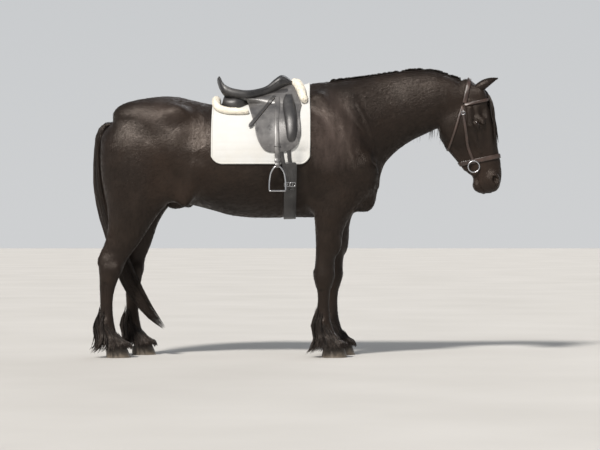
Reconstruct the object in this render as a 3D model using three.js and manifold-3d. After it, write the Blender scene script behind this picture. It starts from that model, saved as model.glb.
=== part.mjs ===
// A Friesian horse at rest in dressage tack, life size, in millimetres.
// +X points forward, +Y to the horse's left, +Z up, and the hooves stand on Z = 0.
// The body is sculpted as one smooth field of profiled tubes and muscles, which is then
// polygonised region by region, simplified, and parted into named solids by thin cuts.
import * as THREE from "three";
import { mergeVertices } from "three/addons/utils/BufferGeometryUtils.js";
import Module from "manifold-3d";

const wasm = await Module();
wasm.setup();

// Driving dimensions
const GAP = 0.3; // clearance between pieces that touch
const SHIFT_X = 0; // moves the finished model so that its box is centred on X = 0
const POLL = [1003, 1564]; // X and Z of the head frame's origin, just behind the ears
const HEAD_LEAN = 11.3; // degrees that the face leans forward of vertical
const NECK_BASE = [340, 1326];
const NECK_RISE = 17.3; // degrees that the neck's centre line rises
const LEFT_FORE_STEP = 53; // how far the left foreleg stands ahead of the right one
const LEFT_HIND_STEP = 128;
const EYE = { u: 205, y: 79, v: 4, radius: 21.5 };

// Small helpers
const radians = (degrees) => (degrees * Math.PI) / 180;
const clamp = (value, low, high) => Math.min(high, Math.max(low, value));
const mix = (a, b, t) => a + (b - a) * t;
const smoothstep = (low, high, value) => {
  const t = clamp((value - low) / (high - low), 0, 1);
  return t * t * (3 - 2 * t);
};

function smoothMin(a, b, k) {
  const h = Math.max(k - Math.abs(a - b), 0) / k;
  return Math.min(a, b) - (h * h * k) / 4;
}

const smoothMax = (a, b, k) => -smoothMin(-a, -b, k);

// Cubic interpolation through hand-set stations [t, a, b, ...], sampled once into a table.
function profile(stations, samples = 160) {
  const columns = stations[0].length - 1;
  const first = stations[0][0];
  const last = stations[stations.length - 1][0];
  const slope = (i, c) => {
    const low = stations[Math.max(i - 1, 0)];
    const high = stations[Math.min(i + 1, stations.length - 1)];
    return (high[c] - low[c]) / (high[0] - low[0]);
  };
  const table = new Float64Array((samples + 1) * columns);
  let i = 0;
  for (let s = 0; s <= samples; s++) {
    const t = mix(first, last, s / samples);
    while (i < stations.length - 2 && t > stations[i + 1][0]) i++;
    const [a, b] = [stations[i], stations[i + 1]];
    const width = b[0] - a[0];
    const f = (t - a[0]) / width;
    for (let c = 1; c <= columns; c++) {
      const [square, cube] = [f ** 2, f ** 3];
      const h = [2 * cube - 3 * square + 1, cube - 2 * square + f, 3 * square - 2 * cube, cube - square];
      table[s * columns + c - 1] =
        h[0] * a[c] + h[1] * width * slope(i, c) + h[2] * b[c] + h[3] * width * slope(i + 1, c);
    }
  }
  return { first, last, samples, columns, table };
}

function sample(p, t, column) {
  const x = clamp((t - p.first) / (p.last - p.first), 0, 1) * p.samples;
  const i = Math.min(Math.floor(x), p.samples - 1);
  return mix(p.table[i * p.columns + column], p.table[(i + 1) * p.columns + column], x - i);
}

// A tube along a straight axis in a vertical plane. Its stations hold: place along the axis,
// front line, back line, where it is widest, half width, sideways centre, and how square the
// front and back halves of the section are (2 is an ellipse).
function tube({ origin, along, across, stations, blend }) {
  const p = profile(stations);
  return {
    blend,
    distance(x, y, z) {
      const dx = x - origin[0];
      const dz = z - origin[1];
      const t = dx * along[0] + dz * along[1];
      const n = dx * across[0] + dz * across[1];
      const mid = sample(p, t, 2);
      const side = y - sample(p, t, 4);
      const height = n > mid ? sample(p, t, 0) - mid : mid - sample(p, t, 1);
      const power = sample(p, t, n > mid ? 5 : 6);
      const a = Math.abs(n - mid) / Math.max(height, 1);
      const b = Math.abs(side) / Math.max(sample(p, t, 3), 1);
      const k = Math.max((a ** power + b ** power) ** (1 / power), 1e-4);
      const d = Math.hypot(n - mid, side) * (1 - 1 / k);
      const beyond = Math.max(p.first - t, t - p.last, 0);
      return beyond > 0 ? Math.hypot(Math.max(d, 0), beyond) : d;
    },
  };
}

// An ellipsoid, tilted in the XZ plane.
function lump([cx, cy, cz], [rx, ry, rz], tilt = 0, blend = 30) {
  const [c, s] = [Math.cos(radians(tilt)), Math.sin(radians(tilt))];
  return {
    blend,
    distance(x, y, z) {
      const dx = x - cx;
      const dz = z - cz;
      const qx = (dx * c + dz * s) / rx;
      const qz = (dz * c - dx * s) / rz;
      const qy = (y - cy) / ry;
      const k1 = Math.hypot(qx, qy, qz);
      const k2 = Math.hypot(qx / rx, qy / ry, qz / rz);
      return k2 < 1e-9 ? -Math.min(rx, ry, rz) : (k1 * (k1 - 1)) / k2;
    },
  };
}

// A round ridge from a to b whose radius runs from ra to rb.
function ridge(a, b, ra, rb, blend = 20) {
  const d = [b[0] - a[0], b[1] - a[1], b[2] - a[2]];
  const square = d[0] ** 2 + d[1] ** 2 + d[2] ** 2;
  return {
    blend,
    distance(x, y, z) {
      const [px, py, pz] = [x - a[0], y - a[1], z - a[2]];
      const t = clamp((px * d[0] + py * d[1] + pz * d[2]) / square, 0, 1);
      return Math.hypot(px - d[0] * t, py - d[1] * t, pz - d[2] * t) - mix(ra, rb, t);
    },
  };
}

// The head's own frame: u runs down the face from the poll, v points out of the forehead
const headAlong = [Math.sin(radians(HEAD_LEAN)), -Math.cos(radians(HEAD_LEAN))];
const headAcross = [-headAlong[1], headAlong[0]];
const fromHead = (u, y, v) => [
  POLL[0] + u * headAlong[0] + v * headAcross[0],
  y,
  POLL[1] + u * headAlong[1] + v * headAcross[1],
];
const HEAD_TILT = HEAD_LEAN - 90; // turns a lump's first radius along the face

const headLump = (at, radii, blend, turn = 0) => lump(fromHead(...at), radii, HEAD_TILT + turn, blend);
const headRidge = (a, b, ra, rb, blend) => ridge(fromHead(...a), fromHead(...b), ra, rb, blend);

const head = tube({
  origin: POLL,
  along: headAlong,
  across: headAcross,
  blend: 34,
  stations: [
    [-62, 20, -40, -10, 30, 0, 2, 2],
    [-30, 48, -80, -12, 58, 0, 2, 2],
    [0, 66, -104, -8, 68, 0, 2.1, 2],
    [50, 88, -140, -2, 76, 0, 2.2, 2],
    [100, 101, -175, 4, 84, 0, 2.3, 2.2],
    [150, 106, -202, 6, 88, 0, 2.4, 2.3],
    [200, 106, -220, 8, 88, 0, 2.5, 2.4],
    [250, 103, -222, 12, 83, 0, 2.5, 2.5],
    [300, 100, -204, 18, 75, 0, 2.5, 2.4],
    [350, 100, -174, 22, 67, 0, 2.5, 2.2],
    [400, 102, -145, 22, 60, 0, 2.5, 2],
    [450, 103, -116, 14, 55, 0, 2.5, 2],
    [500, 102, -88, 6, 54, 0, 2.5, 2],
    [550, 91, -80, 2, 54, 0, 2.3, 2],
    [585, 72, -74, 0, 49, 0, 2.2, 2],
    [605, 48, -58, 0, 38, 0, 2, 2],
    [616, 16, -34, -8, 18, 0, 2, 2],
  ],
});

// Both sides of the head at once: y is taken as positive
const headForms = [
  headLump([205, 74, 12], [44, 30, 38], 16), // orbit
  headRidge([172, 72, 44], [214, 90, 40], 17, 13, 14), // bony brow over the eye
  headRidge([210, 92, -34], [112, 84, -22], 17, 15, 26), // zygomatic arch
  headRidge([232, 82, -34], [372, 61, -8], 14, 5, 22), // facial crest
  headLump([196, 54, -118], [118, 38, 94], 26, 12), // masseter
  headRidge([300, 34, -176], [450, 24, -104], 18, 14, 26), // bar of the lower jaw
  headRidge([250, 22, 84], [452, 18, 88], 20, 10, 22), // nasal bone
  headLump([545, 44, 40], [48, 24, 36], 18, 10), // nostril wing
  headLump([575, 20, 30], [44, 34, 40], 22), // upper lip
  headLump([562, 12, -58], [34, 30, 26], 16), // chin
  headLump([30, 40, 40], [44, 34, 44], 24), // root of the ear
  headLump([60, 40, 62], [60, 34, 36], 26), // temple muscle
];
const headDents = [
  headLump([146, 80, 56], [28, 13, 16], 22), // hollow above the eye
  headLump([330, 84, 46], [95, 20, 26], 24), // cheek beside the nose
  headLump([400, 78, -62], [80, 22, 30], 24), // in front of the masseter
  headRidge([190, 0, -236], [430, 0, -136], 17, 13, 18), // channel between the jaws
  headLump([516, 0, -88], [22, 60, 12], 14), // chin groove
  headLump([238, 92, 22], [24, 8, 8], 8), // tear furrow at the eye's inner corner
];
const NOSTRIL = [
  headLump([553, 66, 47], [19, 17, 12.5], 5, 24),
  headLump([541, 62, 54], [17, 12, 7], 5, 42),
];

// The line between the lips, from its corner to the front: u, v and half its width
const MOUTH = [
  [504, -42, 0.3],
  [530, -47, 0.9],
  [558, -47, 1.1],
  [585, -38, 1.1],
  [608, -22, 1.2],
  [640, -6, 1.2],
];

// The eyeball's centre, and the almond opening between the lids
const eyeCentre = (side) => fromHead(EYE.u, side * EYE.y, EYE.v);
const LID = { thickness: 3.2, halfLength: 19, upper: 13.5, lower: 10.5, slant: 40 };
function cutEyes(d, x, y, z) {
  const [cx, cy, cz] = eyeCentre(1);
  const r = Math.hypot(x - cx, y - cy, z - cz);
  if (r > 2.5 * EYE.radius) return d;
  d = smoothMin(d, r - EYE.radius - LID.thickness, 7);
  const turn = radians(HEAD_TILT + LID.slant);
  const along = (x - cx) * Math.cos(turn) + (z - cz) * Math.sin(turn);
  const up = -(x - cx) * Math.sin(turn) + (z - cz) * Math.cos(turn);
  const almond = Math.hypot(along / 1.5, up) - LID.upper - 3;
  const opening = Math.max(almond, cy - y + 4);
  d = smoothMax(d, -opening, 6);
  return Math.max(d, EYE.radius - 2 - r);
}

const neckAlong = [Math.cos(radians(NECK_RISE)), Math.sin(radians(NECK_RISE))];
const neckAcross = [-neckAlong[1], neckAlong[0]];
const fromNeck = (t, y, n) => [
  NECK_BASE[0] + t * neckAlong[0] + n * neckAcross[0],
  y,
  NECK_BASE[1] + t * neckAlong[1] + n * neckAcross[1],
];
const neckStations = [
  [-240, 300, -200, 0, 130, 0, 1.8, 2],
  [-120, 318, -320, 0, 185, 0, 1.8, 2],
  [0, 306, -345, -30, 178, 0, 1.8, 2],
  [100, 286, -245, -20, 148, 0, 1.8, 2],
  [200, 270, -188, -10, 124, 0, 1.8, 2.1],
  [300, 255, -157, 0, 108, 0, 1.8, 2.1],
  [400, 239, -142, 6, 99, 0, 1.9, 2.1],
  [470, 222, -134, 8, 95, 0, 1.9, 2.1],
  [540, 194, -128, 10, 92, 0, 2, 2],
  [600, 156, -116, 8, 88, 0, 2, 2],
  [660, 108, -92, 4, 74, 0, 2, 2],
  [705, 60, -40, 0, 40, 0, 2, 2],
];
const neckForm = profile(neckStations);
const neck = tube({
  origin: NECK_BASE,
  along: neckAlong,
  across: neckAcross,
  blend: 60,
  stations: neckStations,
});

const trunk = tube({
  origin: [0, 0],
  along: [1, 0],
  across: [0, 1],
  blend: 60,
  stations: [
    [-1136, 1290, 1150, 1225, 30, 0, 2, 2],
    [-1112, 1345, 1100, 1222, 92, 0, 2, 2],
    [-1060, 1404, 1040, 1216, 152, 0, 2, 2],
    [-985, 1460, 990, 1208, 204, 0, 1.95, 2],
    [-900, 1504, 955, 1200, 240, 0, 1.95, 2],
    [-800, 1526, 925, 1192, 262, 0, 2, 2],
    [-700, 1522, 902, 1180, 274, 0, 2.05, 2],
    [-600, 1500, 882, 1168, 286, 0, 2.1, 2.1],
    [-500, 1478, 856, 1150, 301, 0, 2.1, 2.2],
    [-400, 1470, 828, 1132, 316, 0, 2.1, 2.2],
    [-300, 1480, 815, 1120, 324, 0, 2.1, 2.2],
    [-200, 1502, 811, 1115, 318, 0, 2, 2.2],
    [-100, 1535, 812, 1115, 300, 0, 1.9, 2.2],
    [0, 1573, 814, 1120, 272, 0, 1.8, 2.2],
    [100, 1596, 814, 1125, 246, 0, 1.8, 2.1],
    [200, 1570, 820, 1115, 234, 0, 1.8, 2],
    [300, 1480, 832, 1095, 220, 0, 2, 2],
    [380, 1370, 856, 1070, 190, 0, 2, 2],
    [440, 1230, 905, 1045, 132, 0, 2, 2],
    [474, 1110, 985, 1045, 50, 0, 2, 2],
  ],
});

// Muscles and bony points that show, on both sides at once
const bodyForms = [
  lump([-700, 204, 1418], [58, 36, 44], -10, 70), // point of the hip
  lump([-860, 116, 1390], [210, 104, 104], -8, 80), // croup
  lump([-1098, 84, 1262], [44, 44, 66], 0, 60), // point of the buttock
  lump([-726, 176, 992], [60, 56, 84], 10, 60), // stifle
  lump([404, 158, 1060], [62, 52, 84], 0, 64), // point of the shoulder
  lump([196, 190, 1046], [150, 52, 124], -24, 70), // triceps
  ridge([120, 132, 1500], [384, 168, 1130], 34, 40, 80), // shoulder blade
  lump([112, 166, 905], [42, 38, 54], 0, 40), // elbow
  lump([386, 74, 972], [70, 66, 122], 12, 60), // breast muscle
  lump([30, 196, 1180], [190, 84, 220], 0, 80), // ribs behind the shoulder
  ridge([-650, 206, 905], [-570, 240, 1080], 30, 26, 80), // fold of the flank
];
const bodyDents = [
  lump([-600, 324, 1330], [70, 52, 90], 0, 60), // hollow of the flank
  ridge([452, 168, 1150], [800, 112, 1374], 14, 11, 40), // jugular groove
  ridge([36, 304, 1180], [56, 254, 900], 20, 14, 60), // behind the shoulder
  ridge([-1130, 0, 1190], [-1000, 0, 975], 24, 32, 60), // between the buttocks
  ridge([-860, 0, 1560], [-1030, 0, 1470], 20, 14, 50), // groove along the croup
  ridge([436, 0, 1040], [380, 0, 850], 18, 20, 44), // between the breast muscles
];
const sheath = lump([-706, 0, 900], [66, 38, 36], 6, 34);

// Leg stations: height, front, back, widest, half width, sideways centre, squareness
const FORE_STATIONS = [
  [30, 268, 160, 214, 50, 136, 2, 2],
  [60, 262, 156, 210, 50, 136, 2, 2],
  [88, 254, 150, 204, 46, 136, 2, 2],
  [118, 236, 134, 186, 37, 137, 2, 2],
  [150, 215, 112, 166, 33, 138, 2, 2],
  [200, 198, 98, 150, 39, 139, 2, 2],
  [230, 192, 104, 150, 34, 139, 2, 2],
  [262, 189, 110, 152, 29, 139, 2, 2],
  [330, 187, 115, 154, 29, 140, 2, 2],
  [388, 194, 112, 156, 37, 140, 2.1, 2.1],
  [430, 208, 99, 156, 48, 141, 2.4, 2.2],
  [476, 219, 93, 158, 53, 142, 2.5, 2.2],
  [530, 218, 99, 160, 50, 143, 2.3, 2.2],
  [594, 224, 104, 164, 52, 145, 2.1, 2.1],
  [682, 248, 104, 176, 64, 148, 2, 2],
  [770, 284, 100, 190, 76, 152, 2, 2],
  [829, 318, 94, 206, 84, 156, 2, 2],
  [900, 372, 84, 226, 88, 158, 2, 2],
  [1000, 432, 84, 260, 88, 156, 2, 2],
  [1100, 436, 90, 262, 80, 150, 2, 2],
  [1220, 392, 90, 240, 66, 138, 2, 2],
  [1360, 300, 80, 190, 48, 118, 2, 2],
  [1480, 200, 70, 135, 24, 92, 2, 2],
];
const HIND_STATIONS = [
  [30, -992, -1102, -1046, 50, 150, 2, 2],
  [60, -998, -1106, -1052, 50, 150, 2, 2],
  [90, -1010, -1116, -1064, 45, 150, 2, 2],
  [120, -1034, -1134, -1085, 36, 150, 2, 2],
  [150, -1052, -1152, -1103, 33, 150, 2, 2],
  [190, -1062, -1164, -1112, 39, 150, 2, 2],
  [225, -1068, -1158, -1110, 34, 150, 2, 2],
  [262, -1072, -1150, -1110, 29, 150, 2, 2],
  [330, -1072, -1150, -1108, 29, 150, 2, 2],
  [400, -1060, -1152, -1102, 36, 150, 2, 2],
  [470, -1034, -1154, -1092, 46, 150, 2.2, 2],
  [518, -1012, -1158, -1082, 52, 150, 2.3, 1.9],
  [565, -990, -1162, -1068, 47, 150, 2.1, 1.7],
  [606, -962, -1150, -1050, 44, 150, 2, 1.6],
  [653, -926, -1128, -1020, 50, 150, 2, 1.6],
  [712, -886, -1110, -988, 62, 150, 2, 1.8],
  [770, -850, -1104, -964, 74, 150, 2, 2],
  [829, -808, -1104, -944, 86, 151, 2, 2],
  [900, -752, -1112, -925, 100, 150, 2, 2],
  [980, -704, -1128, -915, 114, 146, 2, 2.1],
  [1060, -694, -1142, -915, 124, 140, 2, 2.1],
  [1150, -714, -1148, -930, 128, 134, 2, 2.1],
  [1240, -764, -1138, -950, 122, 130, 2, 2],
  [1330, -850, -1096, -970, 96, 124, 2, 2],
  [1390, -920, -1040, -980, 50, 116, 2, 2],
];

// A leg on one side. The left ones step forward, less and less towards the body.
function leg(stations, side, step) {
  const placed = stations.map(([z, front, back, mid, width, centre, p, q]) => {
    const move = side > 0 ? step(z) : 0;
    return [z, front + move, back + move, mid + move, width, side * centre, p, q];
  });
  return tube({ origin: [0, 0], along: [0, 1], across: [1, 0], stations: placed, blend: 46 });
}

// How far ahead a point of the left legs stands at one height
const foreStep = (z) => LEFT_FORE_STEP * (1 - smoothstep(650, 900, z));
const hindStep = (z) => LEFT_HIND_STEP * (1 - smoothstep(350, 900, z));

// Bones and tendons of one lower leg: x, y and z for a right leg, moved for a left one
function legForms(side) {
  const fore = ([x, y, z]) => [x + (side > 0 ? foreStep(z) : 0), side * y, z];
  const hind = ([x, y, z]) => [x + (side > 0 ? hindStep(z) : 0), side * y, z];
  return [
    ridge(fore([104, 142, 500]), fore([106, 142, 468]), 13, 11, 14), // back of the knee
    ridge(fore([120, 139, 214]), fore([110, 139, 188]), 20, 22, 16), // sesamoids
    lump(fore([206, 166, 716]), [46, 34, 120], 10, 34), // forearm muscle
    ridge(hind([-1144, 150, 574]), hind([-1148, 150, 550]), 13, 14, 14), // point of the hock
    ridge(hind([-1138, 150, 214]), hind([-1146, 150, 188]), 20, 22, 16),
    lump(hind([-1052, 176, 510]), [30, 26, 34], 0, 26), // outer and inner knuckles of the hock
    lump(hind([-1052, 124, 510]), [30, 26, 34], 0, 26),
  ];
}
function legDents(side) {
  const fore = ([x, y, z]) => [x + (side > 0 ? foreStep(z) : 0), side * y, z];
  const hind = ([x, y, z]) => [x + (side > 0 ? hindStep(z) : 0), side * y, z];
  return [
    ridge(fore([136, 176, 380]), fore([134, 176, 235]), 11, 11, 10),
    ridge(hind([-1120, 186, 420]), hind([-1124, 186, 240]), 11, 11, 10),
    ridge(hind([-1098, 202, 690]), hind([-1114, 202, 600]), 20, 12, 20), // before the Achilles tendon
    ridge(hind([-1098, 98, 690]), hind([-1114, 98, 600]), 20, 12, 20),
  ];
}

const legs = {
  right_foreleg: leg(FORE_STATIONS, -1, foreStep),
  left_foreleg: leg(FORE_STATIONS, 1, foreStep),
  right_hindleg: leg(HIND_STATIONS, -1, hindStep),
  left_hindleg: leg(HIND_STATIONS, 1, hindStep),
};
const sideForms = { right: legForms(-1), left: legForms(1) };
const sideDents = { right: legDents(-1), left: legDents(1) };

// The whole horse without mane, tail, ears and hooves: negative inside, in millimetres
function body(x, y, z) {
  const side = y < 0 ? "right" : "left";
  const m = Math.abs(y);
  let d = 1e3;
  if (x > 700) {
    d = head.distance(x, y, z);
    for (const form of headForms) d = smoothMin(d, form.distance(x, m, z), form.blend);
    for (const dent of headDents) d = smoothMax(d, -dent.distance(x, m, z), dent.blend);
    d = cutEyes(d, x, m, z);
    for (const hole of NOSTRIL) d = smoothMax(d, -hole.distance(x, m, z), hole.blend);
  }
  if (x > -200 && z > 700) d = smoothMin(d, neck.distance(x, y, z), 22);
  if (x < 700) {
    d = smoothMin(d, trunk.distance(x, y, z), trunk.blend);
    for (const name of ["foreleg", "hindleg"]) {
      const tubeOf = legs[side + "_" + name];
      d = smoothMin(d, tubeOf.distance(x, y, z), tubeOf.blend);
    }
    if (z > 750) {
      for (const form of bodyForms) d = smoothMin(d, form.distance(x, m, z), form.blend);
      d = smoothMin(d, sheath.distance(x, y, z), sheath.blend);
    } else {
      for (const form of sideForms[side]) d = smoothMin(d, form.distance(x, y, z), form.blend);
      for (const dent of sideDents[side]) d = smoothMax(d, -dent.distance(x, y, z), dent.blend);
    }
  }
  if (z > 750 && x < 850) {
    for (const dent of bodyDents) d = smoothMax(d, -dent.distance(x, m, z), dent.blend);
  }
  return d;
}

// Surface nets over a box: one point in each cell that the surface crosses, moved onto it
function surfaceNet(field, low, high, cell) {
  const n = [0, 1, 2].map((i) => Math.ceil((high[i] - low[i]) / cell) + 2);
  const [nx, ny, nz] = n;
  const at = (i, j, k) => (i * ny + j) * nz + k;
  const place = (...index) => index.map((i, c) => low[c] + (i - 0.5) * cell);
  const capped = (x, y, z) => {
    const box = Math.max(low[0] - x, x - high[0], low[1] - y, y - high[1], low[2] - z, z - high[2]);
    return Math.max(field(x, y, z), box);
  };
  const values = new Float32Array(nx * ny * nz).fill(1e3);
  const block = 4;
  const reach = block * cell * 2.2;
  for (let i = 0; i < nx; i += block)
    for (let j = 0; j < ny; j += block)
      for (let k = 0; k < nz; k += block) {
        const middle = place(i + block / 2, j + block / 2, k + block / 2);
        const d = capped(...middle);
        const near = Math.abs(d) < reach;
        for (let a = i; a < Math.min(i + block, nx); a++)
          for (let b = j; b < Math.min(j + block, ny); b++)
            for (let c = k; c < Math.min(k + block, nz); c++)
              values[at(a, b, c)] = near ? capped(...place(a, b, c)) : d;
      }
  const points = [];
  const pointOf = new Int32Array(nx * ny * nz).fill(-1);
  for (let i = 0; i < nx - 1; i++)
    for (let j = 0; j < ny - 1; j++)
      for (let k = 0; k < nz - 1; k++) {
        let count = 0;
        const sum = [0, 0, 0];
        for (let axis = 0; axis < 3; axis++)
          for (let e = 0; e < 4; e++) {
            const from = [0, 0, 0];
            from[(axis + 1) % 3] = e & 1;
            from[(axis + 2) % 3] = e >> 1;
            const to = from.slice();
            to[axis] = 1;
            const va = values[at(i + from[0], j + from[1], k + from[2])];
            const vb = values[at(i + to[0], j + to[1], k + to[2])];
            if (va < 0 === vb < 0) continue;
            const f = va / (va - vb);
            for (let c = 0; c < 3; c++) sum[c] += from[c] + (to[c] - from[c]) * f;
            count++;
          }
        if (!count) continue;
        pointOf[at(i, j, k)] = points.length;
        points.push(place(i + sum[0] / count, j + sum[1] / count, k + sum[2] / count));
      }
  for (const p of points) settle(capped, p, cell);
  const triangles = [];
  const diagonals = new Set();
  for (let i = 0; i < nx - 1; i++)
    for (let j = 0; j < ny - 1; j++)
      for (let k = 0; k < nz - 1; k++)
        for (let axis = 0; axis < 3; axis++) {
          const next = [i, j, k];
          next[axis]++;
          const inside = values[at(i, j, k)] < 0;
          if (inside === values[at(...next)] < 0) continue;
          const [p, q] = [(axis + 1) % 3, (axis + 2) % 3];
          if (next[p] < 1 || next[q] < 1) continue;
          const corner = (a, b) => {
            const c = [i, j, k];
            c[p] -= a;
            c[q] -= b;
            return pointOf[at(...c)];
          };
          const quad = [corner(0, 0), corner(1, 0), corner(1, 1), corner(0, 1)];
          if (!inside) quad.reverse();
          const cost = (a, b) => {
            const used = diagonals.has(Math.min(a, b) * points.length + Math.max(a, b));
            return used ? Infinity : Math.hypot(...points[a].map((v, c) => v - points[b][c]));
          };
          const [a, b, c, d] = quad;
          const first = cost(a, c) < cost(b, d);
          const [m, n] = first ? [a, c] : [b, d];
          diagonals.add(Math.min(m, n) * points.length + Math.max(m, n));
          if (first) triangles.push([a, b, c], [a, c, d]);
          else triangles.push([b, c, d], [b, d, a]);
        }
  return { points, triangles };
}

function gradient(field, [x, y, z], step = 1) {
  const g = [
    field(x + step, y, z) - field(x - step, y, z),
    field(x, y + step, z) - field(x, y - step, z),
    field(x, y, z + step) - field(x, y, z - step),
  ];
  return g.map((v) => v / (2 * step));
}

// Moves a point along the field's slope until it lies at the given distance from the surface
function settle(field, p, limit, level = 0) {
  for (let turn = 0; turn < 3; turn++) {
    const d = field(...p) - level;
    const g = gradient(field, p);
    const square = Math.max(g[0] ** 2 + g[1] ** 2 + g[2] ** 2, 0.2);
    for (let c = 0; c < 3; c++) p[c] -= clamp((d * g[c]) / square, -0.4 * limit, 0.4 * limit);
  }
  return p;
}

function determinant([ax, ay, az], [bx, by, bz], [cx, cy, cz]) {
  return ax * (by * cz - bz * cy) - bx * (ay * cz - az * cy) + cx * (ay * bz - az * by);
}

function faceNormal(a, b, c) {
  const [ux, uy, uz] = [b[0] - a[0], b[1] - a[1], b[2] - a[2]];
  const [vx, vy, vz] = [c[0] - a[0], c[1] - a[1], c[2] - a[2]];
  return [uy * vz - uz * vy, uz * vx - ux * vz, ux * vy - uy * vx];
}

// Simplifies a closed mesh by collapsing the edges whose removal moves the surface least, down to
// the number of triangles asked for, or while the surface moves less than a tolerance
function simplify({ points, triangles }, target, importance = () => 1, tolerance = 0) {
  const faces = triangles.map((t) => t.slice());
  const around = points.map(() => new Set());
  faces.forEach((f, i) => f.forEach((v) => around[v].add(i)));
  const quadrics = points.map(() => new Float64Array(11));
  for (const f of faces) {
    const [a, b, c] = f.map((v) => points[v]);
    const n = faceNormal(a, b, c);
    const size = Math.hypot(...n);
    if (size < 1e-12) continue;
    const [nx, ny, nz] = n.map((v) => v / size);
    const d = -(nx * a[0] + ny * a[1] + nz * a[2]);
    const w = size * importance(a);
    const plane = [nx * nx, nx * ny, nx * nz, nx * d, ny * ny, ny * nz, ny * d, nz * nz, nz * d, d * d];
    for (const v of f) {
      for (let i = 0; i < 10; i++) quadrics[v][i] += w * plane[i];
      quadrics[v][10] += w;
    }
  }
  const age = new Int32Array(points.length);
  const heap = [];
  const swap = (i, j) => ([heap[i], heap[j]] = [heap[j], heap[i]]);
  function push(entry) {
    heap.push(entry);
    let i = heap.length - 1;
    while (i > 0 && heap[(i - 1) >> 1].cost > heap[i].cost) {
      swap(i, (i - 1) >> 1);
      i = (i - 1) >> 1;
    }
  }
  function pop() {
    swap(0, heap.length - 1);
    const top = heap.pop();
    let i = 0;
    for (;;) {
      const l = 2 * i + 1;
      if (l >= heap.length) return top;
      const c = l + 1 < heap.length && heap[l + 1].cost < heap[l].cost ? l + 1 : l;
      if (heap[c].cost >= heap[i].cost) return top;
      swap(i, c);
      i = c;
    }
  }
  function consider(a, b) {
    const q = quadrics[a].map((v, i) => v + quadrics[b][i]);
    const [p, r] = [points[a], points[b]];
    const middle = [0, 1, 2].map((c) => (p[c] + r[c]) / 2);
    const length = Math.hypot(p[0] - r[0], p[1] - r[1], p[2] - r[2]);
    const error = ([x, y, z]) =>
      q[0] * x * x + 2 * q[1] * x * y + 2 * q[2] * x * z + 2 * q[3] * x +
      q[4] * y * y + 2 * q[5] * y * z + 2 * q[6] * y + q[7] * z * z + 2 * q[8] * z + q[9];
    const columns = [
      [q[0], q[1], q[2]],
      [q[1], q[4], q[5]],
      [q[2], q[5], q[7]],
    ];
    const goal = [-q[3], -q[6], -q[8]];
    const det = determinant(...columns);
    let best = middle;
    let cost = error(middle);
    const scale = q[0] + q[4] + q[7];
    if (Math.abs(det) > 1e-4 * scale ** 3) {
      const swapped = (i) => determinant(...columns.map((column, k) => (k === i ? goal : column)));
      const exact = [0, 1, 2].map((i) => swapped(i) / det);
      if (Math.hypot(...exact.map((v, c) => v - middle[c])) < length) {
        best = exact;
        cost = error(exact);
      }
    }
    const keep = tolerance ? 1e-7 : 1e-3 * importance(middle);
    if (tolerance) cost /= q[10] || 1;
    push({ cost: cost + keep * length * length, a, b, ageA: age[a], ageB: age[b], best });
  }
  const seen = new Set();
  for (const f of faces)
    for (let e = 0; e < 3; e++) {
      const [a, b] = [Math.min(f[e], f[(e + 1) % 3]), Math.max(f[e], f[(e + 1) % 3])];
      const key = a * points.length + b;
      if (!seen.has(key)) {
        seen.add(key);
        consider(a, b);
      }
    }
  const ring = (v) => {
    const near = new Set();
    for (const f of around[v]) for (const w of faces[f]) if (w !== v) near.add(w);
    return near;
  };
  let left = faces.length;
  while (left > target && heap.length) {
    const { cost, a, b, ageA, ageB, best } = pop();
    if (tolerance && cost > tolerance * tolerance) break;
    if (age[a] !== ageA || age[b] !== ageB) continue;
    const ringA = ring(a);
    const ringB = ring(b);
    let shared = 0;
    for (const v of ringA) if (ringB.has(v)) shared++;
    if (shared !== 2) continue;
    let flips = false;
    for (const v of [a, b])
      for (const f of around[v]) {
        const face = faces[f];
        if (face.includes(a) && face.includes(b)) continue;
        const before = faceNormal(...face.map((w) => points[w]));
        const after = faceNormal(...face.map((w) => (w === v ? best : points[w])));
        const dot = before[0] * after[0] + before[1] * after[1] + before[2] * after[2];
        if (dot < 0.25 * Math.hypot(...before) * Math.hypot(...after)) flips = true;
      }
    if (flips) continue;
    points[a] = best;
    for (let i = 0; i < 11; i++) quadrics[a][i] += quadrics[b][i];
    for (const f of [...around[b]]) {
      const face = faces[f];
      if (face.includes(a)) {
        for (const w of face) around[w].delete(f);
        faces[f] = null;
        left--;
      } else {
        face[face.indexOf(b)] = a;
        around[a].add(f);
      }
    }
    around[b].clear();
    age[a]++;
    age[b] = -1;
    for (const w of ring(a)) {
      age[w]++;
    }
    for (const w of ring(a)) {
      consider(Math.min(a, w), Math.max(a, w));
      for (const x of ring(w)) if (x !== a && x > w) consider(w, x);
    }
  }
  const used = new Map();
  const kept = [];
  const out = faces.filter(Boolean).map((f) =>
    f.map((v) => {
      if (!used.has(v)) {
        used.set(v, kept.length);
        kept.push(points[v]);
      }
      return used.get(v);
    }),
  );
  return { points: kept, triangles: out };
}

// Closed solids
function solid(points, triangles) {
  const made = new wasm.Manifold(
    new wasm.Mesh({
      numProp: 3,
      vertProperties: new Float32Array(points.flat()),
      triVerts: new Uint32Array(triangles.flat()),
    }),
  );
  return made.volume() > 0 ? made : solid(points, triangles.map(([a, b, c]) => [a, c, b]));
}

function solidOf(geometry) {
  const plain = geometry.clone();
  for (const name of ["normal", "uv"]) plain.deleteAttribute(name);
  const merged = mergeVertices(plain, 1e-3);
  const p = merged.attributes.position;
  const points = Array.from({ length: p.count }, (_, i) => [p.getX(i), p.getY(i), p.getZ(i)]);
  const index = Array.from(merged.index.array);
  return solid(points, Array.from({ length: index.length / 3 }, (_, i) => index.slice(3 * i, 3 * i + 3)));
}

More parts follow.
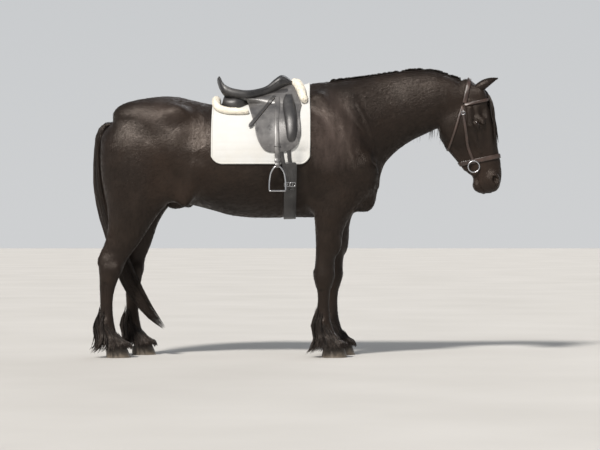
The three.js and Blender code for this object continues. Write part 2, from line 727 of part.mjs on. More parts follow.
function read(made) {
  const mesh = made.getMesh();
  const n = mesh.numProp;
  const points = Array.from({ length: mesh.numVert }, (_, i) =>
    Array.from(mesh.vertProperties.subarray(i * n, i * n + 3)),
  );
  const triangles = Array.from({ length: mesh.numTri }, (_, i) =>
    Array.from(mesh.triVerts.subarray(3 * i, 3 * i + 3)),
  );
  return { points, triangles };
}

// Vertices that lie at one place, as at a pinch, are drawn a hair inwards, apart from each other
function partTwins({ points, triangles }) {
  const places = new Map();
  points.forEach((p, i) => {
    const key = p.map((v) => Math.round(v * 200)).join();
    places.set(key, [...(places.get(key) ?? []), i]);
  });
  const twins = new Set([...places.values()].filter((list) => list.length > 1).flat());
  if (!twins.size) return;
  const normals = vertexNormals({ points, triangles });
  for (const i of twins) points[i] = points[i].map((v, c) => v - 0.04 * normals[i][c]);
}

const largest = (made) => made.decompose().sort((a, b) => b.volume() - a.volume())[0];
const join = (...solids) => solids.reduce((a, b) => a.add(b));

// Each vertex's direction out of the mesh, long enough that a step along it moves every face
// around the vertex by about one unit
function vertexNormals({ points, triangles }) {
  const around = points.map(() => []);
  for (const t of triangles) {
    const n = faceNormal(...t.map((v) => points[v]));
    const size = Math.hypot(...n);
    if (size > 1e-6) for (const v of t) around[v].push(n.map((c) => c / size));
  }
  return around.map((list) => {
    const sum = [0, 1, 2].map((c) => list.reduce((total, n) => total + n[c], 0));
    const size = Math.hypot(...sum) || 1;
    const out = sum.map((v) => v / size);
    const least = Math.min(1, ...list.map((n) => n[0] * out[0] + n[1] * out[1] + n[2] * out[2]));
    return out.map((v) => (least > 0.4 ? v / least : v));
  });
}

// The same solid swollen a little, used to cut its neighbours clear of it
function swollen(made, by = 1.3 * GAP) {
  const mesh = read(made);
  const normals = vertexNormals(mesh);
  return solid(mesh.points.map((p, k) => p.map((v, i) => v + by * normals[k][i])), mesh.triangles);
}

// Takes out the slivers that cuts leave
function neat(made, tolerance = 0.06) {
  const mesh = simplify(read(made), 4, () => 1, tolerance);
  return solid(mesh.points, mesh.triangles);
}

function clearOf(made, ...others) {
  const cut = (start, by) => largest(others.reduce((a, b) => a.subtract(b).subtract(swollen(b, by)), start));
  const cleared = neat(cut(made, 1.3 * GAP));
  return others.some((b) => cleared.intersect(b).volume() > 1e-3) ? cut(cleared, GAP) : cleared;
}

// A big block on one side of the plane through the point, for cutting
function halfSpace([px, py, pz], normal) {
  const size = 6000;
  const box = new THREE.BoxGeometry(size, size, size);
  box.translate(0, 0, size / 2);
  const n = new THREE.Vector3(...normal).normalize();
  box.applyQuaternion(new THREE.Quaternion().setFromUnitVectors(new THREE.Vector3(0, 0, 1), n));
  box.translate(px, py, pz);
  return solidOf(box);
}

// Keeps what lies on the side that the normal points to, half a gap back from the plane
function keepBeyond(made, point, normal) {
  const size = Math.hypot(...normal);
  const n = normal.map((v) => v / size);
  const start = point.map((v, i) => v + (n[i] * GAP) / 2);
  return made.subtract(halfSpace(start, n.map((v) => -v)));
}

// One region of the body as a solid, simplified to about the number of triangles asked for
function sculpt(low, high, cell, target, importance) {
  const net = simplify(surfaceNet(body, low, high, cell), target, importance);
  return largest(solid(net.points, net.triangles));
}

// The same for a region alike on both sides: its left half is sculpted, opened along the middle
// and sewn to its mirror image
function sculptTwin([x0, x1], width, [z0, z1], cell, target, importance) {
  const half = sculpt([x0, -2 * cell, z0], [x1, width, z1], cell, target / 2, importance);
  const { points, triangles } = read(largest(half.subtract(halfSpace([0, 0, 0], [0, -1, 0]))));
  const inMiddle = points.map((p) => Math.abs(p[1]) < 1e-3);
  const skin = triangles.filter((t) => !t.every((v) => inMiddle[v]));
  const all = points.map(([x, y, z], i) => [x, inMiddle[i] ? 0 : y, z]);
  const twin = points.map(([x, y, z], i) => (inMiddle[i] ? i : all.push([x, -y, z]) - 1));
  return solid(all, [...skin, ...skin.map(([a, b, c]) => [twin[a], twin[c], twin[b]])]);
}

// Rings of like count joined into a closed solid
function loft(rings) {
  const n = rings[0].length;
  const points = rings.flat();
  const triangles = [];
  for (let r = 0; r < rings.length - 1; r++)
    for (let i = 0; i < n; i++) {
      const [a, b] = [r * n + i, r * n + ((i + 1) % n)];
      triangles.push([a, b, b + n], [a, b + n, a + n]);
    }
  const middle = (ring) => [0, 1, 2].map((c) => ring.reduce((sum, p) => sum + p[c], 0) / n);
  const [start, end] = [points.length, points.length + 1];
  points.push(middle(rings[0]), middle(rings[rings.length - 1]));
  const last = (rings.length - 1) * n;
  for (let i = 0; i < n; i++) {
    const j = (i + 1) % n;
    triangles.push([start, j, i], [end, last + i, last + j]);
  }
  return solid(points, triangles);
}

// A plate between two like grids of points, split into triangles alike on both faces
function plate(rows, columns, inner, outer) {
  const points = [];
  for (const face of [inner, outer])
    for (let i = 0; i < rows; i++) for (let j = 0; j < columns; j++) points.push(face(i, j));
  const at = (face, i, j) => face * rows * columns + i * columns + j;
  const triangles = [];
  for (let i = 0; i < rows - 1; i++)
    for (let j = 0; j < columns - 1; j++)
      for (const face of [0, 1]) {
        const q = [at(face, i, j), at(face, i + 1, j), at(face, i + 1, j + 1), at(face, i, j + 1)];
        if (face) q.reverse();
        const [a, b, c, d] = face ? [q[3], q[2], q[1], q[0]] : q;
        const pair = [
          [a, b, c],
          [a, c, d],
        ];
        for (const t of pair) triangles.push(face ? t.reverse() : t);
      }
  const border = [];
  for (let j = 0; j < columns - 1; j++) border.push([0, j]);
  for (let i = 0; i < rows - 1; i++) border.push([i, columns - 1]);
  for (let j = columns - 1; j > 0; j--) border.push([rows - 1, j]);
  for (let i = rows - 1; i > 0; i--) border.push([i, 0]);
  border.forEach(([i, j], k) => {
    const [m, n] = border[(k + 1) % border.length];
    const [a, b, c, d] = [at(0, i, j), at(0, m, n), at(1, m, n), at(1, i, j)];
    triangles.push([a, b, c], [a, c, d]);
  });
  return solid(points, triangles);
}

const mirrorY = (made) => {
  const { points, triangles } = read(made);
  return solid(
    points.map(([x, y, z]) => [x, -y, z]),
    triangles.map(([a, b, c]) => [a, c, b]),
  );
};

// Where the body's skin, or a level above it, is met from the left at one X and Z
function fromSide(x, z, level, field = body) {
  let [inside, outside] = [0, 480];
  if (field(x, 0.5, z) > level) return 0;
  for (let turn = 0; turn < 22; turn++) {
    const y = (inside + outside) / 2;
    if (field(x, y, z) < level) inside = y;
    else outside = y;
  }
  return inside;
}

// The same along a ray from a centre line; angle 0 is straight up and 90 degrees to the left
function fromCentre(x, centreZ, angle, level) {
  const [s, c] = [Math.sin(radians(angle)), Math.cos(radians(angle))];
  let [inside, outside] = [0, 900];
  for (let turn = 0; turn < 24; turn++) {
    const r = (inside + outside) / 2;
    if (body(x, r * s, centreZ + r * c) < level) inside = r;
    else outside = r;
  }
  return [x, inside * s, centreZ + inside * c];
}

// Body parts
const HEAD_CUT = { point: [991, 0, 1623], normal: [0.884, 0, -0.467] };
const NECK_CUT = { point: [208.8, 0, 1635], normal: [0.854, 0, 0.52] };
const FORE_CUT = 808; // height of the cut above each foreleg
const HIND_CUT = { point: [-762, 0, 870], normal: [-0.229, 0, -0.973] };
const HOOVES = {
  fore: {
    toe: 291,
    heel: 138,
    width: 130,
    topToe: [262, 88],
    topHeel: [147, 46],
    topWidth: 104,
    side: 136,
  },
  hind: {
    toe: -967,
    heel: -1112,
    width: 122,
    topToe: [-1002, 88],
    topHeel: [-1114, 48],
    topWidth: 106,
    side: 150,
  },
};

const opposite = (cut) => cut.normal.map((v) => -v);

function eyeFrame(side) {
  const out = new THREE.Vector3(0.2, side, 0.06).normalize();
  const turn = radians(HEAD_TILT + LID.slant);
  const along = new THREE.Vector3(Math.cos(turn), 0, Math.sin(turn));
  along.addScaledVector(out, -along.dot(out)).normalize();
  const up = new THREE.Vector3().crossVectors(along, out).multiplyScalar(side);
  return { centre: new THREE.Vector3(...eyeCentre(side)), out, along, up };
}

function eyeball(side, radius) {
  const { centre, out } = eyeFrame(side);
  const ball = new THREE.SphereGeometry(radius, 12, 8);
  ball.applyQuaternion(new THREE.Quaternion().setFromUnitVectors(new THREE.Vector3(0, 1, 0), out));
  ball.translate(...centre.toArray());
  return solidOf(ball);
}

// Both lids of one eye as a ring with an almond opening that lies on the eyeball
function lids(side) {
  const { centre, out, along, up } = eyeFrame(side);
  const steps = 18;
  const section = [
    [0, 0.2],
    [0.02, 4.4],
    [0.2, 6.6],
    [0.5, 5.2],
    [0.8, -1],
    [0.8, -9],
    [0.25, -3],
  ];
  const rings = [];
  for (let i = 0; i < steps; i++) {
    const a = (2 * Math.PI * i) / steps;
    const lift = Math.sin(a) > 0 ? LID.upper : LID.lower;
    const p = LID.halfLength * Math.cos(a);
    const q = lift * Math.sign(Math.sin(a)) * Math.abs(Math.sin(a)) ** 1.2;
    const open = Math.asin(Math.min(Math.hypot(p, q) / (EYE.radius + 1), 0.98));
    const turn = Math.atan2(q, p);
    rings.push(
      section.map(([swing, rise]) => {
        const angle = open + swing;
        const r = EYE.radius + rise;
        const at = centre.clone().addScaledVector(out, r * Math.cos(angle));
        at.addScaledVector(along, r * Math.sin(angle) * Math.cos(turn));
        at.addScaledVector(up, r * Math.sin(angle) * Math.sin(turn));
        return at.toArray();
      }),
    );
  }
  const n = section.length;
  const triangles = [];
  for (let i = 0; i < steps; i++)
    for (let j = 0; j < n; j++) {
      const [a, b] = [i * n + j, i * n + ((j + 1) % n)];
      const [c, d] = [((i + 1) % steps) * n + j, ((i + 1) % steps) * n + ((j + 1) % n)];
      triangles.push([a, b, d], [a, d, c]);
    }
  return solid(rings.flat(), triangles);
}

// The slot between the lips
function mouthSlot() {
  const path = MOUTH.map(([u, v, half]) => [
    [u, v + half],
    [u, v - half],
  ]);
  const edge = [...path.map((p) => p[0]), ...path.map((p) => p[1]).reverse()];
  return loft([-100, 100].map((y) => edge.map(([u, v]) => fromHead(u, y, v))));
}

function makeHead() {
  const focus = [fromHead(EYE.u, EYE.y, EYE.v), fromHead(560, 50, 20)];
  const importance = ([x, y, z]) => {
    const near = Math.min(...focus.map(([a, b, c]) => Math.hypot(x - a, Math.abs(y) - b, z - c)));
    return near < 75 ? 6 : 1;
  };
  let made = sculptTwin([800, 1230], 140, [930, 1690], 6.5, 1500, importance);
  made = keepBeyond(made, HEAD_CUT.point, HEAD_CUT.normal).subtract(mouthSlot());
  for (const side of [-1, 1]) made = made.add(lids(side));
  for (const side of [-1, 1]) made = made.subtract(eyeball(side, EYE.radius + GAP + 0.1));
  return largest(made);
}

// One ear: a leaf rolled into a cup, open to the front
const EAR = { length: 172, sunk: 30, wall: 5 };
function ear(side, headSolid) {
  const base = new THREE.Vector3(...fromHead(6, side * 40, 44));
  const tip = new THREE.Vector3(...fromHead(-34, side * 47, 192));
  const axis = tip.clone().sub(base).normalize();
  const back = new THREE.Vector3(-headAlong[0], 0, -headAlong[1]);
  back.addScaledVector(axis, -back.dot(axis)).normalize();
  back.applyAxisAngle(axis, side * radians(-34));
  const lateral = new THREE.Vector3().crossVectors(axis, back);
  // place along the ear, radius, half angle of the wall, lean of the tip
  const form = profile([
    [0, 17, 168, 0],
    [0.16, 22, 152, 0],
    [0.32, 29, 124, 0],
    [0.5, 32, 102, 0],
    [0.68, 28, 88, 2],
    [0.84, 19, 80, 6],
    [0.95, 9, 76, 11],
    [1, 3.2, 70, 14],
  ]);
  const rings = [];
  const steps = 8;
  for (let i = 0; i <= steps; i++) {
    const s = i / steps;
    const [radius, half, lean] = [0, 1, 2].map((c) => sample(form, s, c));
    const centre = base.clone().addScaledVector(axis, s * EAR.length - EAR.sunk);
    centre.y -= side * lean;
    const wall = Math.min(EAR.wall, radius * 0.42);
    const at = (angle, r) =>
      centre
        .clone()
        .addScaledVector(back, r * Math.cos(radians(angle)))
        .addScaledVector(lateral, r * Math.sin(radians(angle)))
        .toArray();
    const outer = [-1, -0.66, -0.33, 0, 0.33, 0.66, 1].map((f) => at(f * half, radius));
    const inner = [0.86, 0.45, 0, -0.45, -0.86].map((f) => at(f * half, radius - wall));
    rings.push([...outer, ...inner]);
  }
  return clearOf(loft(rings), headSolid);
}

// A hoof: a D-shaped sole, a sloping wall and a slanted top that meets the leg
function hoof({ toe, heel, width, topToe, topHeel, topWidth, side }, move, sideSign) {
  const around = 16;
  const ring = (front, rear, half, frontZ, rearZ) =>
    Array.from({ length: around }, (_, i) => {
      const a = (2 * Math.PI * i) / around;
      const f = Math.cos(a) < 0 ? -(Math.abs(Math.cos(a)) ** 0.8) : Math.cos(a);
      const x = mix(rear, front, (f + 1) / 2);
      const slope = (x - rear) / (front - rear);
      return [x + move, sideSign * side + half * Math.sin(a), mix(rearZ, frontZ, slope)];
    });
  const [high, low] = [mix(toe, topToe[0], 0.9), mix(heel, topHeel[0], 0.9)];
  return loft([
    ring(toe, heel, width / 2, 0, 0),
    ring(toe - 1, heel - 2, width / 2 + 1, 9, 7),
    ring(high, low, topWidth / 2 + 4, topToe[1] - 9, topHeel[1] - 8),
    ring(topToe[0] + 1, topHeel[0] - 1, topWidth / 2, topToe[1], topHeel[1]),
  ]);
}

// The slanted plane on top of a hoof, as a point and the direction up into the leg
function coronet({ topToe, topHeel }, move) {
  const slope = [topToe[0] - topHeel[0], topToe[1] - topHeel[1]];
  return { point: [topToe[0] + move, 0, topToe[1] + GAP / 2], normal: [-slope[1], 0, slope[0]] };
}

function lowerLeg(kind, sideSign) {
  const fore = kind === "fore";
  const step = sideSign > 0 ? (fore ? LEFT_FORE_STEP : LEFT_HIND_STEP) : 0;
  const [x0, x1] = fore ? [80, 345] : [-1185, -740];
  const top = fore ? 835 : 960;
  const cell = fore ? 11 : 12.5;
  const [y0, y1] = sideSign > 0 ? [30, 270] : [-270, -30];
  let made = sculpt([x0, y0, 34], [x1 + step, y1, top], cell, fore ? 620 : 720);
  const crown = coronet(HOOVES[kind], step);
  made = keepBeyond(made, crown.point, crown.normal);
  if (fore) return largest(keepBeyond(made, [0, 0, FORE_CUT], [0, 0, -1]));
  return largest(keepBeyond(made, HIND_CUT.point, HIND_CUT.normal));
}

function makeTorso() {
  let made = sculptTwin([-1170, 545], 390, [780, 1690], 22, 1600);
  made = keepBeyond(made, NECK_CUT.point, opposite(NECK_CUT));
  made = keepBeyond(made, [0, 0, FORE_CUT], [0, 0, 1]);
  return largest(keepBeyond(made, HIND_CUT.point, opposite(HIND_CUT)));
}

function makeNeck() {
  let made = sculptTwin([160, 1050], 260, [1020, 1720], 15, 800);
  made = keepBeyond(made, HEAD_CUT.point, opposite(HEAD_CUT));
  return largest(keepBeyond(made, NECK_CUT.point, NECK_CUT.normal));
}

// Colours and finish of each material
const finish = (color, roughness, metalness = 0) =>
  new THREE.MeshStandardMaterial({ color, roughness, metalness });
const COAT = () => finish("#15110f", 0.45);
const HAIR = () => finish("#0b0a0a", 0.5);
const HORN = () => finish("#2a2724", 0.55);
const EYE_GLOSS = () => finish("#0d0805", 0.08);

const horse = new THREE.Group();
function place(name, made, material) {
  const { points, triangles } = read(made);
  partTwins({ points, triangles });
  const geometry = new THREE.BufferGeometry();
  geometry.setAttribute("position", new THREE.Float32BufferAttribute(points.flat(), 3));
  geometry.setIndex(triangles.flat());
  geometry.computeVertexNormals();
  const mesh = new THREE.Mesh(geometry, material);
  mesh.name = name;
  horse.add(mesh);
  return solid(points, triangles);
}

const sides = { right: -1, left: 1 };
const headSolid = place("head", makeHead(), COAT());
const neckSolid = place("neck", makeNeck(), COAT());
const torsoSolid = place("torso", makeTorso(), COAT());
const ears = {};
const legSolids = {};
const hoofSolids = {};
for (const [name, sign] of Object.entries(sides)) {
  ears[name] = place(name + "_ear", ear(sign, headSolid), COAT());
  place(name + "_eye", eyeball(sign, EYE.radius), EYE_GLOSS());
  for (const kind of ["fore", "hind"]) {
    const step = sign > 0 ? (kind === "fore" ? LEFT_FORE_STEP : LEFT_HIND_STEP) : 0;
    const key = `${name}_${kind}`;
    legSolids[key] = place(key + "leg", lowerLeg(kind, sign), COAT());
    hoofSolids[key] = place(key + "_hoof", hoof(HOOVES[kind], step, sign), HORN());
  }
}

// Saddle pad: a quilt laid over the back, the same thickness all over
const PAD = { rear: -498, front: 75, bottom: 1118, centreZ: 1130, thick: 12, corner: 68 };
const padBottom = (x) => {
  const edge = Math.min(x - PAD.rear, PAD.front - x);
  const inset = clamp(PAD.corner - edge, 0, PAD.corner);
  return PAD.bottom + PAD.corner - Math.sqrt(PAD.corner ** 2 - inset ** 2);
};
const angleAt = (x, z, level) => (Math.atan2(fromSide(x, z, level), z - PAD.centreZ) * 180) / Math.PI;

function saddlePad() {
  const [rows, columns] = [13, 8];
  const at = (i, j, level) => {
    const f = j / (columns - 1);
    const x = mix(PAD.rear, PAD.front, f - 0.07 * Math.sin(2 * Math.PI * f));
    const reach = angleAt(x, padBottom(x), level);
    return fromCentre(x, PAD.centreZ, mix(-reach, reach, i / (rows - 1)), level);
  };
  return plate(rows, columns, (i, j) => at(i, j, -9), (i, j) => at(i, j, PAD.thick));
}

// A round roll of fleece on the pad, from one side over the back to the other, thickest on top.
// Each station holds its place and its angle from upright, from the spine to the left end
function fleeceRoll(stations, radius) {
  const last = stations.length - 1;
  const path = [];
  for (let i = -last; i <= last; i++) {
    const [x, angle] = stations[Math.abs(i)];
    path.push(fromCentre(x, PAD.centreZ, Math.sign(i) * angle, PAD.thick));
  }
  const rings = path.map((p, i) => {
    const at = new THREE.Vector3(...p);
    const after = new THREE.Vector3(...path[Math.min(i + 1, 2 * last)]);
    const run = after.sub(new THREE.Vector3(...path[Math.max(i - 1, 0)])).normalize();
    const out = new THREE.Vector3(...gradient(body, p, 8)).normalize();
    const across = new THREE.Vector3().crossVectors(run, out).normalize();
    const size = radius * mix(1, 0.74, Math.abs(i - last) / last);
    const end = i === 0 || i === 2 * last ? 0.6 : 1;
    return Array.from({ length: 6 }, (_, k) => {
      const a = (2 * Math.PI * k) / 6;
      const q = at.clone().addScaledVector(out, size * (0.72 + end * Math.sin(a)));
      return q.addScaledVector(across, end * size * Math.cos(a)).toArray();
    });
  });
  return loft(rings);
}
const REAR_ROLL = [
  [-478, 0],
  [-478, 11],
  [-476, 20],
  [-466, 27],
  [-446, 30.6],
  [-410, 33],
  [-352, 34.8],
  [-280, 36],
];
const FRONT_ROLL = [
  [-10, 0],
  [6, 5],
  [17, 10.5],
  [27, 15.6],
  [37, 20.8],
  [46, 26],
];

// A panel on the left side whose outline is set by its front and rear edge at each height
function sidePanel(stations, columns, low, high) {
  const form = profile(stations, 60);
  const rows = stations.length;
  const at = (i, j, level) => {
    const z = stations[i][0];
    const x = mix(sample(form, z, 0), sample(form, z, 1), j / (columns - 1));
    return [x, fromSide(x, z, level), z];
  };
  return plate(rows, columns, (i, j) => at(i, j, low), (i, j) => at(i, j, high));
}

const FLAP_LEVEL = 19;
const flapStations = [
  [1188, -160, -86],
  [1202, -196, -34],
  [1236, -220, -2],
  [1286, -240, 16],
  [1345, -250, 16],
  [1410, -270, 12],
  [1462, -286, 22],
];
const flap = () => sidePanel(flapStations, 6, PAD.thick - 4, FLAP_LEVEL);
const kneeBlock = () =>
  sidePanel(
    [
      [1248, -46, -26],
      [1272, -60, -10],
      [1330, -68, 0],
      [1400, -76, -4],
      [1462, -84, -14],
    ],
    3,
    FLAP_LEVEL - 4,
    FLAP_LEVEL + 22,
  );

// The seat, from the cantle's back to the pommel's front. Each station holds: place, height at
// the middle, height at the rim, half width at the rim, height of the underside
const SEAT = [
  [-470, 1630, 1632, 40, 1604],
  [-456, 1636, 1642, 92, 1566],
  [-432, 1592, 1604, 134, 1532],
  [-400, 1566, 1581, 148, 1514],
  [-350, 1550, 1567, 152, 1502],
  [-290, 1548, 1560, 146, 1496],
  [-230, 1564, 1567, 120, 1508],
  [-175, 1592, 1582, 92, 1526],
  [-136, 1626, 1608, 76, 1542],
  [-98, 1651, 1632, 66, 1560],
  [-68, 1646, 1626, 60, 1576],
  [-42, 1626, 1612, 52, 1586],
  [-24, 1612, 1604, 40, 1590],
];
function seat() {
  return loft(
    SEAT.map(([x, middle, rim, half, under]) => {
      const top = [0, 0.45, 0.82, 1].map((f) => [half * f, mix(middle, rim, f * f) - (f === 1 ? 14 : 0)]);
      const low = [
        [half * 0.86, under - 2],
        [half * 0.4, under],
      ];
      const one = [...top, ...low];
      const other = one.slice(1).reverse();
      return [...one, ...other.map(([y, z]) => [-y, z])].map(([y, z]) => [x, y, z]);
    }),
  );
}

// The stuffed panels under the seat, one each side of the spine
function underPanel() {
  const rings = [];
  const form = profile([
    [-446, 4, 17, 30],
    [-425, 3.5, 22.5, 52],
    [-370, 3.5, 25.5, 60],
    [-325, 3.5, 23, 52],
    [-290, 3.5, 17.5, 46],
    [-240, 3.5, 16, 38],
    [-140, 3.5, 17, 30],
    [-60, 4, 18, 30],
    [-36, 4.5, 16, 20],
  ]);
  for (const x of [-446, -425, -370, -325, -290, -160, -36]) {
    const [from, to, high] = [0, 1, 2].map((c) => sample(form, x, c));
    const ring = [];
    for (let k = 0; k <= 3; k++) ring.push(fromCentre(x, PAD.centreZ, mix(from, to, k / 3), PAD.thick - 4));
    const tops = [
      [to * 0.98, 0.55],
      [mix(from, to, 0.6), 1],
      [mix(from, to, 0.2), 0.95],
    ];
    for (const [angle, f] of tops) ring.push(fromCentre(x, PAD.centreZ, angle, PAD.thick + high * f));
    rings.push(ring);
  }
  return loft(rings);
}

// A strap between two faces: its middle line, the direction of its width, and its half widths
function strap(path, halfWidth, low, high, levelField = body) {
  const n = path.length;
  const rings = path.map((p, i) => {
    const before = path[Math.max(i - 1, 0)];
    const after = path[Math.min(i + 1, n - 1)];
    const run = new THREE.Vector3(...after).sub(new THREE.Vector3(...before)).normalize();
    const normal = new THREE.Vector3(...gradient(levelField, p, 4)).normalize();
    const across = new THREE.Vector3().crossVectors(run, normal).normalize();
    const at = (side, level) => {
      const q = new THREE.Vector3(...p).addScaledVector(across, side * halfWidth);
      return settle(levelField, q.toArray(), 40, level);
    };
    return [at(-1, low), at(1, low), at(1, high), at(-1, high)];
  });
  return loft(rings);
}

// Points of a strap that goes round the head or neck in one slanted plane, seen from the side as
// the line from a to b; angle 0 is at b's end of the line and 180 at a's
function roundPath(a, b, from, to, count, level) {
  const centre = [(a[0] + b[0]) / 2, 0, (a[1] + b[1]) / 2];
  const size = Math.hypot(b[0] - a[0], b[1] - a[1]);
  const d = [(b[0] - a[0]) / size, (b[1] - a[1]) / size];
  return Array.from({ length: count }, (_, i) => {
    const angle = radians(mix(from, to, i / (count - 1)));
    const [c, s] = [Math.cos(angle), Math.sin(angle)];
    let [inside, outside] = [0, 400];
    for (let turn = 0; turn < 22; turn++) {
      const r = (inside + outside) / 2;
      if (body(centre[0] + r * c * d[0], r * s, centre[2] + r * c * d[1]) < level) inside = r;
      else outside = r;
    }
    return [centre[0] + inside * c * d[0], inside * s, centre[2] + inside * c * d[1]];
  });
}

// A strap's points down one side of the head, given as u and v
const sidePath = (points, level) =>
  points.map(([u, v]) => {
    const [x, , z] = fromHead(u, 0, v);
    return [x, fromSide(x, z, level), z];
  });

const onHead = (u, v) => {
  const [x, , z] = fromHead(u, 0, v);
  return [x, z];
};

// A thin torus, for rings
function ringOf(centre, radius, wire, normal, around = 16, section = 5) {
  const torus = new THREE.TorusGeometry(radius, wire, section, around);
  const n = new THREE.Vector3(...normal).normalize();
  torus.applyQuaternion(new THREE.Quaternion().setFromUnitVectors(new THREE.Vector3(0, 0, 1), n));
  torus.translate(...centre);
  return solidOf(torus);
}

const LEATHER = () => finish("#16120f", 0.4);
const BRIDLE = () => finish("#2a1710", 0.42);
const QUILT = () => finish("#e9ebe6", 0.9);
const FLEECE = () => finish("#e8e0c8", 0.95);
const STEEL = () => finish("#b9bcc0", 0.25, 0.9);

// Places a left piece and its mirror image, each cut clear of what lies near it on its side
function placePair(name, made, material, ...near) {
  const pair = {};
  for (const [side, sign] of Object.entries(sides)) {
    const own = sign > 0 ? made : mirrorY(made);
    const cleared = near.length ? clearOf(own, ...near.map((n) => n[side] ?? n)) : own;
    pair[side] = place(`${side}_${name}`, cleared, material());
  }
  return pair;
}

const padSolid = place("saddle_pad", clearOf(saddlePad(), torsoSolid, neckSolid), QUILT());
const rearRoll = place(
  "pad_roll_rear",
  clearOf(fleeceRoll(REAR_ROLL, 25), padSolid),
  FLEECE(),
);
const frontRoll = place(
  "pad_roll_front",
  clearOf(fleeceRoll(FRONT_ROLL, 30), padSolid),
  FLEECE(),
);
const flaps = placePair("saddle_flap", flap(), LEATHER, padSolid, frontRoll, rearRoll);
const blocks = placePair("knee_block", kneeBlock(), LEATHER, flaps, padSolid, frontRoll);
const panels = placePair("saddle_panel", underPanel(), LEATHER, padSolid, rearRoll, frontRoll, flaps, blocks);
const onBothSides = (...pairs) => pairs.flatMap((pair) => [pair.left, pair.right]);
const seatSolid = place(
  "saddle_seat",
  clearOf(seat(), padSolid, rearRoll, frontRoll, ...onBothSides(panels, flaps, blocks)),
  LEATHER(),
);

// The stirrup hangs from under the seat, down over the flap
const STIRRUP = { x: -115, bottom: 960, top: 1112, width: 104, wire: 11, depth: 34, y: 346 };
function stirrupLeather() {
  const path = [1480, 1400, 1300, 1200, 1150].map((z) => [-118, fromSide(-118, z, FLAP_LEVEL + 3), z]);
  path.push([-116, STIRRUP.y, STIRRUP.top + 4], [STIRRUP.x, STIRRUP.y, STIRRUP.top - 16]);
  const rings = path.map(([x, y, z]) => {
    const [inner, outer] = [y - 3, y + 7];
    return [
      [x - 15, inner, z],
      [x + 15, inner, z],
      [x + 15, outer, z],
      [x - 15, outer, z],
    ];
  });
  return loft(rings);
}

function stirrupIron() {
  const { x, bottom, top, width, wire, depth, y } = STIRRUP;
  const half = width / 2;
  const outline = (inset) => {
    const shape = new THREE.Path();
    const w = half - inset;
    const low = bottom + (inset ? 10 : 0);
    const peak = top - inset;
    shape.moveTo(-w + 4, low);
    shape.lineTo(w - 4, low);
    shape.lineTo(w, low + 6);
    shape.quadraticCurveTo(w, peak - 40, w * 0.42, peak - 12);
    shape.quadraticCurveTo(w * 0.25, peak, 0, peak);
    shape.quadraticCurveTo(-w * 0.25, peak, -w * 0.42, peak - 12);
    shape.quadraticCurveTo(-w, peak - 40, -w, low + 6);
    return shape.getPoints(4);
  };
  const shape = new THREE.Shape(outline(0));
  shape.holes.push(new THREE.Path(outline(wire)));
  const arch = new THREE.ExtrudeGeometry(shape, { depth: wire, bevelEnabled: false, curveSegments: 4 });
  arch.rotateX(Math.PI / 2);
  arch.translate(x, y + wire / 2, 0);
  const tread = new THREE.BoxGeometry(width - 8, depth, 12);
  tread.translate(x, y, bottom + 6);
  return join(solidOf(arch), solidOf(tread));
}

const irons = placePair("stirrup_iron", stirrupIron(), STEEL);
const nearLeathers = [seatSolid, flaps, padSolid, blocks, irons];
const leathers = placePair("stirrup_leather", stirrupLeather(), LEATHER, ...nearLeathers);

// The girth goes round the chest from flap to flap, over the pad's lower edge
function girth() {
  const count = 17;
  const middleZ = 1120;
  const rings = [];
  for (let i = 0; i < count; i++) {
    const angle = mix(84, 276, i / (count - 1));
    const x = -40 + 6 * Math.cos(radians(angle));
    const overPad = middleZ + 300 * Math.cos(radians(angle)) > PAD.bottom - 46 ? PAD.thick : 0;
    const corner = (dx, level) => fromCentre(x + dx, middleZ, angle, level + overPad);
    rings.push([corner(-38, -5), corner(38, -5), corner(38, 12), corner(-38, 12)]);
  }
  return loft(rings);
}
place(
  "girth",
  clearOf(girth(), torsoSolid, padSolid, ...onBothSides(flaps, leathers, irons)),
  LEATHER(),
);

// The bridle
const crown = strap(roundPath(onHead(112, -60), onHead(-34, 8), -104, 104, 13, 0), 12, -4, 8);
const crownSolid = place("bridle_crown", clearOf(crown, headSolid, neckSolid), BRIDLE());
const browband = strap(roundPath(onHead(88, -58), onHead(80, 94), -128, 128, 13, 0), 9, -4, 8);
const browSolid = place("browband", clearOf(browband, headSolid, crownSolid), BRIDLE());
const throat = strap(roundPath(onHead(92, -58), onHead(333, -192), -150, 150, 15, 1), 7, -4, 8);
const nearThroat = [headSolid, neckSolid, crownSolid, browSolid];
const throatSolid = place("throatlatch", clearOf(throat, ...nearThroat), BRIDLE());
const BIT = { radius: 33, wire: 5, off: 14 };
const bitCentre = (() => {
  const [x, , z] = fromHead(449, 0, -60);
  return [x, fromSide(x, z, 0) + BIT.off, z];
})();
const bit = ringOf(bitCentre, BIT.radius, BIT.wire, [0, 1, 0]);
const bits = placePair("bit_ring", bit, STEEL, headSolid);
const noseband = strap(roundPath(onHead(416, 104), onHead(420, -136), 2, 358, 18, 0), 14, -4, 8);
const noseSolid = place("noseband", clearOf(noseband, headSolid, ...onBothSides(bits)), BRIDLE());
const cheek = strap(
  sidePath(
    [
      [112, -60],
      [171, -64],
      [236, -67],
      [312, -72],
      [362, -66],
      [404, -58],
    ],
    1,
  ),
  8,
  -4,
  8,
);
placePair("cheekpiece", cheek, BRIDLE, headSolid, crownSolid, browSolid, throatSolid, noseSolid, bits);

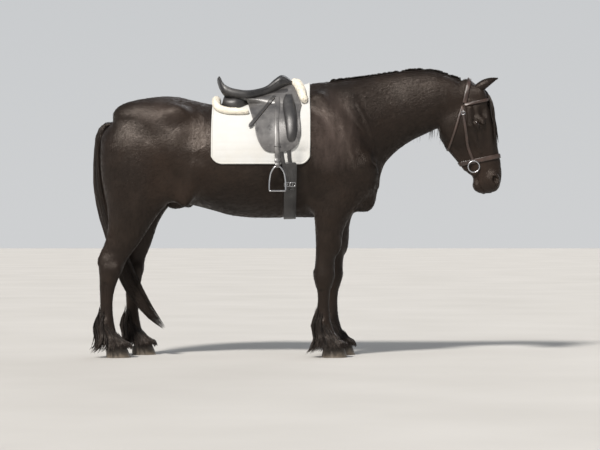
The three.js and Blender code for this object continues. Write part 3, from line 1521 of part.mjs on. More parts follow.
// Hair. Each path starts on the skin and slides down it, hanging free where the skin falls away
function drape(start, heading, length, steps, level) {
  const path = [settle(body, start.slice(), 60, level)];
  const stride = length / steps;
  let run = new THREE.Vector3(...heading).normalize();
  for (let i = 0; i < steps; i++) {
    const from = new THREE.Vector3(...path[i]);
    const pull = clamp(0.25 + (0.9 * i) / steps, 0, 1);
    run.lerp(new THREE.Vector3(0, 0, -1), pull).normalize();
    let to = from.clone().addScaledVector(run, stride);
    for (let turn = 0; turn < 4; turn++) {
      const d = body(to.x, to.y, to.z) - level;
      if (d >= 0) break;
      const out = new THREE.Vector3(...gradient(body, to.toArray(), 4)).normalize();
      to.addScaledVector(out, -d);
    }
    run = to.clone().sub(from).normalize();
    to = from.addScaledVector(run, stride);
    path.push(to.toArray());
  }
  return path;
}

// Draws repeatable numbers from 0 to 1
function dice(seed) {
  let state = seed;
  return () => {
    state = (state * 1664525 + 1013904223) % 4294967296;
    return state / 4294967296;
  };
}

// One flat lock along a path, tapered to its tip; facing gives the way out of the coat at each
// point, and a fuller lock keeps its width for longer
function lock(path, width, thickness, facing, full = 2.2) {
  const last = path.length - 1;
  return loft(
    path.map((p, i) => {
      const s = i / last;
      const at = new THREE.Vector3(...p);
      const before = new THREE.Vector3(...path[Math.max(i - 1, 0)]);
      const run = new THREE.Vector3(...path[Math.min(i + 1, last)]).sub(before).normalize();
      const out = new THREE.Vector3(...facing(p));
      out.addScaledVector(run, -out.dot(run)).normalize();
      const across = new THREE.Vector3().crossVectors(run, out);
      const w = (width / 2) * mix(0.62 + 1.76 * s * (1 - s), 0.06, s ** full);
      const t = (thickness / 2) * mix(1, 0.12, s ** 1.6);
      const corner = (a, b) => at.clone().addScaledVector(across, a).addScaledVector(out, b).toArray();
      return [corner(-w, 0), corner(0, t), corner(w, 0), corner(0, -t)];
    }),
  );
}

// A thin band between like paths, thickest at its first points, that locks are rooted in
function band(paths, thickness, facing) {
  const [rows, columns] = [paths.length, paths[0].length];
  const at = (i, j, side) => {
    const p = paths[i][j];
    const d = facing(p);
    const size = side * thickness * (1 - (0.6 * j) / (columns - 1));
    return p.map((v, c) => v + d[c] * size);
  };
  return plate(rows, columns, (i, j) => at(i, j, -0.5), (i, j) => at(i, j, 0.5));
}

const skinFacing = (p) => {
  const g = gradient(body, p, 6);
  const size = Math.hypot(...g) || 1;
  return g.map((v) => v / size);
};

// The mane falls to the left from the crest; its length by place along the neck
const MANE = { locks: 20, from: -34, to: 660, width: 74, thickness: 13, rootY: 5 };
const maneLength = profile([
  [-60, 210],
  [100, 330],
  [300, 430],
  [450, 520],
  [560, 540],
  [680, 420],
]);
const crestPoint = (t) => fromNeck(t, 0, sample(neckForm, t, 0));
const maneFacing = (p) => {
  const [, y, z] = gradient(body, p, 6);
  const flat = Math.hypot(y, z) || 1;
  return [0, y / flat, z / flat];
};

function mane() {
  const random = dice(7);
  const maneRoot = (t, reach, steps, lean, level) => {
    const [x, , z] = crestPoint(t);
    return drape([x, MANE.rootY, z], [lean, 1, 0.1], reach * sample(maneLength, t, 0), steps, level);
  };
  const roots = [];
  for (let i = 0; i < 8; i++) roots.push(maneRoot(mix(MANE.from, MANE.to, i / 7), 0.4, 3, 0, 5));
  let made = band(roots, 12, maneFacing);
  for (let i = 0; i < MANE.locks; i++) {
    const t = mix(MANE.from + 6, MANE.to - 6, (i + 0.3 + 0.4 * random()) / MANE.locks);
    const reach = 0.82 + 0.26 * random();
    const path = maneRoot(t, reach, 5, 0.3 * (random() - 0.5), i % 2 ? 11 : 5);
    made = made.add(lock(path, MANE.width * (0.85 + 0.3 * random()), MANE.thickness, maneFacing));
  }
  return made;
}

// The forelock falls from between the ears over the forehead
const FORELOCK = { locks: 7, length: 350, width: 46, thickness: 12, spread: 30 };
function forelock() {
  const random = dice(11);
  const fall = (y, length, steps, level) =>
    drape(fromHead(26, 0.55 * y, 80), [0.8, y / 50, -0.6], length, steps, level);
  const roots = [-1, -0.33, 0.33, 1].map((f) => fall(f * FORELOCK.spread, 130, 2, 4));
  let made = band(roots, 12, skinFacing);
  for (let i = 0; i < FORELOCK.locks; i++) {
    const y = mix(-FORELOCK.spread, FORELOCK.spread, i / (FORELOCK.locks - 1));
    const path = fall(y, FORELOCK.length * (0.78 + 0.26 * random()), 5, i % 2 ? 9 : 4);
    made = made.add(lock(path, FORELOCK.width, FORELOCK.thickness, skinFacing));
  }
  return made;
}

// The tail's middle line from dock to tip: x, z, and half widths fore and aft and sideways
const TAIL = [
  [-1086, 1362, 22, 28],
  [-1130, 1348, 26, 36],
  [-1162, 1296, 27, 46],
  [-1171, 1210, 28, 54],
  [-1168, 1110, 37, 60],
  [-1160, 1010, 45, 60],
  [-1140, 900, 48, 54],
  [-1112, 790, 50, 50],
  [-1080, 690, 48, 46],
  [-1040, 560, 52, 44],
  [-986, 430, 54, 42],
  [-920, 320, 44, 36],
  [-846, 225, 30, 26],
  [-782, 162, 10, 10],
];
const TAIL_CUT = 760; // height at which the tail's upper length meets its end
const TAIL_LOCKS = { count: 16, width: 62, thickness: 26 };
const tailForm = profile(TAIL.map((row, i) => [i / (TAIL.length - 1), ...row]));
function tailPoint(s, angle, f) {
  const [x, z, deep, wide] = [0, 1, 2, 3].map((c) => sample(tailForm, s, c));
  const run = [0, 1].map((c) => sample(tailForm, s + 0.02, c) - sample(tailForm, s - 0.02, c));
  const size = Math.hypot(...run);
  const c = f * deep * Math.cos(angle);
  return [x - (c * run[1]) / size, f * wide * Math.sin(angle), z + (c * run[0]) / size];
}

// The core that the tail's locks are rooted in: place along the tail, and its share of the width
const TAIL_CORE = [
  [0, 0.8],
  [0.07, 0.8],
  [0.15, 0.8],
  [0.25, 0.8],
  [0.36, 0.8],
  [0.47, 0.62],
  [0.56, 0.3],
];

function tail() {
  const random = dice(23);
  const around = Array.from({ length: 9 }, (_, k) => (2 * Math.PI * k) / 9);
  let made = loft(TAIL_CORE.map(([s, share]) => around.map((angle) => tailPoint(s, angle, share))));
  for (let i = 0; i < TAIL_LOCKS.count; i++) {
    const angle = i * 2.4;
    const start = mix(0.1, 0.42, random());
    const end = mix(0.78, 0.995, (i * 0.618 + 0.3) % 1);
    const path = Array.from({ length: 7 }, (_, k) => {
      const f = k / 6;
      const share = mix(0.62, 0.86, Math.min(3 * f, 1)) * mix(1, 0.75, f ** 3);
      return tailPoint(mix(start, end, f), angle + 0.35 * f, share);
    });
    const facing = (p) => {
      const k = path.indexOf(p);
      const middle = tailPoint(mix(start, end, k / 6), 0, 0);
      return p.map((v, c) => v - middle[c]);
    };
    made = made.add(lock(path, TAIL_LOCKS.width * (0.8 + 0.4 * random()), TAIL_LOCKS.thickness, facing));
  }
  return made;
}

// The feather of one leg hangs from the back of the cannon and the fetlock over the hoof.
// Each lock: its angle from the front, the heights of its root and tip, how far its tip stands
// out from the leg, and its width
const FEATHER = {
  thickness: 18,
  locks: [
    [0, 122, 46, 10, 58],
    [46, 140, 38, 12, 64],
    [88, 176, 30, 24, 72],
    [124, 226, 22, 50, 84],
    [160, 290, 14, 78, 92],
  ],
};
function feather(kind, move, sideSign) {
  const fore = kind === "fore";
  const { toe, heel, width, side } = HOOVES[kind];
  const random = dice(fore ? 31 : 43);
  const ankle = fore ? 158 : -1106;
  const middle = (z) => mix((toe + heel) / 2, ankle, smoothstep(40, 200, z)) + move;
  // A point outside the leg or its hoof, by height, angle from the front and distance off it
  const around = (z, angle, off) => {
    const [c, s] = [Math.cos(angle), Math.sin(angle)];
    const x = middle(z);
    let r = z < 88 ? 1 / Math.hypot(c / ((toe - heel) / 2), s / (width / 2)) : 10;
    while (body(x + r * c, sideSign * side + r * s, z) < 0 && r < 120) r += 1;
    return [x + (r + off) * c, sideSign * side + (r + off) * s, z];
  };
  const rows = [300, 240, 190, 150, 118];
  const sleeve = [-4, 1].map((face) =>
    rows.map((z, i) => Array.from({ length: 10 }, (_, k) => {
      const a = (2 * Math.PI * k) / 10;
      const behind = ((1 - Math.cos(a)) / 2) ** 2;
      return around(z, a, face < 0 ? face : 3 + behind * mix(2, 26, i / (rows.length - 1)));
    })),
  );
  let made = solid(sleeve.flat(2), wallTriangles(rows.length, 10));
  for (const [degrees, top, low, out, wide] of FEATHER.locks)
    for (const sign of degrees ? [-1, 1] : [1]) {
      const angle = radians(sign * (degrees + 8 * (random() - 0.5)));
      const path = Array.from({ length: 5 }, (_, k) => {
        const f = k / 4;
        const off = mix(2, out * (0.85 + 0.3 * random()), f ** 1.2) + 3;
        return around(mix(top, low + 10 * random(), f), angle, off);
      });
      const facing = ([x, y, z]) => [x - middle(z), y - sideSign * side, 30];
      made = made.add(lock(path, wide, FEATHER.thickness, facing, 3.4));
    }
  return made;
}

// Triangles of a wall that goes all the way round: inner grid first, then the outer one
function wallTriangles(rows, columns) {
  const at = (face, i, k) => face * rows * columns + i * columns + (k % columns);
  const triangles = [];
  const quad = (a, b, c, d) => triangles.push([a, b, c], [a, c, d]);
  for (let i = 0; i < rows - 1; i++)
    for (let k = 0; k < columns; k++) {
      quad(at(0, i, k), at(0, i + 1, k), at(0, i + 1, k + 1), at(0, i, k + 1));
      quad(at(1, i, k + 1), at(1, i + 1, k + 1), at(1, i + 1, k), at(1, i, k));
    }
  for (let k = 0; k < columns; k++) {
    quad(at(0, 0, k), at(0, 0, k + 1), at(1, 0, k + 1), at(1, 0, k));
    quad(at(1, rows - 1, k), at(1, rows - 1, k + 1), at(0, rows - 1, k + 1), at(0, rows - 1, k));
  }
  return triangles;
}

const bridleSolids = [crownSolid, browSolid, throatSolid];
const hair = (made, ...near) => clearOf(neat(largest(made), 2.4), ...near);
place("mane", hair(mane(), neckSolid, torsoSolid, headSolid, ...bridleSolids, ears.left), HAIR());
place("forelock", hair(forelock(), headSolid, ...bridleSolids, noseSolid, ears.left, ears.right), HAIR());
const tailSolid = hair(tail(), torsoSolid, legSolids.right_hind, legSolids.left_hind);
place("tail", largest(keepBeyond(tailSolid, [0, 0, TAIL_CUT], [0, 0, 1])), HAIR());
place("tail_end", largest(keepBeyond(tailSolid, [0, 0, TAIL_CUT], [0, 0, -1])), HAIR());
for (const [name, sign] of Object.entries(sides))
  for (const kind of ["fore", "hind"]) {
    const key = `${name}_${kind}`;
    const step = sign > 0 ? (kind === "fore" ? LEFT_FORE_STEP : LEFT_HIND_STEP) : 0;
    place(key + "_feather", hair(feather(kind, step, sign), legSolids[key], hoofSolids[key]), HAIR());
  }

horse.position.x = SHIFT_X;
export default horse;
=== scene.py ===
"""A friesian horse in dressage tack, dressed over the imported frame."""

import math

import bmesh
import bpy
import numpy as np
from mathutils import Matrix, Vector


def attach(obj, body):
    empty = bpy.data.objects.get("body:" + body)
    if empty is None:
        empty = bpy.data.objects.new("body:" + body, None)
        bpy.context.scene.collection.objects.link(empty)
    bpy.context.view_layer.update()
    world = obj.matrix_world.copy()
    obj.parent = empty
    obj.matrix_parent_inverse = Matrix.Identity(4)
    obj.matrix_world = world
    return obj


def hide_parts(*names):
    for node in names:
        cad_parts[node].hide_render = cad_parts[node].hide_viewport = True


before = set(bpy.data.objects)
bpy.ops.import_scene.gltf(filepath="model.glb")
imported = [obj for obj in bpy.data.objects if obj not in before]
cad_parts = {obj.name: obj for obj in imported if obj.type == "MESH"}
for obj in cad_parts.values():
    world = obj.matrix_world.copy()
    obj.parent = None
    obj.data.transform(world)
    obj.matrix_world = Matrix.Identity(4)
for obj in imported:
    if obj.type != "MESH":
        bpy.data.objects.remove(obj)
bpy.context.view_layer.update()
rng = np.random.default_rng(20)

# Sizes shared with the solids, in millimetres
POLL = (1003.0, 1564.0)
HEAD_LEAN = math.radians(11.3)
NECK_BASE = (340.0, 1326.0)
NECK_RISE = math.radians(17.3)
# How far the left feet stand ahead of the right ones, and the heights it fades out between
STEP_LEFT = {"fore": 53.0, "hind": 128.0}
STEP_FADE = {"fore": (650, 900), "hind": (350, 900)}
SIDES = {-1: "right", 1: "left"}
EYE_AT = (205.0, 79.0, 4.0)
EYE_RADIUS = 21.5
COAT_DEPTH = 2.5


def mix(a, b, t):
    return a + (b - a) * t


def smoothstep(low, high, v):
    t = np.clip((v - low) / (high - low), 0, 1)
    return t * t * (3 - 2 * t)


def smooth_min(a, b, k):
    h = np.maximum(k - np.abs(a - b), 0) / k
    return np.minimum(a, b) - h * h * k / 4


def smooth_max(a, b, k):
    return -smooth_min(-a, -b, k)


class Profile:
    """Cubic interpolation through given stations [t, a, b, ...]."""

    def __init__(self, stations, samples=160):
        s = np.array(stations, float)
        self.t = np.linspace(s[0, 0], s[-1, 0], samples + 1)
        low, high = np.maximum(np.arange(len(s)) - 1, 0), np.minimum(np.arange(len(s)) + 1, len(s) - 1)
        slope = (s[high, 1:] - s[low, 1:]) / (s[high, 0] - s[low, 0])[:, None]
        i = np.clip(np.searchsorted(s[:, 0], self.t, side="right") - 1, 0, len(s) - 2)
        width = (s[i + 1, 0] - s[i, 0])[:, None]
        f = (self.t[:, None] - s[i, 0][:, None]) / width
        a, b, c, d = 2 * f**3 - 3 * f**2 + 1, f**3 - 2 * f**2 + f, 3 * f**2 - 2 * f**3, f**3 - f**2
        self.table = a * s[i, 1:] + b * width * slope[i] + c * s[i + 1, 1:] + d * width * slope[i + 1]

    def __call__(self, t, column):
        return np.interp(t, self.t, self.table[:, column])


class Tube:
    """A tube along a straight axis in a vertical plane, shaped by its stations."""

    def __init__(self, origin, along, across, stations, blend=0.0):
        self.origin, self.along, self.across, self.blend = origin, along, across, blend
        self.form = Profile(stations)

    def __call__(self, x, y, z):
        form = self.form
        dx, dz = x - self.origin[0], z - self.origin[1]
        t = dx * self.along[0] + dz * self.along[1]
        n = dx * self.across[0] + dz * self.across[1]
        mid = form(t, 2)
        side = y - form(t, 4)
        front = n > mid
        height = np.where(front, form(t, 0) - mid, mid - form(t, 1))
        power = np.where(front, form(t, 5), form(t, 6))
        a = np.abs(n - mid) / np.maximum(height, 1)
        b = np.abs(side) / np.maximum(form(t, 3), 1)
        k = np.maximum((a**power + b**power) ** (1 / power), 1e-4)
        d = np.hypot(n - mid, side) * (1 - 1 / k)
        beyond = np.maximum(np.maximum(form.t[0] - t, t - form.t[-1]), 0)
        return np.where(beyond > 0, np.hypot(np.maximum(d, 0), beyond), d)


class Lump:
    """An ellipsoid, tilted in the XZ plane."""

    def __init__(self, centre, radii, tilt=0.0, blend=30.0):
        self.centre, self.radii, self.blend = centre, radii, blend
        self.cos, self.sin = math.cos(math.radians(tilt)), math.sin(math.radians(tilt))

    def __call__(self, x, y, z):
        dx, dy, dz = x - self.centre[0], y - self.centre[1], z - self.centre[2]
        rx, ry, rz = self.radii
        qx, qy, qz = (dx * self.cos + dz * self.sin) / rx, dy / ry, (dz * self.cos - dx * self.sin) / rz
        k1 = np.sqrt(qx * qx + qy * qy + qz * qz)
        k2 = np.sqrt((qx / rx) ** 2 + (qy / ry) ** 2 + (qz / rz) ** 2)
        return np.where(k2 < 1e-9, -min(self.radii), k1 * (k1 - 1) / np.maximum(k2, 1e-9))


class Ridge:
    """A round ridge from a to b whose radius runs from ra to rb."""

    def __init__(self, a, b, ra, rb, blend=20.0):
        self.a, self.b, self.ra, self.rb, self.blend = np.array(a, float), np.array(b, float), ra, rb, blend

    def __call__(self, x, y, z):
        d = self.b - self.a
        px, py, pz = x - self.a[0], y - self.a[1], z - self.a[2]
        t = np.clip((px * d[0] + py * d[1] + pz * d[2]) / (d @ d), 0, 1)
        away = np.sqrt((px - d[0] * t) ** 2 + (py - d[1] * t) ** 2 + (pz - d[2] * t) ** 2)
        return away - mix(self.ra, self.rb, t)


# The head's own frame: u down the face from the poll, v out of the forehead
HEAD_ALONG = (math.sin(HEAD_LEAN), -math.cos(HEAD_LEAN))
HEAD_ACROSS = (-HEAD_ALONG[1], HEAD_ALONG[0])
HEAD_TILT = math.degrees(HEAD_LEAN) - 90


def from_head(u, y, v):
    x = POLL[0] + u * HEAD_ALONG[0] + v * HEAD_ACROSS[0]
    return (x, y, POLL[1] + u * HEAD_ALONG[1] + v * HEAD_ACROSS[1])


def to_head(x, z):
    dx, dz = x - POLL[0], z - POLL[1]
    return dx * HEAD_ALONG[0] + dz * HEAD_ALONG[1], dx * HEAD_ACROSS[0] + dz * HEAD_ACROSS[1]


def head_lump(at, radii, blend, turn=0.0):
    return Lump(from_head(*at), radii, HEAD_TILT + turn, blend)


def head_ridge(a, b, ra, rb, blend):
    return Ridge(from_head(*a), from_head(*b), ra, rb, blend)


# Every tube's stations: place along it, reach before and behind, middle line, half width, sideways
# place, and the roundness of its front and its back
HEAD = Tube(
    POLL,
    HEAD_ALONG,
    HEAD_ACROSS,
    [
        [-62, 20, -40, -10, 30, 0, 2, 2],
        [-30, 48, -80, -12, 58, 0, 2, 2],
        [0, 66, -104, -8, 68, 0, 2.1, 2],
        [50, 88, -140, -2, 76, 0, 2.2, 2],
        [100, 101, -175, 4, 84, 0, 2.3, 2.2],
        [150, 106, -202, 6, 88, 0, 2.4, 2.3],
        [200, 106, -220, 8, 88, 0, 2.5, 2.4],
        [250, 103, -222, 12, 83, 0, 2.5, 2.5],
        [300, 100, -204, 18, 75, 0, 2.5, 2.4],
        [350, 100, -174, 22, 67, 0, 2.5, 2.2],
        [400, 102, -145, 22, 60, 0, 2.5, 2],
        [450, 103, -116, 14, 55, 0, 2.5, 2],
        [500, 102, -88, 6, 54, 0, 2.5, 2],
        [550, 91, -80, 2, 54, 0, 2.3, 2],
        [585, 72, -74, 0, 49, 0, 2.2, 2],
        [605, 48, -58, 0, 38, 0, 2, 2],
        [616, 16, -34, -8, 18, 0, 2, 2],
    ],
)

HEAD_FORMS = [
    head_lump((205, 74, 12), (44, 30, 38), 16),  # orbit
    head_ridge((172, 72, 44), (214, 90, 40), 17, 13, 14),  # bony brow over the eye
    head_ridge((210, 92, -34), (112, 84, -22), 17, 15, 26),  # zygomatic arch
    head_ridge((232, 82, -34), (372, 61, -8), 14, 5, 22),  # facial crest
    head_lump((196, 54, -118), (118, 38, 94), 26, 12),  # masseter
    head_ridge((300, 34, -176), (450, 24, -104), 18, 14, 26),  # bar of the lower jaw
    head_ridge((250, 22, 84), (452, 18, 88), 20, 10, 22),  # nasal bone
    head_lump((545, 44, 40), (48, 24, 36), 18, 10),  # nostril wing
    head_lump((575, 20, 30), (44, 34, 40), 22),  # upper lip
    head_lump((562, 12, -58), (34, 30, 26), 16),  # chin
    head_lump((30, 40, 40), (44, 34, 44), 24),  # root of the ear
    head_lump((60, 40, 62), (60, 34, 36), 26),  # temple muscle
]

HEAD_DENTS = [
    head_lump((146, 80, 56), (28, 13, 16), 22),  # hollow above the eye
    head_lump((330, 84, 46), (95, 20, 26), 24),  # cheek beside the nose
    head_lump((400, 78, -62), (80, 22, 30), 24),  # in front of the masseter
    head_ridge((190, 0, -236), (430, 0, -136), 17, 13, 18),  # channel between the jaws
    head_lump((516, 0, -88), (22, 60, 12), 14),  # chin groove
    head_lump((238, 92, 22), (24, 8, 8), 8),  # tear furrow at the eye's inner corner
]

NOSTRIL = [
    head_lump((553, 66, 47), (19, 17, 12.5), 5, 24),
    head_lump((541, 62, 54), (17, 12, 7), 5, 42),
]

NECK_STATIONS = [
    [-240, 300, -200, 0, 130, 0, 1.8, 2],
    [-120, 318, -320, 0, 185, 0, 1.8, 2],
    [0, 306, -345, -30, 178, 0, 1.8, 2],
    [100, 286, -245, -20, 148, 0, 1.8, 2],
    [200, 270, -188, -10, 124, 0, 1.8, 2.1],
    [300, 255, -157, 0, 108, 0, 1.8, 2.1],
    [400, 239, -142, 6, 99, 0, 1.9, 2.1],
    [470, 222, -134, 8, 95, 0, 1.9, 2.1],
    [540, 194, -128, 10, 92, 0, 2, 2],
    [600, 156, -116, 8, 88, 0, 2, 2],
    [660, 108, -92, 4, 74, 0, 2, 2],
    [705, 60, -40, 0, 40, 0, 2, 2],
]

TRUNK = Tube(
    (0, 0),
    (1, 0),
    (0, 1),
    [
        [-1136, 1290, 1150, 1225, 30, 0, 2, 2],
        [-1112, 1345, 1100, 1222, 92, 0, 2, 2],
        [-1060, 1404, 1040, 1216, 152, 0, 2, 2],
        [-985, 1460, 990, 1208, 204, 0, 1.95, 2],
        [-900, 1504, 955, 1200, 240, 0, 1.95, 2],
        [-800, 1526, 925, 1192, 262, 0, 2, 2],
        [-700, 1522, 902, 1180, 274, 0, 2.05, 2],
        [-600, 1500, 882, 1168, 286, 0, 2.1, 2.1],
        [-500, 1478, 856, 1150, 301, 0, 2.1, 2.2],
        [-400, 1470, 828, 1132, 316, 0, 2.1, 2.2],
        [-300, 1480, 815, 1120, 324, 0, 2.1, 2.2],
        [-200, 1502, 811, 1115, 318, 0, 2, 2.2],
        [-100, 1535, 812, 1115, 300, 0, 1.9, 2.2],
        [0, 1573, 814, 1120, 272, 0, 1.8, 2.2],
        [100, 1596, 814, 1125, 246, 0, 1.8, 2.1],
        [200, 1570, 820, 1115, 234, 0, 1.8, 2],
        [300, 1480, 832, 1095, 220, 0, 2, 2],
        [380, 1370, 856, 1070, 190, 0, 2, 2],
        [440, 1230, 905, 1045, 132, 0, 2, 2],
        [474, 1110, 985, 1045, 50, 0, 2, 2],
    ],
    60,
)

BODY_FORMS = [
    Lump((-700, 204, 1418), (58, 36, 44), -10, 70),  # point of the hip
    Lump((-860, 116, 1390), (210, 104, 104), -8, 80),  # croup
    Lump((-1098, 84, 1262), (44, 44, 66), 0, 60),  # point of the buttock
    Lump((-726, 176, 992), (60, 56, 84), 10, 60),  # stifle
    Lump((404, 158, 1060), (62, 52, 84), 0, 64),  # point of the shoulder
    Lump((196, 190, 1046), (150, 52, 124), -24, 70),  # triceps
    Ridge((120, 132, 1500), (384, 168, 1130), 34, 40, 80),  # shoulder blade
    Lump((112, 166, 905), (42, 38, 54), 0, 40),  # elbow
    Lump((386, 74, 972), (70, 66, 122), 12, 60),  # breast muscle
    Lump((30, 196, 1180), (190, 84, 220), 0, 80),  # ribs behind the shoulder
    Ridge((-650, 206, 905), (-570, 240, 1080), 30, 26, 80),  # fold of the flank
]

BODY_DENTS = [
    Lump((-600, 324, 1330), (70, 52, 90), 0, 60),  # hollow of the flank
    Ridge((452, 168, 1150), (800, 112, 1374), 14, 11, 40),  # jugular groove
    Ridge((36, 304, 1180), (56, 254, 900), 20, 14, 60),  # behind the shoulder
    Ridge((-1130, 0, 1190), (-1000, 0, 975), 24, 32, 60),  # between the buttocks
    Ridge((-860, 0, 1560), (-1030, 0, 1470), 20, 14, 50),  # groove along the croup
    Ridge((436, 0, 1040), (380, 0, 850), 18, 20, 44),  # between the breast muscles
]

FORE_STATIONS = [
    [30, 268, 160, 214, 50, 136, 2, 2],
    [60, 262, 156, 210, 50, 136, 2, 2],
    [88, 254, 150, 204, 46, 136, 2, 2],
    [118, 236, 134, 186, 37, 137, 2, 2],
    [150, 215, 112, 166, 33, 138, 2, 2],
    [200, 198, 98, 150, 39, 139, 2, 2],
    [230, 192, 104, 150, 34, 139, 2, 2],
    [262, 189, 110, 152, 29, 139, 2, 2],
    [330, 187, 115, 154, 29, 140, 2, 2],
    [388, 194, 112, 156, 37, 140, 2.1, 2.1],
    [430, 208, 99, 156, 48, 141, 2.4, 2.2],
    [476, 219, 93, 158, 53, 142, 2.5, 2.2],
    [530, 218, 99, 160, 50, 143, 2.3, 2.2],
    [594, 224, 104, 164, 52, 145, 2.1, 2.1],
    [682, 248, 104, 176, 64, 148, 2, 2],
    [770, 284, 100, 190, 76, 152, 2, 2],
    [829, 318, 94, 206, 84, 156, 2, 2],
    [900, 372, 84, 226, 88, 158, 2, 2],
    [1000, 432, 84, 260, 88, 156, 2, 2],
    [1100, 436, 90, 262, 80, 150, 2, 2],
    [1220, 392, 90, 240, 66, 138, 2, 2],
    [1360, 300, 80, 190, 48, 118, 2, 2],
    [1480, 200, 70, 135, 24, 92, 2, 2],
]

HIND_STATIONS = [
    [30, -992, -1102, -1046, 50, 150, 2, 2],
    [60, -998, -1106, -1052, 50, 150, 2, 2],
    [90, -1010, -1116, -1064, 45, 150, 2, 2],
    [120, -1034, -1134, -1085, 36, 150, 2, 2],
    [150, -1052, -1152, -1103, 33, 150, 2, 2],
    [190, -1062, -1164, -1112, 39, 150, 2, 2],
    [225, -1068, -1158, -1110, 34, 150, 2, 2],
    [262, -1072, -1150, -1110, 29, 150, 2, 2],
    [330, -1072, -1150, -1108, 29, 150, 2, 2],
    [400, -1060, -1152, -1102, 36, 150, 2, 2],
    [470, -1034, -1154, -1092, 46, 150, 2.2, 2],
    [518, -1012, -1158, -1082, 52, 150, 2.3, 1.9],
    [565, -990, -1162, -1068, 47, 150, 2.1, 1.7],
    [606, -962, -1150, -1050, 44, 150, 2, 1.6],
    [653, -926, -1128, -1020, 50, 150, 2, 1.6],
    [712, -886, -1110, -988, 62, 150, 2, 1.8],
    [770, -850, -1104, -964, 74, 150, 2, 2],
    [829, -808, -1104, -944, 86, 151, 2, 2],
    [900, -752, -1112, -925, 100, 150, 2, 2],
    [980, -704, -1128, -915, 114, 146, 2, 2.1],
    [1060, -694, -1142, -915, 124, 140, 2, 2.1],
    [1150, -714, -1148, -930, 128, 134, 2, 2.1],
    [1240, -764, -1138, -950, 122, 130, 2, 2],
    [1330, -850, -1096, -970, 96, 124, 2, 2],
    [1390, -920, -1040, -980, 50, 116, 2, 2],
]
SHEATH = Lump((-706, 0, 900), (66, 38, 36), 6, 34)
EYE_CENTRE = np.array(from_head(*EYE_AT))
LID = {"thickness": 3.2, "half": 19.0, "upper": 13.5, "lower": 10.5, "slant": 40.0}


def cut_eyes(d, x, y, z):
    """Sinks the eye's place into the head, y taken as positive."""
    cx, cy, cz = EYE_CENTRE
    r = np.sqrt((x - cx) ** 2 + (y - cy) ** 2 + (z - cz) ** 2)
    near = r <= 2.5 * EYE_RADIUS
    e = smooth_min(d, r - EYE_RADIUS - LID["thickness"], 7)
    turn = math.radians(HEAD_TILT + LID["slant"])
    along = (x - cx) * math.cos(turn) + (z - cz) * math.sin(turn)
    up = -(x - cx) * math.sin(turn) + (z - cz) * math.cos(turn)
    almond = np.hypot(along / 1.5, up) - LID["upper"] - 3
    e = smooth_max(e, -np.maximum(almond, cy - y + 4), 6)
    e = np.maximum(e, EYE_RADIUS - 2 - r)
    return np.where(near, e, d)


def step_at(kind, side, z):
    return float(STEP_LEFT[kind] * (1 - smoothstep(*STEP_FADE[kind], z))) if side > 0 else 0.0


def leg(stations, side, kind):
    rows = []
    for z, front, back, mid, width, centre, p, q in stations:
        move = step_at(kind, side, z)
        rows.append([z, front + move, back + move, mid + move, width, side * centre, p, q])
    return Tube((0, 0), (0, 1), (1, 0), rows, 46)


def moved(kind, side):
    return lambda x, y, z: (x + step_at(kind, side, z), side * y, z)


def leg_forms(side):
    fore, hind = moved("fore", side), moved("hind", side)
    return [
        Ridge(fore(104, 142, 500), fore(106, 142, 468), 13, 11, 14),
        Ridge(fore(120, 139, 214), fore(110, 139, 188), 20, 22, 16),
        Lump(fore(206, 166, 716), (46, 34, 120), 10, 34),
        Ridge(hind(-1144, 150, 574), hind(-1148, 150, 550), 13, 14, 14),
        Ridge(hind(-1138, 150, 214), hind(-1146, 150, 188), 20, 22, 16),
        Lump(hind(-1052, 176, 510), (30, 26, 34), 0, 26),
        Lump(hind(-1052, 124, 510), (30, 26, 34), 0, 26),
    ]


def leg_dents(side):
    fore, hind = moved("fore", side), moved("hind", side)
    return [
        Ridge(fore(136, 176, 380), fore(134, 176, 235), 11, 11, 10),
        Ridge(hind(-1120, 186, 420), hind(-1124, 186, 240), 11, 11, 10),
        Ridge(hind(-1098, 202, 690), hind(-1114, 202, 600), 20, 12, 20),
        Ridge(hind(-1098, 98, 690), hind(-1114, 98, 600), 20, 12, 20),
    ]


NECK_ALONG = (math.cos(NECK_RISE), math.sin(NECK_RISE))
NECK_ACROSS = (-NECK_ALONG[1], NECK_ALONG[0])
NECK_FORM = Profile(NECK_STATIONS)
NECK = Tube(NECK_BASE, NECK_ALONG, NECK_ACROSS, NECK_STATIONS, 22)
LEGS = {s: [leg(FORE_STATIONS, s, "fore"), leg(HIND_STATIONS, s, "hind")] for s in SIDES}
LEG_FORMS = {s: leg_forms(s) for s in SIDES}
LEG_DENTS = {s: leg_dents(s) for s in SIDES}


def from_neck(t, y, n):
    return (
        NECK_BASE[0] + t * NECK_ALONG[0] + n * NECK_ACROSS[0],
        y,
        NECK_BASE[1] + t * NECK_ALONG[1] + n * NECK_ACROSS[1],
    )


def on_some(mask, d, change):
    """Applies change(d, mask) where the mask holds."""
    if mask.any():
        d[mask] = change(d[mask], mask)
    return d


# Where each part of the body begins or ends, which spares the fields their idle places
HEAD_REAR, NECK_REAR, NECK_LOW, TRUNK_LOW, CHEST_FRONT = 700, -200, 700, 750, 850


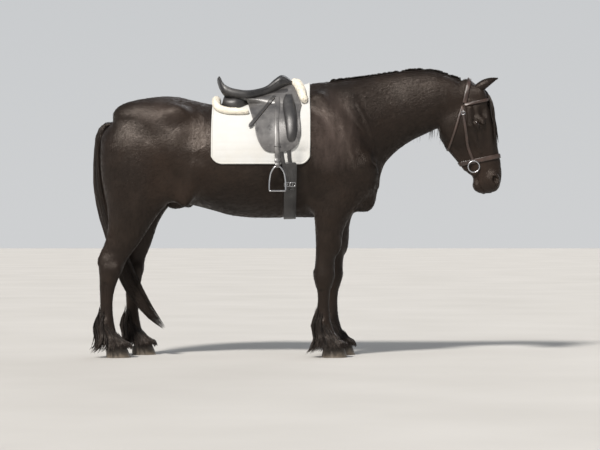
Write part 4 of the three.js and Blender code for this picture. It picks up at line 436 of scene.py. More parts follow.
def body(x, y, z):
    """The whole horse without mane, tail, ears and hooves: negative inside, in millimetres."""
    x, y, z = (np.asarray(v, float) for v in np.broadcast_arrays(x, y, z))
    shape = x.shape
    x, y, z = x.ravel(), y.ravel(), z.ravel()
    m = np.abs(y)
    d = np.full(x.shape, 1e3)

    def part(forms, dents=(), across=m):
        def change(d, k):
            for f in forms:
                d = smooth_min(d, f(x[k], across[k], z[k]), f.blend)
            for f in dents:
                d = smooth_max(d, -f(x[k], across[k], z[k]), f.blend)
            return d

        return change

    def head(_, k):
        d = part(HEAD_FORMS, HEAD_DENTS)(HEAD(x[k], y[k], z[k]), k)
        d = cut_eyes(d, x[k], m[k], z[k])
        return part([], NOSTRIL)(d, k)

    on_some(x > HEAD_REAR, d, head)
    on_some((x > NECK_REAR) & (z > NECK_LOW), d, part([NECK], (), y))
    rear = x < HEAD_REAR
    on_some(rear, d, part([TRUNK], (), y))
    for side, own in ((-1, y < 0), (1, y >= 0)):
        on_some(rear & own, d, part(LEGS[side], (), y))
        on_some(rear & own & (z <= TRUNK_LOW), d, part(LEG_FORMS[side], LEG_DENTS[side], y))
    on_some(rear & (z > TRUNK_LOW), d, part(BODY_FORMS + [SHEATH]))
    on_some((z > TRUNK_LOW) & (x < CHEST_FRONT), d, part([], BODY_DENTS))
    return d.reshape(shape)


def slope(field, p, step=1.0):
    g = np.empty_like(p)
    for c in range(3):
        e = np.zeros(3)
        e[c] = step
        g[:, c] = (field(*(p + e).T) - field(*(p - e).T)) / (2 * step)
    return g


def settle(field, p, limit, level=0.0, turns=3, step=1.0):
    """Moves points along the field's slope until they lie at a distance from the surface."""
    p = np.array(p, float)
    for _ in range(turns):
        d = field(*p.T) - level
        g = slope(field, p, step)
        square = np.maximum((g * g).sum(1), 0.2)
        p -= np.clip((d / square)[:, None] * g, -0.4 * limit, 0.4 * limit)
    return p


def unit(v):
    return v / np.maximum(np.linalg.norm(v, axis=-1, keepdims=True), 1e-9)


def square_to(v, run):
    """Unit directions near v at right angles to run."""
    return unit(v - run * (v * run).sum(-1, keepdims=True))


def normal_at(p, step, field=body):
    """The way out of the body at each point."""
    return unit(slope(field, p.reshape(-1, 3), step)).reshape(p.shape)


class Grid:
    """The field sampled once in a box of cells, near the surface only."""

    def __init__(self, field, low, high, cell):
        self.low, self.cell = np.array(low, float), cell
        block = 4
        n = [int(math.ceil((high[i] - low[i]) / cell / block)) * block for i in range(3)]
        coarse = [np.arange(0, n[i], block) + block / 2 - 0.5 for i in range(3)]
        at = np.stack(np.meshgrid(*coarse, indexing="ij"), -1) * cell + self.low
        far = field(at[..., 0], at[..., 1], at[..., 2])
        values = np.repeat(np.repeat(np.repeat(far, block, 0), block, 1), block, 2)
        near = np.argwhere(np.abs(values) < block * cell * 1.9)
        p = near * cell + self.low
        values[tuple(near.T)] = field(*p.T)
        self.values = values

    def __call__(self, x, y, z):
        f = (np.stack([x, y, z], -1) - self.low) / self.cell
        f = np.clip(f, 0, np.array(self.values.shape) - 1.001)
        i = f.astype(int)
        f = f - i
        total = 0.0
        for a in (0, 1):
            for b in (0, 1):
                for c in (0, 1):
                    w = (f[..., 0] if a else 1 - f[..., 0]) * (f[..., 1] if b else 1 - f[..., 1])
                    w = w * (f[..., 2] if c else 1 - f[..., 2])
                    total = total + w * self.values[i[..., 0] + a, i[..., 1] + b, i[..., 2] + c]
        return total


def surface_net(grid, level):
    """Quads through the cells that the surface crosses."""
    v = grid.values - level
    inside = v < 0
    n = v.shape
    cells = [slice(0, -1), slice(1, None)]
    count = sum(inside[a, b, c].astype(int) for a in cells for b in cells for c in cells)
    mixed = np.argwhere((count > 0) & (count < 8))
    index = np.full(n, -1)
    index[tuple(mixed.T)] = np.arange(len(mixed))
    total, hits = np.zeros((len(mixed), 3)), np.zeros(len(mixed))
    for axis in range(3):
        for e in range(4):
            start = np.zeros(3, int)
            start[(axis + 1) % 3], start[(axis + 2) % 3] = e & 1, e >> 1
            end = start.copy()
            end[axis] = 1
            va, vb = v[tuple((mixed + start).T)], v[tuple((mixed + end).T)]
            cross = (va < 0) != (vb < 0)
            f = np.where(cross, va / np.where(cross, va - vb, 1), 0)
            total += np.where(cross[:, None], start + (end - start) * f[:, None], 0)
            hits += cross
    points = (mixed + total / hits[:, None]) * grid.cell + grid.low
    quads = []
    for axis in range(3):
        ahead = [slice(None)] * 3
        ahead[axis] = slice(1, None)
        here = [slice(None)] * 3
        here[axis] = slice(0, -1)
        cross = np.argwhere(inside[tuple(here)] != inside[tuple(ahead)])
        p, q = (axis + 1) % 3, (axis + 2) % 3
        cross = cross[(cross[:, p] > 0) & (cross[:, q] > 0)]
        corners = []
        for a, b in ((0, 0), (1, 0), (1, 1), (0, 1)):
            c = cross.copy()
            c[:, p] -= a
            c[:, q] -= b
            corners.append(index[tuple(c.T)])
        quad = np.stack(corners, 1)
        flip = ~inside[tuple(cross.T)]
        quad[flip] = quad[flip][:, ::-1]
        quads.append(quad[(quad >= 0).all(1)])
    return points, np.concatenate(quads)


# Making meshes
def read(items, key, width=3, kind=float):
    values = np.empty(len(items) * width, kind)
    items.foreach_get(key, values)
    return values.reshape(-1, width) if width > 1 else values


def give(mesh, name, values, kind="FLOAT"):
    """A value or a vector for each of a mesh's points, for its material."""
    key = "value" if kind == "FLOAT" else "vector"
    mesh.attributes.new(name, kind, "POINT").data.foreach_set(key, np.asarray(values, np.float32).ravel())


def give_bake_layer(mesh, uv):
    """The place on the skin's unwrap for each point."""
    loops = read(mesh.loops, "vertex_index", 1, np.int32)
    mesh.uv_layers.new(name="OFBake").data.foreach_set("uv", uv[loops].astype(np.float32).ravel())


def add_mesh(name, points, quads=(), tris=(), material=None):
    """A mesh object in metres from points in millimetres, riding on the frame's only body."""
    mesh = bpy.data.meshes.new(name)
    points = np.asarray(points, float)
    quads = np.asarray(quads, np.int32).reshape(-1, 4)
    tris = np.asarray(tris, np.int32).reshape(-1, 3)
    mesh.vertices.add(len(points))
    mesh.vertices.foreach_set("co", (points / 1000).astype(np.float32).ravel())
    mesh.loops.add(quads.size + tris.size)
    mesh.loops.foreach_set("vertex_index", np.concatenate([quads.ravel(), tris.ravel()]))
    starts = np.concatenate([np.arange(len(quads)) * 4, quads.size + np.arange(len(tris)) * 3])
    mesh.polygons.add(len(starts))
    mesh.polygons.foreach_set("loop_start", starts.astype(np.int32))
    mesh.update(calc_edges=True)
    mesh.validate()
    mesh.polygons.foreach_set("use_smooth", np.full(len(mesh.polygons), True))
    return add_object(name, mesh, material)


def add_object(name, mesh, material=None):
    made = bpy.data.objects.new(name, mesh)
    bpy.context.scene.collection.objects.link(made)
    if material:
        mesh.materials.append(material)
    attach(made, "root")
    return made


def grid_quads(rows, columns, wrap_rows=False, wrap_columns=False):
    i = np.arange(rows if wrap_rows else rows - 1)[:, None]
    j = np.arange(columns if wrap_columns else columns - 1)[None, :]
    a, b = i * columns + j, i * columns + (j + 1) % columns
    k = (i + 1) % rows
    c, d = k * columns + (j + 1) % columns, k * columns + j
    return np.stack([np.broadcast_to(v, d.shape) for v in (a, b, c, d)], -1).reshape(-1, 4)


def repeated(faces, count, block):
    """The faces of one small form given again for each of its copies, block points apart."""
    faces = np.asarray(faces)
    return (faces[None] + np.arange(count)[:, None, None] * block).reshape(-1, faces.shape[1])


def loft(rings):
    """Points and faces of rings of like count joined into a closed form with fanned ends."""
    rings = np.asarray(rings, float)
    r, n = rings.shape[:2]
    points = np.concatenate([rings.reshape(-1, 3), [rings[0].mean(0)], [rings[-1].mean(0)]])
    quads = grid_quads(r, n, wrap_columns=True)
    i = np.arange(n)
    j = (i + 1) % n
    last = (r - 1) * n
    tris = np.concatenate([
        np.stack([np.full(n, r * n), j, i], 1),
        np.stack([np.full(n, r * n + 1), last + i, last + j], 1),
    ])
    return points, quads, tris


def outward(points, quads, tris):
    """Flips all faces if the closed form is inside out."""
    t = np.concatenate([quads[:, [0, 1, 2]], quads[:, [0, 2, 3]], tris]) if len(quads) else tris
    a, b, c = points[t[:, 0]], points[t[:, 1]], points[t[:, 2]]
    if (np.cross(b, c) * a).sum() < 0:
        return quads[:, ::-1], tris[:, ::-1]
    return quads, tris


def outward_quads(points, quads):
    return outward(points, quads, np.zeros((0, 3), int))[0]


def add_loft(name, rings, material):
    points, quads, tris = loft(rings)
    quads, tris = outward(points, quads, tris)
    return add_mesh(name, points, quads, tris, material)


def shell(inner, outer):
    """A closed plate between two like grids of points."""
    rows, columns = inner.shape[:2]
    n = rows * columns
    points = np.concatenate([inner.reshape(-1, 3), outer.reshape(-1, 3)])
    face = grid_quads(rows, columns)
    border = (
        [(0, j) for j in range(columns - 1)]
        + [(i, columns - 1) for i in range(rows - 1)]
        + [(rows - 1, j) for j in range(columns - 1, 0, -1)]
        + [(i, 0) for i in range(rows - 1, 0, -1)]
    )
    loop = np.array([i * columns + j for i, j in border])
    after = np.roll(loop, -1)
    sides = np.stack([loop, loop + n, after + n, after], 1)
    quads = np.concatenate([face[:, ::-1], face + n, sides[:, ::-1]])
    return points, outward_quads(points, quads)


def add_shell(name, inner, outer, material):
    points, quads = shell(inner, outer)
    return add_mesh(name, points, quads, (), material)


def frames(path, closed=False, up=None):
    """Directions along a path, and across it as far as given or from its own turning."""
    path = np.asarray(path, float)
    if closed:
        run = np.roll(path, -1, 0) - np.roll(path, 1, 0)
    else:
        run = np.gradient(path, axis=0)
    run = unit(run)
    if up is None:
        side = np.zeros_like(path)
        guide = np.array([0.0, 0, 1]) if abs(run[0, 2]) < 0.9 else np.array([0.0, 1, 0])
        for i, r in enumerate(run):
            guide = unit(guide - r * (guide @ r))
            side[i] = guide
        up = side
    up = square_to(up, run)
    return run, np.cross(run, up), up


def along_path(path, n):
    """Directions near n at right angles to an open path, and the way across it."""
    run = unit(np.gradient(path, axis=0))
    n = square_to(n, run)
    return n, np.cross(run, n)


def tube_rings(path, radius, sides=8, closed=False, up=None, flat=1.0):
    _, across, up = frames(path, closed, up)
    a = np.linspace(0, 2 * np.pi, sides, endpoint=False)
    radius = np.broadcast_to(np.asarray(radius, float), (len(path),))[:, None, None]
    ring = np.cos(a)[None, :, None] * across[:, None] + flat * np.sin(a)[None, :, None] * up[:, None]
    return np.asarray(path, float)[:, None] + radius * ring


def add_tube(name, path, radius, material, sides=8, closed=False, up=None, flat=1.0):
    rings = tube_rings(path, radius, sides, closed, up, flat)
    if not closed:
        return add_loft(name, rings, material)
    points = rings.reshape(-1, 3)
    quads = grid_quads(len(path), sides, wrap_rows=True, wrap_columns=True)
    return add_mesh(name, points, outward_quads(points, quads), (), material)


def resample(path, count, closed=False):
    path = np.asarray(path, float)
    if closed:
        path = np.concatenate([path, path[:1]])
    length = np.concatenate([[0], np.cumsum(np.linalg.norm(np.diff(path, axis=0), axis=1))])
    at = np.linspace(0, length[-1], count, endpoint=not closed)
    return np.stack([np.interp(at, length, path[:, c]) for c in range(3)], 1)


def joined(name, objects):
    """Joins objects of one material into the first one."""
    first = objects[0]
    bm = bmesh.new()
    for o in objects:
        bm.from_mesh(o.data)
    bm.to_mesh(first.data)
    bm.free()
    for o in objects[1:]:
        bpy.data.objects.remove(o)
    first.name = first.data.name = name
    return first


def add_modifier(o, kind, **values):
    m = o.modifiers.new(kind.title(), kind)
    for key, value in values.items():
        setattr(m, key, value)
    return m


def crisp(o, width, segments):
    """Rounds the sharp edges of a leather piece."""
    sharp = {"limit_method": "ANGLE", "angle_limit": math.radians(50)}
    add_modifier(o, "BEVEL", width=width / 1000, segments=segments, **sharp)
    return o


def mirrored(made, name):
    """A copy on the horse's other side."""
    mesh = made.data.copy()
    co = read(mesh.vertices, "co", 3, np.float32)
    co[:, 1] *= -1
    mesh.vertices.foreach_set("co", co.ravel())
    mesh.flip_normals()
    mesh.name = name
    twin = bpy.data.objects.new(name, mesh)
    bpy.context.scene.collection.objects.link(twin)
    for m in made.modifiers:
        copy = twin.modifiers.new(m.name, m.type)
        for key in ("width", "segments", "limit_method", "angle_limit", "levels", "render_levels"):
            if hasattr(m, key):
                setattr(copy, key, getattr(m, key))
    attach(twin, "root")
    return twin


def pair(made, name, slot, *nodes):
    """Names a left piece, makes its right twin, and lets both stand for the given nodes."""
    made.name = made.data.name = "left_" + name
    twin = mirrored(made, "right_" + name)
    for side, o in (("left", made), ("right", twin)):
        for n in nodes:
            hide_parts(f"{side}_{n}")
    return made, twin


# Placing on the body
def bisect(point, level, far):
    """How far out along a family of rays the field reaches a level."""
    inside = np.zeros_like(level)
    outside = np.full_like(level, far)
    for _ in range(20):
        r = (inside + outside) / 2
        below = body(*point(r)) < level
        inside, outside = np.where(below, r, inside), np.where(below, outside, r)
    return inside


def from_side(x, z, level=0.0):
    x, z, level = (np.array(v, float) for v in np.broadcast_arrays(x, z, level))
    return bisect(lambda y: (x, y, z), level, 480.0)


def from_centre(x, centre_z, angle, level=0.0):
    x, angle, level = (np.array(v, float) for v in np.broadcast_arrays(x, angle, level))
    s, c = np.sin(np.radians(angle)), np.cos(np.radians(angle))
    r = bisect(lambda r: (x, r * s, centre_z + r * c), level, 900.0)
    return np.stack([x, r * s, centre_z + r * c], -1)


def lifted(points, by):
    """Points moved off the body along the field's slope."""
    shape = points.shape
    flat = points.reshape(-1, 3)
    by = np.broadcast_to(by, shape[:-1]).reshape(-1, 1)
    return (flat + normal_at(flat, 4.0) * by).reshape(shape)


# Materials
class Nodes:
    """Short ways to build a tree of shader nodes."""

    def __init__(self, tree):
        self.tree = tree

    def new(self, kind, values=None, **settings):
        node = self.tree.nodes.new("ShaderNode" + kind)
        for key, value in settings.items():
            setattr(node, key, value)
        self.put(node, values or {})
        return node

    def put(self, node, values):
        """Links sockets to outputs, or gives them plain values."""
        for key, value in values.items():
            socket = node.inputs[key]
            if isinstance(value, bpy.types.NodeSocket):
                self.tree.links.new(value, socket)
            elif socket.type == "RGBA":
                socket.default_value = (*value, 1)
            else:
                socket.default_value = value

    def place(self, scale=(1, 1, 1)):
        coords = self.new("TexCoord").outputs["Object"]
        return self.new("Mapping", {"Vector": coords, "Scale": scale}).outputs["Vector"]

    def parts(self, vector):
        return self.new("SeparateXYZ", {0: vector}).outputs

    def attribute(self, name, output="Fac"):
        return self.new("Attribute", attribute_name=name).outputs[output]

    def noise(self, vector, scale, detail=3.0, rough=0.5):
        values = {"Vector": vector, "Scale": scale, "Detail": detail, "Roughness": rough}
        return self.new("TexNoise", values).outputs["Fac"]

    def ramp(self, value, *stops):
        node = self.new("ValToRGB", {"Fac": value})
        elements = node.color_ramp.elements
        while len(elements) < len(stops):
            elements.new(0.5)
        for item, (at, color) in zip(elements, stops):
            item.position, item.color = at, (*color, 1)
        return node.outputs["Color"]

    def rising(self, value, low, high, top=1.0, bottom=0.0):
        return self.ramp(value, (low, (bottom,) * 3), (high, (top,) * 3))

    def between(self, value, low, high, at_low, at_high):
        """A straight change from one value to another, held beyond both ends."""
        ends = {"From Min": low, "From Max": high, "To Min": at_low, "To Max": at_high}
        return self.new("MapRange", {"Value": value, **ends}).outputs[0]

    def math(self, kind, a, b=None):
        return self.new("Math", {0: a} if b is None else {0: a, 1: b}, operation=kind).outputs[0]

    def square(self, a):
        return self.math("MULTIPLY", a, a)

    def scaled_sum(self, a, b, share):
        return self.math("ADD", a, self.math("MULTIPLY", b, share))

    def blend(self, factor, a, b):
        node = self.new("Mix", data_type="RGBA")
        self.put(node, {"Factor": factor, "A": a, "B": b})
        return node.outputs["Result"]

    def bump(self, shader, height, distance, strength):
        values = {"Height": height, "Distance": distance, "Strength": strength}
        self.put(shader, {"Normal": self.new("Bump", values).outputs["Normal"]})


def new_material(name):
    m = bpy.data.materials.new(name)
    m.use_nodes = True
    return m, Nodes(m.node_tree), m.node_tree.nodes["Principled BSDF"]


COAT_DARK, COAT_MIDDLE = (0.0072, 0.0052, 0.0042), (0.0125, 0.0085, 0.0065)
COAT_BROWN = (0.024, 0.0145, 0.0098)
# Dust, and the lighter coat of the shoulder and the croup, which is partly dry hair and partly a painted
# highlight
COAT_DUST, COAT_DRY_HAIR_AND_HIGHLIGHT = (0.05, 0.036, 0.028), (0.072, 0.054, 0.047)
WARM_SHINE, DUSTY_SHEEN = (1.0, 0.88, 0.8), (0.75, 0.62, 0.52)
# The lighter hair of the shoulder and the croup, partly dry hair and partly a painted highlight of the sun:
# place, reach and share by x and z in metres
DRY_HAIR_AND_HIGHLIGHT_PLACES = (((0.2, 1.31), (0.17, 0.27), 1.0), ((-0.78, 1.42), (0.2, 0.14), 0.35))
# How much of a place's run along the hair is taken out, which draws noise out into streaks
STREAK = 0.88


def dry_hair_and_highlight_place(t, place, middle, reach, share):
    """A soft oval seen from the side, broken up by streaks: where dry hair and a painted highlight lighten
    the coat.
    """
    parts = t.parts(place)
    total = 0.0
    for axis, at, size in zip("XZ", middle, reach):
        off = t.math("DIVIDE", t.math("SUBTRACT", parts[axis], at), size)
        total = t.math("ADD", t.square(off), total)
    broken = t.noise(t.place((26, 9, 8)), 1.0, 4.0, 0.62)
    edge = t.math("ADD", t.math("MULTIPLY", total, 0.5), t.math("MULTIPLY", broken, 0.75))
    return t.ramp(edge, (0.28, (share,) * 3), (0.5, (0.5 * share,) * 3), (0.85, (0.0,) * 3))


def coat_material(name, tufts=False, scale=1.0, roughness=0.34):
    """Short black hair with brown lights: fine streaks along the coat and slow changes of tone."""
    m, t, shader = new_material(name)
    place = t.place()
    slow = t.noise(place, 2.6, 4.0, 0.55)
    color = t.ramp(slow, (0.32, COAT_DARK), (0.52, COAT_MIDDLE), (0.78, COAT_BROWN))
    color = t.blend(t.rising(t.noise(place, 9.0, 3.0, 0.6), 0.52, 0.8, 0.22), color, COAT_DUST)
    # the shoulder and the croup made lighter, partly for dry hair and partly as a painted highlight
    for middle, reach, share in DRY_HAIR_AND_HIGHLIGHT_PLACES:
        color = t.blend(dry_hair_and_highlight_place(t, place, middle, reach, share), color, COAT_DRY_HAIR_AND_HIGHLIGHT)
    if tufts:
        color = t.blend(t.rising(t.attribute("tone"), 0.55, 1.0, 0.3), color, COAT_BROWN)
        rough = roughness
    else:
        lie = t.attribute("lie", "Vector")
        dot = t.new("VectorMath", {0: place, 1: lie}, operation="DOT_PRODUCT").outputs["Value"]
        run = t.new("VectorMath", {0: lie, "Scale": t.math("MULTIPLY", dot, STREAK)}, operation="SCALE")
        pressed = t.new("VectorMath", {0: place, 1: run.outputs["Vector"]}, operation="SUBTRACT")
        hairs = t.noise(pressed.outputs["Vector"], 420.0 * scale, 2.0, 0.6)
        broad = t.noise(pressed.outputs["Vector"], 90.0 * scale, 2.0, 0.5)
        t.bump(shader, t.scaled_sum(hairs, broad, 1.2), 0.0016, 0.55)
        color = t.blend(t.rising(hairs, 0.45, 0.75, 0.35), color, COAT_BROWN)
        rough = t.rising(broad, 0.3, 0.7, roughness + 0.1, roughness - 0.06)
    t.put(shader, {
        "Base Color": color,
        "Roughness": rough,
        "Specular IOR Level": 0.28,
        "Specular Tint": WARM_SHINE,
        "Sheen Weight": 0.03,
        "Sheen Roughness": 0.45,
        "Sheen Tint": DUSTY_SHEEN,
    })
    return m


def hair_material(name):
    m, t, shader = new_material(name)
    strand = (0.0, (0.0065, 0.0055, 0.005)), (0.6, (0.013, 0.010, 0.0085)), (1.0, (0.03, 0.021, 0.016))
    color = t.ramp(t.attribute("tone"), *strand)
    color = t.blend(t.rising(t.attribute("tip"), 0.55, 1.0, 0.45), color, (0.035, 0.024, 0.018))
    t.put(shader, {
        "Base Color": color,
        "Roughness": 0.4,
        "Specular IOR Level": 0.4,
        "Specular Tint": WARM_SHINE,
        "Sheen Weight": 0.03,
    })
    return m


def horn_material():
    """Grey horn with fine rings, soiled toward the ground."""
    m, t, shader = new_material("horn")
    place = t.place()
    rings = t.noise(t.place((6, 6, 130)), 2.0, 3.0)
    color = t.ramp(rings, (0.3, (0.022, 0.018, 0.016)), (0.7, (0.06, 0.05, 0.043)))
    low = t.between(t.parts(place)["Z"], 0.0, 0.055, 0.75, 0.0)
    grime = t.math("MULTIPLY", low, t.noise(place, 30.0, 5.0, 0.65))
    t.put(shader, {"Base Color": t.blend(grime, color, (0.3, 0.24, 0.17)), "Roughness": 0.55})
    fibres = t.noise(t.place((260, 260, 10)), 1.0, 2.0)
    t.bump(shader, t.scaled_sum(rings, fibres, 0.5), 0.0016, 0.7)
    return m


def eye_material():
    """A dark iris of fine fibres round a level, oval pupil."""
    m, t, shader = new_material("eye")
    place = t.attribute("eye_place", "Vector")
    x, y = (t.parts(place)[axis] for axis in "XY")
    narrow = t.math("DIVIDE", x, 1.9)
    pupil = t.math("SQRT", t.math("ADD", t.square(narrow), t.square(y)))
    whole = t.math("SQRT", t.math("ADD", t.square(x), t.square(y)))
    iris = t.ramp(t.noise(place, 22.0, 4.0), (0.35, (0.006, 0.0028, 0.0016)), (0.7, (0.026, 0.012, 0.0055)))
    color = t.blend(t.rising(pupil, 0.14, 0.18, 0.0, 1.0), iris, (0.002, 0.002, 0.0025))
    color = t.blend(t.rising(whole, 0.62, 0.72), color, (0.03, 0.02, 0.017))
    t.put(shader, {
        "Base Color": color,
        "Roughness": 0.06,
        "Specular IOR Level": 0.3,
        "Coat Weight": 0.35,
        "Coat Roughness": 0.02,
    })
    return m


def leather_material(name, dark, light, grain, roughness, wear, shine=0.8):
    m, t, shader = new_material(name)
    place = t.place()
    slow = t.noise(place, 14.0, 5.0, 0.6)
    color = t.ramp(slow, (0.35, dark), (0.7, light))
    cells = t.new("TexVoronoi", {"Scale": grain, "Vector": place}).outputs["Distance"]
    crease = t.noise(place, 160.0, 4.0, 0.65)
    t.bump(shader, t.math("ADD", t.math("MULTIPLY", cells, 0.7), crease), 0.0005, 0.4)
    scuff = t.rising(t.noise(place, 38.0, 6.0, 0.7), 0.56, 0.78, wear)
    worn = tuple(min(1.0, 3.2 * c + 0.015) for c in light)
    t.put(shader, {
        "Base Color": t.blend(scuff, color, worn),
        "Roughness": t.rising(slow, 0.3, 0.75, roughness + 0.14, roughness - 0.08),
        "Specular IOR Level": shine,
    })
    return m


def cloth_material(name, clean, soiled, thread=1100.0):
    """Woven cotton, soiled more toward its lower edge."""
    m, t, shader = new_material(name)
    place = t.place()
    low = t.between(t.parts(place)["Z"], 1.1, 1.42, 1.0, 0.35)
    dirt = t.math("MULTIPLY", t.rising(t.noise(place, 7.0, 5.0, 0.6), 0.42, 0.85, 0.5), low)
    waves = []
    for axis in "XZ":
        values = {"Scale": thread / 20, "Distortion": 0.6, "Vector": place}
        waves.append(t.new("TexWave", values, bands_direction=axis).outputs["Fac"])
    t.bump(shader, t.math("ADD", t.math("MULTIPLY", *waves), t.noise(place, 700.0, 2.0)), 0.0005, 0.5)
    t.put(shader, {
        "Base Color": t.blend(dirt, clean, soiled),
        "Roughness": 0.9,
        "Sheen Weight": 0.25,
        "Sheen Roughness": 0.6,
        "Specular IOR Level": 0.2,
    })
    return m


def fleece_material():
    m, t, shader = new_material("fleece")
    place = t.place()
    curls = t.noise(place, 190.0, 4.0, 0.65)
    color = t.ramp(curls, (0.2, (0.74, 0.67, 0.53)), (0.55, (0.86, 0.81, 0.7)))
    color = t.blend(t.rising(t.noise(place, 12.0, 3.0), 0.45, 0.8, 0.4), color, (0.74, 0.66, 0.51))
    t.bump(shader, curls, 0.004, 0.8)
    t.put(shader, {"Base Color": color, "Roughness": 0.95, "Sheen Weight": 0.4, "Specular IOR Level": 0.15})
    return m


def steel_material():
    m, t, shader = new_material("steel")
    smear = t.noise(t.place(), 60.0, 4.0, 0.6)
    t.put(shader, {
        "Base Color": t.ramp(smear, (0.3, (0.62, 0.62, 0.63)), (0.7, (0.5, 0.5, 0.52))),
        "Roughness": t.rising(smear, 0.3, 0.75, 0.34, 0.16),
        "Metallic": 1.0,
    })
    t.bump(shader, t.noise(t.place((900, 60, 900)), 1.0, 2.0), 0.0002, 0.3)
    return m


def grained_material(name, dark, light, scale, detail, depth, roughness):
    """Rubber or thread: one fine grain gives both its tone and its relief."""
    m, t, shader = new_material(name)
    grain = t.noise(t.place(), scale, detail)
    t.put(shader, {"Base Color": t.ramp(grain, (0.3, dark), (0.7, light)), "Roughness": roughness})
    t.bump(shader, grain, depth, 0.5)
    return m


def thread_material(name, color):
    darker = tuple(0.6 * c for c in color)
    return grained_material(name, darker, color, 2400.0, 2.0, 0.0003, 0.7)


COAT = coat_material("coat")
COAT_EAR = coat_material("coat_ear", scale=1.6)
LID_SKIN = coat_material("lid_skin", scale=2.0, roughness=0.4)
COAT_TUFT = coat_material("coat_tuft", tufts=True)
HAIR = hair_material("long_hair")
HORN = horn_material()
EYE = eye_material()
SADDLE = leather_material("saddle_leather", (0.012, 0.011, 0.011), (0.03, 0.0275, 0.027), 800.0, 0.42, 0.35)
# The flap's leather is the black saddle leather made lighter and grey: a painted highlight of the sun's
# reflection on the flap and on the stirrup leather's outer face
PAINTED_HIGHLIGHT_LEATHER = leather_material("flap_leather_painted_highlight", (0.05, 0.047, 0.046), (0.115, 0.109, 0.105), 800.0, 0.34, 0.3, 1.0)
BRIDLE = leather_material("bridle_leather", (0.02, 0.0095, 0.006), (0.05, 0.024, 0.015), 1100.0, 0.36, 0.25)
QUILT = cloth_material("quilt", (0.6, 0.6, 0.585), (0.5, 0.45, 0.36))
BINDING = cloth_material("binding", (0.6, 0.6, 0.58), (0.5, 0.45, 0.36), 1600.0)
FLEECE = fleece_material()
STEEL = steel_material()
RUBBER = grained_material("rubber", (0.012,) * 3, (0.03,) * 3, 500.0, 3.0, 0.0005, 0.75)
THREAD_DARK = thread_material("thread_dark", (0.05, 0.045, 0.04))
THREAD_PALE = thread_material("thread_pale", (0.42, 0.36, 0.27))


# The skin
MOUTH = Profile([[504, -42], [530, -47], [558, -47], [585, -38], [608, -22], [640, -6]], 40)
# Furrows and veins, both sides at once: points, width and depth, a vein's depth being negative
CREASES = [
    ([from_head(176, 70, 46), from_head(196, 86, 34), from_head(222, 86, 34)], 3.0, 1.6),
    ([from_head(238, 86, 6), from_head(262, 80, -4), from_head(300, 74, -6)], 5.0, 1.2),
    ([from_head(236, 90, -22), from_head(290, 74, -44), from_head(352, 62, -66)], 4.0, -1.5),
    ([from_head(300, 76, -40), from_head(322, 70, -4), from_head(372, 60, 22)], 3.5, -1.3),
    ([from_head(500, 56, -30), from_head(516, 56, -20), from_head(534, 54, -18)], 3.5, 1.3),
    ([from_head(505, 52, -54), from_head(522, 50, -66), from_head(540, 44, -72)], 4.0, 1.3),
    ([from_head(560, 50, -20), from_head(580, 46, -6), from_head(596, 40, 10)], 4.0, 1.0),
]


# Raised folds of skin on the shoulder and flank, seen from the side: points, width and height
FOLDS = [
    ([(262, 1330), (280, 1290), (312, 1200), (340, 1090)], 11.0, 3.6),
    ([(300, 1440), (330, 1395), (388, 1312)], 9.0, 3.0),
    ([(352, 1478), (405, 1362), (430, 1286)], 10.0, 3.2),
    ([(-566, 1424), (-540, 1390), (-552, 1300), (-580, 1180), (-622, 1050)], 13.0, 3.4),
    ([(236, 700), (262, 640), (268, 560)], 9.0, 2.4),
    ([(-900, 640), (-876, 560), (-880, 500)], 9.0, 2.6),
]


def near_line(x, y, z, line):
    best = np.full(x.shape, 1e6)
    for a, b in zip(line[:-1], line[1:]):
        best = np.minimum(best, Ridge(a, b, 0, 0)(x, y, z))
    return best


def skin_field(x, y, z):
    """The body with the folds, veins and mouth that only the skin has."""
    d = body(x, y, z)
    m = np.abs(y)
    head = (x > 860) & (z < 1560)
    if head.any():
        hx, hm, hz = x[head], m[head], z[head]
        u, v = to_head(hx, hz)
        fade = smoothstep(500, 514, u)
        add = 5.5 * fade * np.exp(-(((v - MOUTH(u, 0)) / 2.6) ** 2))
        for line, width, depth in CREASES:
            add = add + depth * np.exp(-((near_line(hx, hm, hz, line) / width) ** 2))
        d[head] = d[head] + add
    for line, width, height in FOLDS:
        xs, zs = [q[0] for q in line], [q[1] for q in line]
        reach = 3 * width
        k = (x > min(xs) - reach) & (x < max(xs) + reach) & (z > min(zs) - reach) & (z < max(zs) + reach)
        if not k.any():
            continue
        flat = 0 * x[k]
        away = near_line(x[k], flat, z[k], [(a, 0, b) for a, b in line])
        out = smoothstep(90, 130, m[k])
        d[k] = d[k] - height * out * np.exp(-((away / width) ** 2))
    return d


def head_focus(p):
    """How finely the skin is parted at each point: 0 body, 1 head, 2 eye, nostril and mouth."""
    x, y, z = p.T
    u, v = to_head(x, z)
    level = ((x > 880) & (u > -40)).astype(int)
    eye = np.sqrt((x - EYE_CENTRE[0]) ** 2 + (np.abs(y) - EYE_CENTRE[1]) ** 2 + (z - EYE_CENTRE[2]) ** 2)
    nose = np.hypot(u - 550, v - 46) < 44
    lips = (u > 492) & (np.abs(v - MOUTH(u, 0)) < 13)
    return level + ((level > 0) & ((eye < 52) | nose | lips))


